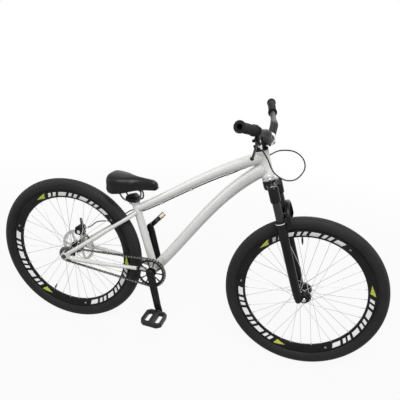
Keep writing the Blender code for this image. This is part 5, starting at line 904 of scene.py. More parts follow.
def makeRearTriangle():
    r = rear
    wide = (r["hubWidth"] + r["plate"]) / 2
    atTyre = sizes["tyreWidth"] / 2 + r["tyreGap"]
    nearRing = sizes["chainLine"] - 0.0012 - r["ringGap"]
    slim = r["chainRadius"] * 0.86
    for way, word in ((-1, "Right"), (1, "Left")):
        chainEnd, seatEnd = dropoutPlate(way)
        plan = [(0.0, wide), (0.12, wide), (0.40, wide - (wide - atTyre - slim) * 0.34),
                (0.60, wide - (wide - atTyre - slim) * 0.72), (0.73, atTyre + slim),
                (0.82, nearRing - slim), (0.90, r["spreadAtBracket"] + 0.002), (1.0, r["spreadAtBracket"])]
        route, radii = stayRoute(chainEnd, bracketAxle, plan, way, r["chainRadius"], 0.86)
        cut = 36
        bm = sweep(None, route[:cut + 1], radii[:cut + 1], 28, up)
        weldBead(bm, route[32], (route[35] - route[32]).normalized(), radii[34], bracketAxle, side,
                 tubes["shellRadius"], 0.0018)
        stayEnd(bm, route, radii[0])
        finishPiece("chainstay" + word, bm, "silverPaint", "frame", "chainstay_" + word.lower())
        plan = [(0.0, wide), (0.14, wide), (0.40, wide - 0.010), (0.62, atTyre + r["seatRadius"] + 0.003),
                (0.80, atTyre + r["seatRadius"] * 0.96), (0.88, atTyre + r["seatRadius"] * 0.4),
                (0.95, r["spreadAtTop"] + 0.005), (1.0, r["spreadAtTop"])]
        route, radii = stayRoute(seatEnd, seat(tubes["stayOnSeat"]), plan, way, r["seatRadius"], 0.92)
        bm = sweep(None, route, radii, 28, up)
        weldBead(bm, route[33], (route[38] - route[33]).normalized(), radii[36], seat(0.1), seatUp,
                 tubes["seatRadius"], 0.0016, 48)
        stayEnd(bm, route, radii[0])
        finishPiece("seatstay" + word, bm, "silverPaint", "frame", "seatstay_" + word.lower())
    print("frame made")


# Headset cups, with the bearing line between cup and crown
def makeHeadset():
    low, r = sizes["crownHeight"] + 0.0003, 0.0252
    profile = [(0.0150, low), (r - 0.0022, low), (r - 0.0012, low + 0.0006), (r - 0.0010, low + 0.0022),
               (r - 0.0022, low + 0.0026), (r - 0.0006, low + 0.0032), (r, low + 0.0042), (r, low + 0.0085),
               (r - 0.0008, low + 0.0100), (r - 0.0016, low + 0.0105), (0.0150, low + 0.0105)]
    finishPiece("lowerCup", lathe(None, profile, steerFoot, steerUp, 64, closed=True), "anodisedSilver",
                "frame", "headset_cup_lower", 30)
    base = headHigh + 0.0003
    profile = [(0.0150, base), (r - 0.0016, base), (r - 0.0008, base + 0.0006), (r, base + 0.0020),
               (r, base + 0.0062), (r - 0.0006, base + 0.0070), (r - 0.0016, base + 0.0072),
               (r - 0.0016, base + 0.0078), (r - 0.0008, base + 0.0082), (r - 0.0014, base + 0.0100),
               (r - 0.0030, base + 0.0105), (0.0150, base + 0.0105)]
    finishPiece("upperCup", lathe(None, profile, steerFoot, steerUp, 64, closed=True), "blackAnodised",
                "frame", "headset_cup_upper", 30)


# Seat collar, post, clamp, rails and base
seatParts = {"post": 0.0136, "insertion": 0.190, "above": 0.0165, "rail": 0.0035, "railSpacing": 0.044,
             "clampWidth": 0.033}


def makeSeatHardware():
    top = tubes["seatLength"]
    inner = 0.0168
    low = top - 0.0110
    profile = drum(inner, inner + 0.0026, low, top + 0.0005, 0.0008, 0.0006)
    bm = lathe(None, profile, bracketAxle, seatUp, 56, closed=True)
    behind = -Vector((seatUp.z, 0, -seatUp.x))
    middle = seat(top - 0.0052) + behind * (inner + 0.0050)
    for way in (-1, 1):
        block(bm, middle + side * way * 0.0048, behind, seatUp, (0.0085, 0.0100, 0.0056), 0.0012, 3)
    bolt(bm, middle + side * 0.0076, side, 0.0036, 0.0032)
    lathe(bm, [(0.0, 0.0), (0.0034, 0.0), (0.0034, 0.0024), (0.0, 0.0028)], middle - side * 0.0076, -side,
          18)
    finishPiece("seatCollar", bm, "anodisedSilver", "frame", "seat_clamp", 30)
    post, high = seatParts["post"], top + seatParts["above"]
    profile = [(post - 0.0022, top - seatParts["insertion"]), (post, top - seatParts["insertion"]),
               (post, high), (post - 0.0022, high)]
    finishPiece("seatPost", lathe(None, profile, bracketAxle, seatUp, 48, closed=True), "polished", "seat",
                "seatpost")
    forward = Vector((seatUp.z, 0, -seatUp.x))
    level = top + 0.0020
    outline = rounded([(-0.0255, level), (0.0175, level), (0.0205, level + 0.013), (0.0095, high + 0.0145),
                       (-0.0255, high + 0.0145), (-0.0325, high + 0.003)], 0.0035, 4)
    bm = slab(None, [outline], bracketAxle, forward, seatUp, seatParts["clampWidth"] - 0.0006, 0.0016, 3)
    railLevel = seat(top) + up * (seatParts["rail"] + 0.0012)
    half = seatParts["railSpacing"] / 2
    for way in (-1, 1):
        spot = railLevel - ahead * 0.0035 + side * way * half
        block(bm, spot + up * 0.0058 + side * way * 0.0008, ahead, side, (0.0335, 0.0135, 0.0105), 0.0022,
              3)
        block(bm, spot - up * 0.0016 + side * way * 0.0008, ahead, side, (0.0335, 0.0125, 0.0055), 0.0014,
              2)
        lathe(bm, [(0.0, 0.0), (0.0062, 0.0), (0.0066, 0.0006), (0.0066, 0.0022), (0.0056, 0.0030),
                   (0.0, 0.0032)], spot + side * way * 0.0074 + up * 0.0052, side * way, 28)
        hexNut(bm, spot + side * way * 0.0098 + up * 0.0052, side * way, 0.0046, 0.0020)
    finishPiece("saddleClamp", bm, "blackAnodised", "seat", "saddle_clamp", 30)
    return railLevel


saddle = {"length": 0.216, "width": 0.142, "nose": 0.040, "tailDepth": 0.075, "noseDepth": 0.037,
          "aboveRails": 0.0395, "behindPost": 0.112, "lean": 6.0, "base": 0.003, "skirt": 0.010,
          "tailLift": 0.016}


def saddleWidening(t):
    return 1 / (1 + math.exp((t - 0.47) / 0.085))


def saddleSkirt(t):
    return saddle["skirt"] * saddleWidening(t) * min(1.0, t / 0.16)


def saddleHalfWidth(t):
    tail = math.sqrt(max(0.0, 1 - (1 - min(t / 0.22, 1.0)) ** 2))
    nose = math.sqrt(max(0.0, 1 - max(0.0, (t - 0.90) / 0.10) ** 2))
    width = saddle["nose"] / 2 + (saddle["width"] - saddle["nose"]) / 2 * saddleWidening(t)
    return width * (0.40 + 0.60 * tail) * (0.45 + 0.55 * nose)


def saddleDepth(t):
    tail = math.sqrt(max(0.0, 1 - (1 - min(t / 0.12, 1.0)) ** 2))
    nose = math.sqrt(max(0.0, 1 - max(0.0, (t - 0.88) / 0.12) ** 2))
    depth = saddle["tailDepth"] + (saddle["noseDepth"] - saddle["tailDepth"]) * t
    return depth * (0.45 + 0.55 * tail) * (0.45 + 0.55 * nose)


def saddleFrame(railLevel):
    tail = railLevel + Vector((-saddle["behindPost"], 0, saddle["aboveRails"]))
    return tail, polar(saddle["lean"], 1.0), polar(saddle["lean"] + 90, 1.0)


def makeRailsAndBase(railLevel):
    tail, along, above = saddleFrame(railLevel)
    under, half = saddle["base"] + 0.0006 + seatParts["rail"], seatParts["railSpacing"] / 2

    def atBase(distance, across):
        return tail + along * distance - above * under + side * across

    def atClamp(x, across, z=0.0):
        return railLevel + Vector((x, across, z))

    oneSide = [atBase(0.022, half + 0.008), atBase(0.036, half + 0.007),
               atBase(0.051, half + 0.005) - above * 0.007, atClamp(-0.045, half + 0.002, 0.0095),
               atClamp(-0.030, half), atClamp(-0.014, half), atClamp(0.003, half), atClamp(0.018, half),
               atClamp(0.0275, half - 0.0025, 0.008), atClamp(0.0310, half - 0.0070, 0.022),
               atBase(0.1400, half - 0.0130) - above * 0.008, atBase(0.1340, 0.0040) - above * 0.0012]
    mirrored = [Vector((p.x, -p.y, p.z)) for p in reversed(oneSide)]
    route = smoothRoute(oneSide + mirrored, 96)
    bm = sweep(None, route, seatParts["rail"], 14, Vector((0.1, 0.2, 1)).normalized())
    finishPiece("saddleRails", bm, "darkSteel", "seat", "saddle_rails")
    # the moulded base: a thin shell with a turned edge, ribs, and the pockets that hold the rails
    outline = []
    for i in range(29):
        t = 0.05 + 0.90 * i / 28
        outline.append((saddle["length"] * t, -saddleHalfWidth(t) * 0.81))
    outline += [(a, -b) for a, b in reversed(outline)]
    centre = tail - above * (saddle["base"] / 2 + 0.0003)
    bm = slab(None, [outline], centre, along, side, saddle["base"], 0.0010, 2)
    for distance, wide in ((0.062, 0.062), (0.086, 0.046), (0.110, 0.030)):
        block(bm, tail + along * distance - above * 0.0050, along, side, (0.0018, wide, 0.0040), 0.0006, 1)
    for way in (-1, 1):
        block(bm, tail + along * 0.030 + side * way * (half + 0.0075) - above * 0.0062, along, side,
              (0.026, 0.0125, 0.0090), 0.0020, 3)
    block(bm, tail + along * 0.136 - above * 0.0060, along, side, (0.016, 0.024, 0.0085), 0.0022, 3)
    finishPiece("saddleBase", bm, "blackPlastic", "seat", "saddle_base", 30)


# Fork: crown with deep sockets, stanchions, one-piece lowers with their arch, seals and axle
fork = {"crownTall": 0.034, "hubRadius": 0.0260, "socket": 0.062, "socketWall": 0.0045, "drop": 0.012,
        "stanchion": 0.0155, "stanchionLength": 0.270, "leg": 0.0190, "legTop": 0.336,
        "archCrest": 0.402, "archAhead": 0.0520, "archThick": 0.010, "archDeep": 0.016, "lugRadius": 0.0165,
        "lugThick": 0.009, "hubWidth": 0.100, "mountAlong": (0.046, 0.097), "mountSide": 0.0525,
        "mountThick": 0.0065}


def legFoot(way):
    return steerFoot + steerAhead * sizes["legAhead"] + side * way * sizes["legSpread"]


def superOval(count, power):
    points = []
    for i in range(count):
        angle = 2 * math.pi * i / count
        a, b = math.cos(angle), math.sin(angle)
        points.append((math.copysign(abs(a) ** power, a), math.copysign(abs(b) ** power, b)))
    return points


def makeForkUpper():
    f = fork
    low, high = sizes["crownHeight"] - f["crownTall"], sizes["crownHeight"]
    r = f["hubRadius"]
    profile = [(0.0146, low - 0.001), (r * 0.82, low - 0.001), (r * 0.90, low + 0.001),
               (r - 0.0008, low + 0.006), (r, low + 0.010), (r, high - 0.0022), (r - 0.0006, high - 0.0008),
               (r - 0.0016, high), (0.0146, high)]
    bm = lathe(None, profile, steerFoot, steerUp, 64, closed=True)
    socketTop = high - f["drop"]
    socketLow, wide = socketTop - f["socket"], f["stanchion"] + f["socketWall"]
    for way in (-1, 1):
        near = steer(high - f["crownTall"] * 0.50, 0.002, way * 0.006)
        far = steer(socketTop - f["crownTall"] * 0.52, sizes["legAhead"],
                    way * (sizes["legSpread"] - 0.004))
        points, radii = [], []
        for i in range(13):
            t = i / 12
            waist = math.sin(math.pi * t)
            points.append(near.lerp(far, t) + steerUp * 0.0022 * waist)
            radii.append((0.0205 - 0.0012 * t - 0.0026 * waist, (0.0158 - 0.0022 * t) - 0.0016 * waist))
        sweep(bm, points, radii, hint=steerAhead, section=superOval(36, 0.62))
        profile = [(0.0157, socketLow), (wide - 0.0022, socketLow), (wide - 0.0012, socketLow + 0.0008),
                   (wide - 0.0004, socketLow + 0.0040), (wide, socketLow + 0.0060),
                   (wide, socketTop - 0.0075), (wide - 0.0010, socketTop - 0.0040),
                   (wide - 0.0034, socketTop - 0.0010), (wide - 0.0050, socketTop), (0.0105, socketTop),
                   (0.0105, socketTop - 0.0018), (0.0, socketTop - 0.0018)]
        lathe(bm, profile, legFoot(way), steerUp, 56)
    finishPiece("forkCrown", bm, "glossBlack", "fork_upper", "fork_crown")
    caps = bmesh.new()
    for way in (-1, 1):
        lathe(caps, [(0.0, -0.001), (0.0094, -0.001), (0.0094, 0.0012), (0.0086, 0.0018), (0.0048, 0.0018),
                     (0.0042, 0.0012), (0.0042, -0.0006), (0.0, -0.0006)],
              legFoot(way) + steerUp * (socketTop - 0.0016), steerUp, 30)
    finishPiece("forkCaps", caps, "anodisedSilver", "fork_upper")
    for way, word in ((-1, "Right"), (1, "Left")):
        top, r = socketTop - 0.008, f["stanchion"]
        profile = [(r - 0.0022, top - f["stanchionLength"]), (r - 0.0004, top - f["stanchionLength"]),
                   (r, top - f["stanchionLength"] + 0.0006), (r, top), (r - 0.0022, top)]
        finishPiece("stanchion" + word, lathe(None, profile, legFoot(way), steerUp, 56, closed=True),
                    "blackChrome", "fork_upper", "stanchion_" + word.lower())


def archRoute(count):
    f, points = fork, []
    pastSeal = sizes["legAhead"] + 0.0190 + f["archDeep"] / 2 + 0.003
    foot = pastSeal - 0.013
    for i in range(count + 1):
        angle = math.pi * i / count
        lift = math.sin(angle) ** 0.85
        forward = foot + (pastSeal - foot) * min(1.0, lift * 3.8) + (f["archAhead"] - pastSeal) * lift
        points.append(steer(f["legTop"] - 0.030 + (f["archCrest"] - f["legTop"] + 0.030) * lift, forward,
                            sizes["legSpread"] * -math.cos(angle)))
    return points


def makeForkLowers():
    f, bm = fork, bmesh.new()
    r, top = f["leg"], f["legTop"]
    for way in (-1, 1):
        profile = [(0.0, -0.0062), (r * 0.30, -0.0062), (r * 0.52, -0.0050), (r * 0.62, -0.0020),
                   (r * 0.68, 0.004), (r * 0.80, 0.016), (r * 0.86, 0.030), (r * 0.91, 0.080),
                   (r * 0.93, 0.140), (r * 0.94, 0.255), (r * 0.955, 0.268), (r * 0.99, 0.281), (r, 0.290),
                   (r, top - 0.012), (r + 0.0006, top - 0.0105), (r + 0.0006, top - 0.0015),
                   (r, top - 0.0004), (r - 0.0028, top)]
        lathe(bm, profile, legFoot(way), steerUp, 56)
        plane = f["hubWidth"] / 2 + 0.0003 + f["lugThick"] / 2
        outline = capsule((sizes["rake"], 0.0), (sizes["legAhead"] + 0.001, 0.020), f["lugRadius"], 0.0125,
                          20)
        slab(bm, [outline], steerFoot + side * way * plane, steerAhead, steerUp, f["lugThick"], 0.0020, 4)
    section = rounded([(-0.5, 0.5), (0.5, 0.5), (0.5, -0.2), (0.2, -0.5), (-0.5, -0.5)], 0.14, 3)
    sweep(bm, archRoute(40), [(f["archDeep"], f["archThick"])] * 41, hint=steerAhead, section=section)
    # mount tabs for a front brake, behind the left leg
    for along in f["mountAlong"]:
        outline = rounded([(-0.008, -0.0085), (0.012, -0.0065), (0.012, 0.0065), (-0.008, 0.0085)], 0.0028,
                          3)
        slab(bm, [outline, circle(0.0028, 16, (-0.0035, 0.0))], steer(along, -0.0045, f["mountSide"]),
             steerAhead, steerUp, f["mountThick"], 0.0008, 2)
    finishPiece("forkLowers", bm, "glossBlack", "fork_lowers", "fork_lowers")
    faces = bmesh.new()
    for along in f["mountAlong"]:
        for way in (-1, 1):
            lathe(faces, [(0.0029, 0.0), (0.0056, 0.0), (0.0056, 0.0004), (0.0029, 0.0004)],
                  steer(along, -0.0080, f["mountSide"] + way * f["mountThick"] / 2), side * way, 24,
                  closed=True)
    finishPiece("mountFaces", faces, "anodisedSilver", "fork_lowers")
    for way, word in ((-1, "Right"), (1, "Left")):
        low, r = f["legTop"] + 0.0003, 0.0190
        profile = [(0.0158, low), (r - 0.0012, low), (r - 0.0002, low + 0.0006), (r - 0.0002, low + 0.0050),
                   (r - 0.0012, low + 0.0058), (0.0176, low + 0.0080), (0.0170, low + 0.0118),
                   (0.0166, low + 0.0120), (0.0158, low + 0.0108)]
        finishPiece("dustSeal" + word, lathe(None, profile, legFoot(way), steerUp, 48, closed=True),
                    "rubber", "fork_lowers", "dust_seal_" + word.lower())
        ring = lathe(None, [(r - 0.0014, low + 0.0012), (r + 0.0004, low + 0.0014),
                            (r + 0.0006, low + 0.0030), (r + 0.0004, low + 0.0046),
                            (r - 0.0014, low + 0.0048)], legFoot(way), steerUp, 56, closed=True)
        finishPiece("sealRing" + word, ring, "polished", "fork_lowers")
    bm = lathe(None, [(0.0, -0.0585), (0.0049, -0.0585), (0.0049, 0.0585), (0.0, 0.0585)],
               sizes["frontAxle"], side, 24)
    face = f["hubWidth"] / 2 + 0.0006 + f["lugThick"]
    for way in (-1, 1):
        place = sizes["frontAxle"] + side * way * face
        lathe(bm, [(0.0, 0.0), (0.0085, 0.0), (0.0085, 0.0012), (0.0078, 0.0018), (0.0074, 0.0055),
                   (0.0066, 0.0068), (0.0042, 0.0070), (0.0036, 0.0062), (0.0036, 0.0020), (0.0, 0.0020)],
              place, side * way, 36)
    finishPiece("frontAxleBolts", bm, "steel", "fork_lowers", "front_axle", 30)
    print("fork made")


# Cockpit: stem and faceplate, bar, grips, brake lever
cockpit = {"stemRadius": 0.0205, "barClamp": 0.0159, "barGrip": 0.0111, "halfWidth": 0.3705, "rise": 0.034,
           "riseStart": 0.040, "riseEnd": 0.105, "upsweep": 12.0, "backsweep": 11.0, "faceWidth": 0.036,
           "faceWall": 0.0055, "gripLength": 0.131, "gripRadius": 0.0160, "flange": 0.0192,
           "leverAt": 0.212}
barCentre = steer((stemLow + stemHigh) / 2 + 0.005, 0.037)


def barPoint(width):
    c = cockpit
    way, width = math.copysign(1, width), abs(width)
    rise = c["rise"] * min(1.0, max(0.0, (width - c["riseStart"]) / (c["riseEnd"] - c["riseStart"])))
    past = max(0.0, width - c["riseEnd"])
    rise += past * math.tan(math.radians(c["upsweep"]))
    return barCentre + Vector((-past * math.tan(math.radians(c["backsweep"])), way * width, rise))


def barRadius(width):
    taper = min(1.0, max(0.0, (abs(width) - 0.105) / 0.075))
    taper = taper * taper * (3 - 2 * taper)
    return cockpit["barClamp"] + (cockpit["barGrip"] - cockpit["barClamp"]) * taper


def arcRing(bm, profile, centre, axis, startDirection, degrees, steps=24):
    fresh = bmesh.new()
    verts = [fresh.verts.new(centre + startDirection * r + axis * a) for r, a in profile]
    face = fresh.faces.new(verts)
    bmesh.ops.spin(fresh, geom=verts + list(face.edges) + [face], cent=centre, axis=axis,
                   angle=math.radians(degrees), steps=steps)
    bmesh.ops.recalc_face_normals(fresh, faces=fresh.faces)
    return join(bm, fresh)


def makeStem():
    c = cockpit
    r, low, high = c["stemRadius"], stemLow, stemHigh
    profile = [(0.0146, low), (r - 0.0014, low), (r - 0.0004, low + 0.0008), (r, low + 0.0024),
               (r, high - 0.0024), (r - 0.0004, high - 0.0008), (r - 0.0014, high), (0.0146, high)]
    bm = lathe(None, profile, steerFoot, steerUp, 64, closed=True)
    middle = (low + high) / 2
    start = steer(middle, 0.004)
    heading = (barCentre - start).normalized()
    points = [start.lerp(barCentre, t) for t in (0.0, 0.25, 0.45, 0.65, 0.85, 0.97)]
    radii = [(0.0176, 0.0158), (0.0172, 0.0150), (0.0160, 0.0138), (0.0160, 0.0138), (0.0174, 0.0154),
             (0.0178, 0.0160)]
    sweep(bm, points, radii, hint=side, section=superOval(40, 0.42))
    outer, half = c["barClamp"] + 0.0003 + c["faceWall"], c["faceWidth"] / 2
    ring = drum(0.0162, outer, -half, half, 0.0008)
    down = side.cross(heading)
    halfTurn = 180 if side.cross(down).dot(heading) < 0 else -180
    corners = [(way, lift) for way in (-1, 1) for lift in (-1, 1)]

    def corner(forward, way, lift):
        return barCentre + heading * forward + down * lift * (outer - 0.0012) + side * way * 0.0115

    arcRing(bm, ring, barCentre - heading * 0.0005, side, down, halfTurn)
    for way, lift in corners:
        block(bm, corner(-0.0052, way, lift), heading, side, (0.0092, 0.0098, 0.0082), 0.0020, 3)
    behind = -steerAhead
    for lift in (-0.0105, 0.0105):
        for way in (-1, 1):
            block(bm, steer(middle + lift, -r - 0.0020, way * 0.0058), behind, steerUp,
                  (0.0110, 0.0105, 0.0082), 0.0022, 3)
    finishPiece("stemBody", bm, "glossBlack", "fork_upper", "stem")
    bolts = bmesh.new()
    for lift in (-0.0105, 0.0105):
        bolt(bolts, steer(middle + lift, -r - 0.0026, -0.0098), -side, 0.0036, 0.0022)
    lathe(bolts, [(0.0, 0.0), (0.0168, 0.0), (0.0172, 0.0008), (0.0172, 0.0026), (0.0160, 0.0036),
                  (0.0052, 0.0044), (0.0, 0.0044)], steer(high), steerUp, 48)
    bolt(bolts, steer(high + 0.0040), steerUp, 0.0042, 0.0020)
    finishPiece("stemBoltsAndCap", bolts, "blackAnodised", "fork_upper")
    face, bolts = arcRing(None, ring, barCentre + heading * 0.0005, side, down, -halfTurn, 32), bmesh.new()
    for way, lift in corners:
        block(face, corner(0.0048, way, lift), heading, side, (0.0084, 0.0098, 0.0082), 0.0020, 3)
        bolt(bolts, corner(0.0090, way, lift), heading, 0.0036, 0.0034)
    finishPiece("stemFaceplate", face, "polished", "fork_upper", "stem_faceplate", 30)
    finishPiece("faceplateBolts", bolts, "blackAnodised", "fork_upper")


def makeBarAndGrips():
    c = cockpit
    inner = c["halfWidth"] - 0.030
    half = [0.020, 0.034, 0.042, 0.056, 0.072, 0.088, 0.100, 0.110, 0.122, 0.150, 0.180, 0.2395, 0.300,
            inner]
    points = [barPoint(w) for w in [-w for w in reversed(half)] + [0.0] + half]
    route = smoothRoute(points, 140)
    bm = sweep(None, route, [barRadius(p.y) for p in route], 36, up)
    for way, word in ((-1, "Right"), (1, "Left")):
        end = barPoint(way * c["halfWidth"])
        outward = (end - barPoint(way * (c["halfWidth"] - c["gripLength"]))).normalized()
        r = c["barGrip"]
        lathe(bm, [(r - 0.0026, -0.031), (r, -0.031), (r, -0.0006), (r - 0.0006, 0.0), (r - 0.0020, 0.0),
                   (r - 0.0026, -0.0006)], end, outward, 36, closed=True)
        grip, r, wide = c["gripRadius"], c["barGrip"] + 0.0003, c["flange"]
        length = c["gripLength"]
        profile = [(r, 0.0), (wide - 0.0008, 0.0), (wide, 0.0008), (wide, 0.0040), (wide - 0.0010, 0.0050),
                   (grip + 0.0006, 0.0062), (grip - 0.0004, 0.0080)]
        count, first, last = 24, 0.0095, length - 0.0095
        for i in range(count):
            a, pitch = first + (last - first) * i / count, (last - first) / count
            bulge = 0.0004 * math.sin(math.pi * i / (count - 1))
            profile += [(grip - 0.0009 + bulge, a), (grip + bulge, a + pitch * 0.18),
                        (grip + bulge, a + pitch * 0.62), (grip - 0.0009 + bulge, a + pitch * 0.80)]
        profile += [(grip - 0.0004, length - 0.0080), (grip + 0.0006, length - 0.0062),
                    (wide - 0.0010, length - 0.0050), (wide, length - 0.0040), (wide, length - 0.0008),
                    (wide - 0.0008, length), (r, length)]
        start = end - outward * length
        finishPiece("grip" + word, lathe(None, profile, start, outward, 44, closed=True), "rubber",
                    "fork_upper", "grip_" + word.lower(), 40)
    finishPiece("handleBar", bm, "blackAnodised", "fork_upper", "handlebar")


def makeBrakeLever():
    c = cockpit
    place = barPoint(-c["leverAt"])
    outward = (barPoint(-c["leverAt"] - 0.02) - place).normalized()
    forward = crossAxes(outward, Vector((0.35, 0, -1)))[0]
    hinge = forward.cross(outward).normalized()
    pivot = place + forward * 0.034 + outward * 0.004
    inner = c["barGrip"] + 0.0004
    bm = lathe(None, drum(inner, inner + 0.0054, -0.0080, 0.0080, 0.0010), place, outward, 44, closed=True)
    block(bm, place + forward * 0.0200, forward, outward, (0.0150, 0.0155, 0.0132), 0.0026, 3)
    for lift in (-1, 1):
        reach = pivot - place - forward * 0.012
        outline = capsule((0.0, 0.0), (reach.dot(forward), reach.dot(outward)), 0.0092, 0.0090, 12)
        slab(bm, [outline], place + forward * 0.012 + hinge * lift * 0.0053, forward, outward, 0.0030,
             0.0008, 2)
    block(bm, place - forward * (inner + 0.0052), forward, outward, (0.0070, 0.0130, 0.0120), 0.0018, 3)
    leave = (forward * 0.6 - outward * 0.75).normalized()
    lathe(bm, [(0.0, 0.006), (0.0052, 0.006), (0.0058, 0.008), (0.0058, 0.0125), (0.0050, 0.0130),
               (0.0040, 0.0135), (0.0040, 0.0150)], pivot, leave, 28)
    finishPiece("leverBracket", bm, "blackAnodised", "fork_upper", "lever_bracket", 30)
    # the barrel that takes up the cable, with its knurled ring, and the bright clamp and pivot bolts
    bright = lathe(None, [(0.0, 0.0135), (0.0040, 0.0135), (0.0040, 0.0165), (0.0054, 0.0168),
                          (0.0058, 0.0175), (0.0058, 0.0225), (0.0052, 0.0235), (0.0044, 0.0240),
                          (0.0042, 0.0259), (0.0026, 0.0259)], pivot, leave, 36)
    first, second = crossAxes(leave, hinge)
    for i in range(14):
        angle = 2 * math.pi * i / 14
        out = first * math.cos(angle) + second * math.sin(angle)
        block(bright, pivot + leave * 0.0200 + out * 0.0057, leave, leave.cross(out),
              (0.0046, 0.0010, 0.0009), 0.0)
    bolt(bright, pivot + hinge * 0.0066, hinge, 0.0042, 0.0018)
    bolt(bright, pivot - hinge * 0.0066, -hinge, 0.0042, 0.0018)
    bolt(bright, place - forward * (inner + 0.0060) - hinge * 0.0058, -hinge, 0.0034, 0.0030)
    finishPiece("leverBolts", bright, "polished", "fork_upper", (), 30)
    blade = (outward * 0.84 + forward * 0.54).normalized()
    offside = hinge.cross(blade)
    points, radii = [], []
    for i in range(21):
        t = i / 20
        points.append(pivot + blade * (0.105 * t) + offside * (0.0016 * math.sin(math.pi * 1.6 * t)))
        radii.append((0.0028 + 0.0002 * math.sin(math.pi * t),
                      0.0070 - 0.0030 * min(1.0, t * 2.2) + 0.0010 * t))
    bm = sweep(None, points, radii, hint=hinge, section=superOval(28, 0.55))
    lathe(bm, drum(0.0, 0.0075, -0.0028, 0.0028, 0.0005, 0.0006), pivot, hinge, 36)
    turns = [math.radians(a) for a in range(0, 181, 12)]
    lathe(bm, [(0.0064 * math.sin(a), -0.0064 * math.cos(a)) for a in turns], pivot + blade * 0.105, blade,
          28)
    finishPiece("brakeLever", bm, "blackAnodised", "brake_lever", "brake_lever")
    print("cockpit made")
    return pivot + leave * 0.026, leave


# Disc brake
brake = {"rotor": 0.080, "thick": 0.0018, "pilot": 0.0175, "track": 0.015, "arms": 6, "angle": 82.0,
         "inner": 0.060, "outer": 0.103, "width": 0.040, "armLength": 0.036, "inward": 0.0125,
         "face": 0.0669, "slot": 0.0032, "mountFace": 0.0735, "wave": 0.0010, "hole": 0.0017,
         "holeRows": (0.0745, 0.0690), "swept": (0.0665, 0.0790), "sweptColour": (0.36, 0.355, 0.35)}


def spunFinish():
    material, tree, shader, tone, rough, bump = finishOf("spunSteel", looks["steel"])
    turned = useGroup(tree, "turned", Centre=sizes["rearAxle"], Fineness=2600.0)
    lines = put(tree, "ShaderNodeBump", Height=turned["Marks"], Strength=0.35, Distance=0.0003,
                Normal=bump.outputs[0])
    tree.links.new(lines.outputs[0], shader.inputs["Normal"])
    swept = band(tree, turned["Radius"], *brake["swept"], 0.0006)
    tree.links.new(mixed(tree, times(tree, swept, 0.6), tone, (*brake["sweptColour"], 1.0)),
                   shader.inputs["Base Color"])
    tree.links.new(plus(tree, rough, times(tree, turned["Marks"], 0.10)), shader.inputs["Roughness"])
    finishes["spunSteel"] = material


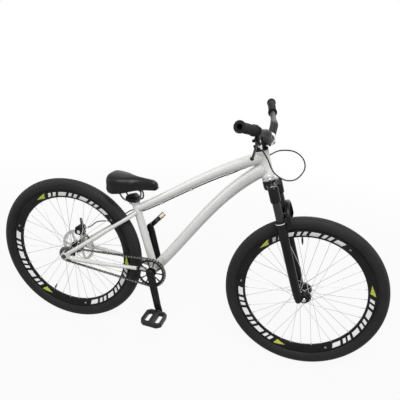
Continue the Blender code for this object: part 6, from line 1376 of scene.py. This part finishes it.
def makeBrake():
    b = brake
    spunFinish()
    centre = sizes["rearAxle"] + side * sizes["rotorPlane"]
    edge = []
    for i in range(144):
        angle = 2 * math.pi * i / 144
        edge.append(flatPoint(b["rotor"] - b["wave"] * (0.5 - 0.5 * math.cos(angle * 12)), angle))
    windows = [circle(b["pilot"], 40)]
    share = 2 * math.pi / b["arms"]
    for i in range(b["arms"]):
        outline = []
        for radius, first, last, count in ((b["rotor"] - b["track"], 0.05, 0.86, 11),
                                           (b["pilot"] + 0.010, 0.98, 0.36, 6)):
            for j in range(count):
                outline.append(flatPoint(radius, share * (i + first + (last - first) * j / (count - 1))))
        windows.append(outline)
        for j in range(7):
            windows.append(circle(b["hole"], 8, flatPoint(b["holeRows"][j % 2],
                                                          share * (i + 0.04 + j / 7))))
    bm = slab(None, [edge] + windows, centre, ahead, up, b["thick"], 0.0)
    finishPiece("brakeRotor", bm, "spunSteel", "rear_wheel", "brake_rotor", 30)
    bolts = bmesh.new()
    for i in range(6):
        bolt(bolts, centre + polar(60 * i + 22, 0.0222, b["thick"] / 2), side, 0.0040, 0.0020)
    finishPiece("rotorBolts", bolts, "darkSteel", "rear_wheel", (), 30)
    out, tangent = polar(b["angle"], 1.0), polar(b["angle"] - 90, 1.0)

    def onCaliper(across, along, reach):
        return sizes["rearAxle"] + side * across + tangent * along + out * reach

    hw, low, high = b["width"] / 2, b["inner"], b["outer"]
    outline = rounded([(-hw, low + 0.004), (-hw + 0.006, low), (hw - 0.006, low), (hw, low + 0.004),
                       (hw, high - 0.012), (hw - 0.014, high), (-hw + 0.010, high), (-hw, high - 0.010)],
                      0.0030, 4)
    plane, outside, slot = sizes["rotorPlane"], b["face"], b["slot"]
    inside = plane - b["inward"]
    bm = slab(None, [outline], onCaliper((inside + plane - slot) / 2, 0, 0), tangent, out,
              plane - slot - inside, 0.0014, 3)
    slab(bm, [outline], onCaliper((outside + plane + slot) / 2, 0, 0), tangent, out, outside - plane - slot,
         0.0016, 3)
    bridge = rounded([(-hw + 0.002, 0.0850), (hw - 0.002, 0.0850), (hw - 0.002, high - 0.0125),
                      (hw - 0.0145, high - 0.0008), (-hw + 0.0105, high - 0.0008),
                      (-hw + 0.002, high - 0.0105)], 0.002, 3)
    slab(bm, [bridge], onCaliper(plane, 0, 0), tangent, out, 0.012, 0.0008, 1)
    pivot = onCaliper(0, -0.004, high - 0.014)
    face = outside - 0.0003
    lathe(bm, [(0.0110, -0.004), (0.0110, 0.0014), (0.0100, 0.0022), (0.0082, 0.0026), (0.0080, 0.0034),
               (0.0080, 0.0088), (0.0074, 0.0092), (0.0, 0.0092)], pivot + side * face, side, 40)
    stop = onCaliper(face - 0.006, hw - 0.006, high - 0.002)
    block(bm, stop - tangent * 0.002, tangent, out, (0.0080, 0.0155, 0.0120), 0.0020, 3)
    lathe(bm, [(0.0, -0.002), (0.0058, -0.002), (0.0058, 0.0052), (0.0050, 0.0060), (0.0034, 0.0060)], stop,
          tangent, 28)
    for along in (-0.0125, 0.0125):
        for rib in range(3):
            block(bm, onCaliper(outside - 0.0002, along * 0.9, 0.0655 + 0.0052 * rib), tangent, out,
                  (0.0090, 0.0020, 0.0012), 0.0004, 1)
    finishPiece("brakeCaliper", bm, "blackAnodised", "frame", "brake_caliper", 30)
    bolts = bmesh.new()
    for along in (-0.0145, 0.0145):
        bolt(bolts, onCaliper(outside - 0.0004, along, 0.0700), side, 0.0042, 0.0030)
        bolt(bolts, onCaliper(b["mountFace"], along * 0.62, 0.0555), side, 0.0034, 0.0020)
    lathe(bolts, [(0.0, 0.0), (0.0078, 0.0), (0.0082, 0.0006), (0.0082, 0.0020), (0.0074, 0.0026),
                  (0.0, 0.0026)], onCaliper(inside, 0, 0.075), -side, 32)
    finishPiece("caliperBolts", bolts, "polished", "frame", (), 30)
    heading = (out * 0.94 - tangent * 0.34).normalized()
    tip = heading * b["armLength"]
    armPlane = pivot + side * (face + 0.0092 + 0.0003 + 0.003)
    bm = slab(None, [capsule((0.0, 0.0), (tip.x, tip.z), 0.0085, 0.0050, 16)], armPlane, ahead, up, 0.0060,
              0.0012, 3)
    finishPiece("caliperArm", bm, "darkSteel", "caliper_arm", "caliper_arm", 30)
    bolts = bmesh.new()
    hexNut(bolts, armPlane + side * 0.0030, side, 0.0058, 0.0026)
    bolt(bolts, armPlane + tip + side * 0.0028, side, 0.0036, 0.0024)
    finishPiece("armBolts", bolts, "polished", "caliper_arm", (), 30)
    print("brake made")
    return stop + tangent * 0.006, tangent, armPlane + tip


# Drive: chainring, cog with its freewheel, chain, bottom bracket, cranks
drive = {"ringTeeth": 32, "cogTeeth": 16, "links": 86, "thick": 0.0024, "tip": 0.0024, "root": 0.0039,
         "windows": 10, "hub": 0.0215, "windowTop": 0.0524, "crankLength": 0.170, "crankAngle": -71.0,
         "bossRadius": 0.0175, "eyeRadius": 0.0140, "crankThick": 0.013, "flare": 0.023, "bossPlane": 0.055,
         "flareFrom": 0.15, "flareRun": 0.7, "cuts": (0.15, 0.22, 0.30, 0.40, 0.50, 0.60, 0.70, 0.78, 0.85),
         "linkEnd": 0.0041, "linkWaist": 0.0031, "linkThick": 0.0009,
         "linkPlanes": (0.0026, 0.0036)}


def toothed(teeth, pitchRadius):
    d, outline, share = drive, [], 2 * math.pi / teeth
    shape = ((-0.50, -d["root"]), (-0.38, -d["root"] + 0.0004), (-0.26, -0.0006),
             (-0.15, d["tip"] - 0.0006), (-0.07, d["tip"]), (0.07, d["tip"]), (0.15, d["tip"] - 0.0006),
             (0.26, -0.0006), (0.38, -d["root"] + 0.0004))
    for i in range(teeth):
        for offset, height in shape:
            outline.append(flatPoint(pitchRadius + height, share * (i + offset)))
    return outline


def makeSprockets():
    d, plane = drive, -side * sizes["chainLine"]
    windows, share = [], 2 * math.pi / d["windows"]
    for i in range(d["windows"]):
        middle, reach = share * (i + 0.5), share * ((0.74 if i % 2 else 0.46) / 2 + 0.10)
        outline = [flatPoint(d["windowTop"], middle - reach + 2 * reach * j / 8) for j in range(9)]
        outline += [flatPoint(d["hub"], middle + (reach - 0.02) * (1 - 2 * j / 3)) for j in range(4)]
        windows.append(rounded(outline, 0.0012, 2))
    bm = slab(None, [toothed(d["ringTeeth"], sizes["ringRadius"])] + windows, bracketAxle + plane, ahead,
              up, d["thick"], 0.0003, 1)
    lathe(bm, [(0.0098, 0.0010), (d["hub"] + 0.0012, 0.0010), (d["hub"] + 0.0006, 0.0028), (0.0190, 0.0032),
               (0.0098, 0.0032)], bracketAxle + plane, side, 48, closed=True)
    finishPiece("chainRing", bm, "glossBlack", "crankset", "chainring", 30)
    centre = sizes["rearAxle"] + plane
    bm = slab(None, [toothed(d["cogTeeth"], sizes["cogRadius"]), circle(0.0210, 40)], centre, ahead, up,
              d["thick"], 0.0003, 1)
    lathe(bm, [(0.0165, -0.0060), (0.0196, -0.0060), (0.0200, -0.0056), (0.0200, -0.0040),
               (0.0218, -0.0036), (0.0225, -0.0030), (0.0225, 0.0056), (0.0221, 0.0060), (0.0165, 0.0060)],
          centre, side, 56, closed=True)
    finishPiece("rearCog", bm, "darkSteel", "freewheel", "rear_cog", 30)
    bm = lathe(None, [(0.0163, -0.0066), (0.0192, -0.0066), (0.0192, -0.0058), (0.0163, -0.0058)], centre,
               side, 48, closed=True)
    for i in range(4):
        out = polar(90 * i + 20, 1.0)
        block(bm, centre + out * 0.0178 - side * 0.0068, out, side, (0.0022, 0.0010, 0.0042), 0.0002, 1)
    finishPiece("freewheelRing", bm, "polished", "freewheel", (), 30)


# A point on the chain's run, and the run's whole length
def chainRun():
    ring, cog = bracketAxle - side * sizes["chainLine"], sizes["rearAxle"] - side * sizes["chainLine"]
    large, small, gap = sizes["ringRadius"], sizes["cogRadius"], ring - cog
    distance, tilt = math.hypot(gap.x, gap.z), math.atan2(gap.z, gap.x)
    lean = math.acos((large - small) / distance)
    straight = math.sqrt(distance ** 2 - (large - small) ** 2)
    parts = [2 * (math.pi - lean) * large, straight, 2 * lean * small, straight]
    upper, lower = tilt + math.pi - lean, tilt - math.pi + lean

    def on(centre, radius, angle):
        return centre + Vector((math.cos(angle), 0, math.sin(angle))) * radius

    def at(length):
        length %= sum(parts)
        if length < parts[0]:
            return on(ring, large, lower + length / large)
        length -= parts[0]
        if length < parts[1]:
            return on(ring, large, upper).lerp(on(cog, small, upper), length / straight)
        length -= parts[1]
        if length < parts[2]:
            return on(cog, small, upper + length / small)
        length -= parts[2]
        return on(cog, small, lower).lerp(on(ring, large, lower), length / straight)

    return at, sum(parts)


def makeChain():
    d, (at, length) = drive, chainRun()
    pins = [at(length * (i + 0.25) / d["links"]) for i in range(d["links"])]
    plates, rollers = bmesh.new(), bmesh.new()
    for i, start in enumerate(pins):
        end = pins[(i + 1) % len(pins)]
        first, second = (end - start).normalized(), crossAxes((end - start).normalized(), side)[1]
        pitch = (end - start).length
        outline = []
        for centre, turn in ((0.0, 90), (pitch, -90)):
            for j in range(5):
                outline.append(flatPoint(d["linkEnd"], math.radians(turn + 45 * j), (centre, 0.0)))
            outline.append((pitch / 2, d["linkWaist"] * (-1 if turn > 0 else 1)))
        for way in (-1, 1):
            slab(plates, [outline], start + side * way * d["linkPlanes"][i % 2], first, second,
                 d["linkThick"])
        lathe(rollers, [(0.0, -0.0047), (0.0017, -0.0047), (0.0017, -0.0020), (0.0036, -0.0019),
                        (0.0036, 0.0019), (0.0017, 0.0020), (0.0017, 0.0047), (0.0, 0.0047)], start, side,
              8)
    finishPiece("chainPlates", plates, "darkSteel", "frame", "chain", 25)
    finishPiece("chainRollers", rollers, "steel", "frame", (), 30)


def makeCranks():
    d = drive
    bm = lathe(None, [(0.0096, -0.0365), (0.0185, -0.0365), (0.0195, -0.0355), (0.0195, -0.0336),
                      (0.0175, -0.0334), (0.0175, 0.0334), (0.0195, 0.0336), (0.0195, 0.0355),
                      (0.0185, 0.0365), (0.0096, 0.0365)], bracketAxle, side, 48, closed=True)
    for way in (-1, 1):
        for i in range(6):
            out = polar(60 * i + 12, 1.0)
            block(bm, bracketAxle + out * 0.0150 + side * way * 0.0368, out, side, (0.0040, 0.0012, 0.0030),
                  0.0003, 1)
    finishPiece("bracketCups", bm, "blackAnodised", "frame", "bottom_bracket", 30)
    bm = lathe(None, drum(0.0, 0.0095, -0.0600, 0.0600, 0.0007, 0.0008), bracketAxle, side, 36)
    finishPiece("crankSpindle", bm, "steel", "crankset", "crank_spindle", 30)
    heading = polar(d["crankAngle"], 1.0)
    caps = bmesh.new()
    for way, word in ((-1, "Right"), (1, "Left")):
        reach = heading * -way
        tip = reach * d["crankLength"]
        centre = bracketAxle + side * way * d["bossPlane"]
        bm = slab(None, [capsule((0.0, 0.0), (tip.x, tip.z), d["bossRadius"], d["eyeRadius"], 18)], centre,
                  ahead, up, d["crankThick"], 0.0030, 4)
        outer = [f for f in bm.faces if f.normal.dot(side * way) > 0.99]
        bmesh.ops.inset_region(bm, faces=outer, thickness=0.0032, depth=0.0)
        bmesh.ops.inset_region(bm, faces=outer, thickness=0.0010, depth=-0.0008)
        for t in d["cuts"]:
            bmesh.ops.bisect_plane(bm, geom=bm.verts[:] + bm.edges[:] + bm.faces[:], dist=1e-6,
                                   plane_co=centre + reach * d["crankLength"] * t, plane_no=reach)
        for v in bm.verts:
            along = (v.co - bracketAxle).dot(reach) / d["crankLength"]
            part = min(1.0, max(0.0, (along - d["flareFrom"]) / d["flareRun"]))
            v.co.y += way * d["flare"] * part
        lathe(bm, [(0.0098, -0.0062), (0.0162, -0.0062), (0.0166, -0.0054), (0.0166, 0.0058),
                   (0.0158, 0.0068), (0.0098, 0.0068)], centre, side * way, 48, closed=True)
        eye = bracketAxle + tip + side * way * (d["bossPlane"] + d["flare"])
        lathe(bm, drum(0.0062, 0.0114, -0.0066, 0.0066, 0.0006, 0.0008), eye, side * way, 36, closed=True)
        finishPiece("crankArm" + word, bm, "glossBlack", "crankset", "crank_arm_" + word.lower(), 30)
        lathe(caps, [(0.0, 0.0), (0.0094, 0.0), (0.0094, 0.0010), (0.0086, 0.0016), (0.0050, 0.0016),
                     (0.0044, 0.0010), (0.0044, -0.0004), (0.0, -0.0004)], centre + side * way * 0.0056,
              side * way, 30)
        flange = d["bossPlane"] + d["flare"] + d["crankThick"] / 2
        profile = [(0.0, -0.0125), (0.0034, -0.0125), (0.0038, -0.0118), (0.0058, -0.0118),
                   (0.0058, 0.0003), (0.0088, 0.0003), (0.0095, 0.0008), (0.0095, 0.0046), (0.0088, 0.0053),
                   (0.0070, 0.0056), (0.0056, 0.0075), (0.0056, 0.0960), (0.0, 0.0960)]
        bm = lathe(None, profile, bracketAxle + tip + side * way * flange, side * way, 30)
        finishPiece("pedalAxle" + word, bm, "darkSteel", "crankset", "pedal_axle_" + word.lower(), 30)
        makePedal(way, word, bracketAxle + tip)
    finishPiece("crankCaps", caps, "blackAnodised", "crankset", (), 30)


# Platform pedals with a barrel, two windows, grip studs and a reflector on each edge
pedal = {"length": 0.092, "width": 0.100, "thick": 0.0200, "rail": 0.0125, "corner": 0.016,
         "centre": 0.1408, "tilt": {"Right": -4.0, "Left": 48.0}}


def reflectorFinish():
    look = {"colour": (0.62, 0.40, 0.13), "drift": (0.70, 0.50, 0.20), "roughness": (0.10, 0.18),
            "coat": 0.6, "grainScale": 700.0, "bump": 0.1}
    material, tree, shader, tone, _, bump = finishOf("reflector", look)
    spot = put(tree, "ShaderNodeTexCoord").outputs["Object"]
    cells = put(tree, "ShaderNodeTexVoronoi", Vector=spot, Scale=420.0)
    facets = put(tree, "ShaderNodeBump", Height=cells.outputs["Distance"], Strength=0.6, Distance=0.0008,
                 Normal=bump.outputs[0])
    tree.links.new(facets.outputs[0], shader.inputs["Normal"])
    tree.links.new(mixed(tree, spread(tree, cells.outputs["Distance"], 0.1, 0.7), tone,
                         (0.92, 0.78, 0.46, 1.0)), shader.inputs["Base Color"])
    finishes["reflector"] = material


def makePedal(way, word, eye):
    p = pedal
    along, above = polar(p["tilt"][word], 1.0), polar(p["tilt"][word] + 90, 1.0)
    centre = eye + side * way * p["centre"]
    a, b, c = p["length"] / 2, p["width"] / 2, p["corner"]
    edge = rounded([(-a, -b + c), (-a + c, -b), (a - c, -b), (a, -b + c), (a, b - c), (a - c, b),
                    (-a + c, b), (-a, b - c)], 0.0040, 3)
    barrel, windows = 0.0115, []
    for end in (-1, 1):
        near, far, wide = end * barrel, end * (a - p["rail"]), b - p["rail"]
        corners = [(near, -wide), (far - end * 0.006, -wide), (far, -wide + 0.007), (far, wide - 0.007),
                   (far - end * 0.006, wide), (near, wide)]
        windows.append(rounded(corners, 0.0022, 3))
    bm = slab(None, [edge] + windows, centre, along, side, p["thick"], 0.0018, 3)
    lathe(bm, drum(0.0064, 0.0106, -0.046, 0.046, 0.0006, 0.0010), centre, side, 36, closed=True)
    lathe(bm, [(0.0, 0.0490), (0.0072, 0.0490), (0.0078, 0.0496), (0.0078, 0.0504), (0.0070, 0.0508),
               (0.0, 0.0508)], centre, side * way, 30)
    stud = [(0.0, 0.0022), (0.0010, 0.0022), (0.0014, 0.0018), (0.0016, -0.0004)]
    studPlaces = [(a - 0.0058, (i - 1.5) * 0.020) for i in range(4)]
    studPlaces += [(0.020, -b + 0.0062), (0.020, b - 0.0062)]
    for face in (-1, 1):
        for end in (-1, 1):
            for reach, across in studPlaces:
                spot = centre + along * end * reach + side * across + above * face * p["thick"] / 2
                lathe(bm, stud, spot, above * face, 8)
    finishPiece("pedal" + word, bm, "blackPlastic", "pedal_" + word.lower(), "pedal_" + word.lower(), 30)
    bm = bmesh.new()
    for end in ((-1,) if word == "Right" else (-1, 1)):
        block(bm, centre + along * end * (a + 0.0004), side, above, (0.052, 0.0120, 0.0022), 0.0006, 2)
    finishPiece("pedalReflectors" + word, bm, "reflector", "pedal_" + word.lower(), (), 30)


def makeAxleNuts():
    bm = lathe(None, drum(0.0, 0.0048, -0.0858, 0.0858, 0.0004, 0.0006), sizes["rearAxle"], side, 24)
    for way in (-1, 1):
        face = sizes["rearAxle"] + side * way * 0.0738
        lathe(bm, [(0.0050, 0.0), (0.0105, 0.0), (0.0108, 0.0004), (0.0108, 0.0014), (0.0100, 0.0018),
                   (0.0050, 0.0018)], face, side * way, 40, closed=True)
        hexNut(bm, face + side * way * 0.0016, side * way, 0.0095, 0.0064)
    finishPiece("rearAxleNuts", bm, "darkSteel", "frame", "rear_axle", 30)


# Brake cable: one housing from the lever's barrel, round in front of the head tube, to the caliper
cable = {"radius": 0.0025, "points": 300, "offStay": 0.0042, "wire": 0.0008,
         "loop": [(0.322, -0.150, 0.903), (0.346, -0.120, 0.853), (0.387, -0.096, 0.825),
                  (0.425, -0.076, 0.829), (0.448, -0.054, 0.862), (0.438, -0.035, 0.895),
                  (0.400, -0.014, 0.914), (0.346, 0.013, 0.905), (0.303, 0.0345, 0.875),
                  (0.270, 0.0365, 0.848), (0.235, 0.0300, 0.825), (0.203, 0.0140, 0.811)],
         "underTube": (0.775, 0.729, 0.665, 0.550, 0.443, 0.320, 0.197, 0.140),
         "overStay": ((0.115, 0.0365), (0.280, 0.0395), (0.440, 0.0425)),
         "toBrake": [(-0.385, 0.0475, 0.484), (-0.430, 0.0535, 0.470)]}


def makeCable(leverEnd, leave, stop, tangent, armTip):
    c = cable
    stayFoot, stayHead = sizes["rearAxle"] + polar(39, rear["reach"]), seat(tubes["stayOnSeat"])
    alongStay = stayHead - stayFoot
    overStay = Vector((-alongStay.z, 0, alongStay.x)).normalized()
    stayTop = stayHead + overStay * (rear["seatRadius"] + c["radius"] + c["offStay"])
    points = [leverEnd + leave * 0.0003, leverEnd + leave * 0.012] + [Vector(p) for p in c["loop"]]
    points += [cableUnderTopTube(t)[0] for t in c["underTube"]]
    points.append(seat(0.260, 0.0295) + Vector((0.006, 0, 0)))
    points += [stayTop - alongStay * k + side * w for k, w in c["overStay"]]
    points += [Vector(p) for p in c["toBrake"]]
    points += [stop + tangent * 0.030 + up * 0.014, stop + tangent * 0.012, stop + tangent * 0.0003]
    route = smoothRoute(points, c["points"])
    bm = sweep(None, route, c["radius"], 12, Vector((0.2, 0.3, 1)).normalized())
    housing = finishPiece("brakeCable", bm, "blackPlastic", None, "brake_cable")
    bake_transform(housing)
    ferrule = [(0.0026, 0.0), (0.0034, 0.0), (0.0034, 0.0080), (0.0031, 0.0086), (0.0026, 0.0088)]
    for name, place, way, body in (("leverFerrule", leverEnd, leave, "fork_upper"),
                                   ("stopFerrule", stop, tangent, "frame")):
        finishPiece(name, lathe(None, ferrule, place, way, 20, closed=True), "polished", body, (), 30)
    pull = (armTip - stop).normalized()
    wire = sweep(None, [stop - tangent * 0.010, stop.lerp(armTip, 0.55), armTip + pull * 0.012], c["wire"],
                 8, up)
    lathe(wire, [(0.0, 0.0), (0.0013, 0.0), (0.0013, 0.0060), (0.0, 0.0060)], armTip + pull * 0.010, pull,
          10)
    wirePiece = finishPiece("cableWire", wire, "steel", None)
    tuple(stop)
    tuple(armTip)
    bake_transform(wirePiece)


# Saddle: a padded shell blown up over its foam by a cloth simulation, with a sewn hem round the edge
padding = {"inset": 0.0030, "voxel": 0.0030, "pressure": 4.0, "frames": 20, "cap": 0.0042, "hollow": 0.0015,
           "held": 0.010, "smoothing": 3, "hemStart": 0.030, "hemRun": 0.935, "hemWidth": 0.905,
           "hemRadius": 0.0019}


def vinylFinish():
    look = {"colour": (0.0025, 0.0025, 0.0032), "drift": (0.005, 0.005, 0.006), "roughness": (0.30, 0.40),
            "specular": 0.20, "grainScale": 1900.0, "bump": 0.12, "dust": 0.02}
    material, tree, shader, _, _, bump = finishOf("saddleVinyl", look)
    spot = put(tree, "ShaderNodeTexCoord").outputs["Object"]
    pebbles = put(tree, "ShaderNodeTexVoronoi", Vector=spot, Scale=820.0)
    height = spread(tree, pebbles.outputs["Distance"], 0.1, 0.7, 1.0, 0.0)
    leather = put(tree, "ShaderNodeBump", Height=height, Strength=0.22, Distance=0.0004,
                  Normal=bump.outputs[0])
    folds = put(tree, "ShaderNodeTexNoise", Vector=spot, Scale=38.0, Detail=3.0)
    soft = put(tree, "ShaderNodeBump", Height=folds.outputs["Fac"], Strength=0.12, Distance=0.002,
               Normal=leather.outputs[0])
    tree.links.new(soft.outputs[0], shader.inputs["Normal"])
    finishes["saddleVinyl"] = material


def evaluatedMesh(piece):
    bpy.context.view_layer.update()
    return bpy.data.meshes.new_from_object(piece.evaluated_get(bpy.context.evaluated_depsgraph_get()))


def makeSaddle(railLevel):
    p = padding
    vinylFinish()
    tail, along, above = saddleFrame(railLevel)
    low = [(0.990, 0.36), (0.985, 0.24), (0.978, 0.12), (0.968, 0.0), (0.945, 0.0), (0.915, 0.0),
           (0.885, 0.0), (0.866, 0.0), (0.850, 0.0), (0.70, 0.0), (0.45, 0.0), (0.20, 0.0)]
    section = [(-a, b) for a, b in reversed(low)]
    for i in range(27):
        angle = math.pi * (1 - (i + 0.5) / 27)
        section.append((math.copysign(abs(math.cos(angle)) ** 0.70, math.cos(angle)),
                        0.45 + 0.55 * math.sin(angle) ** 0.7))
    section += low
    stations = [0.0, 0.006, 0.016] + [0.03 + 0.94 * i / 40 for i in range(41)] + [0.984, 0.994, 1.0]
    points = [tail + along * (saddle["length"] * t) for t in stations]
    bm = sweep(None, points, [(saddleHalfWidth(t), saddleDepth(t)) for t in stations], hint=side,
               section=section)
    bm.normal_update()
    for v in bm.verts:
        t = min(max((v.co - tail).dot(along) / saddle["length"], 0.0), 1.0)
        level = (v.co - tail).dot(above) / saddleDepth(t)
        share = abs((v.co - tail).dot(side)) / saddleHalfWidth(t)
        inward = v.normal * p["inset"] * min(1.0, max(0.0, level / 0.3))
        if level < 0.03 and share > 0.86:
            v.co -= above * saddleSkirt(t)      # the skirt hangs beside the base
        v.co += above * saddle["tailLift"] * max(0.0, 1 - t / 0.08) * max(0.0, 1 - level / 0.4)
        v.co -= above * (p["hollow"] * (1 - abs(2 * t - 1)) * max(0.0, level - 0.4)) + inward
    cushion = finishPiece("saddleCushion", bm, "saddleVinyl", "seat", "saddle", 180.0)
    remesh = cushion.modifiers.new("remesh", "REMESH")
    remesh.mode, remesh.voxel_size = "VOXEL", p["voxel"]
    start = evaluatedMesh(cushion)
    cushion.modifiers.clear()
    cushion.data = start
    still = cushion.vertex_groups.new(name="heldByBase")
    held = [v.index for v in start.vertices if (v.co - tail).dot(above) < p["held"]]
    still.add(held, 1.0, "REPLACE")
    before = [v.co.copy() for v in start.vertices]
    cloth = cushion.modifiers.new("cloth", "CLOTH")
    settings = cloth.settings
    settings.use_pressure, settings.uniform_pressure_force = True, p["pressure"]
    settings.effector_weights.gravity = 0.0
    settings.vertex_group_mass = "heldByBase"
    settings.quality = 6
    cloth.point_cache.frame_start, cloth.point_cache.frame_end = 1, p["frames"]
    for frameNumber in range(1, p["frames"] + 1):
        scene.frame_set(frameNumber)
    blown = evaluatedMesh(cushion)
    cushion.modifiers.clear()
    for v, was in zip(blown.vertices, before):
        move = v.co - was
        if move.length > p["cap"]:
            v.co = was + move.normalized() * p["cap"]
    cushion.data = blown
    cushion.vertex_groups.clear()
    scene.frame_set(1)
    final = bmesh.new()
    final.from_mesh(cushion.data)
    for _ in range(p["smoothing"]):
        bmesh.ops.smooth_vert(final, verts=final.verts, factor=0.5, use_axis_x=True, use_axis_y=True,
                              use_axis_z=True)
    final.to_mesh(cushion.data)
    final.free()
    cushion.data.materials.clear()
    cushion.data.materials.append(finishes["saddleVinyl"])
    cushion.data.shade_smooth()
    rise = cushion.modifiers.new("smooth", "SUBSURF")
    rise.levels = rise.render_levels = 1
    hem = []
    for way in (-1, 1):
        row = []
        for i in range(37):
            t = p["hemStart"] + p["hemRun"] * i / 36
            outward = side * way * (saddleHalfWidth(t) * p["hemWidth"])
            lift = saddle["tailLift"] * max(0.0, 1 - t / 0.08) - saddleSkirt(t)
            row.append(tail + along * (saddle["length"] * t) + outward + above * lift)
        hem += row if way < 0 else list(reversed(row))
    hem = smoothRoute(hem + [hem[0]], 160)[:-1]
    bm = sweep(None, hem, p["hemRadius"], 8, above, closed=True)
    finishPiece("saddleHem", bm, "blackPlastic", "seat")
    print("saddle made")


# The camera first, then the studio, then the bicycle from its wheels to its saddle
placeCamera()
makeStage()
makeWheels()
makeMainTubes()
makeRearTriangle()
makeHeadset()
railLevel = makeSeatHardware()
makeRailsAndBase(railLevel)
makeForkUpper()
makeForkLowers()
makeStem()
makeBarAndGrips()
adjusterEnd, adjusterWay = makeBrakeLever()
cableStop, stopWay, armTip = makeBrake()
makeSprockets()
makeChain()
reflectorFinish()
makeCranks()
makeAxleNuts()
print("drive made")
makeCable(adjusterEnd, adjusterWay, cableStop, stopWay, armTip)
makeSaddle(railLevel)
# the steerer is the one solid that no piece above stands for
for name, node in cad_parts.items():
    node.data.materials.clear()
    node.data.materials.append(finishes["steel" if name == "fork_steerer" else "blackPlastic"])
print("pieces made", len(made))
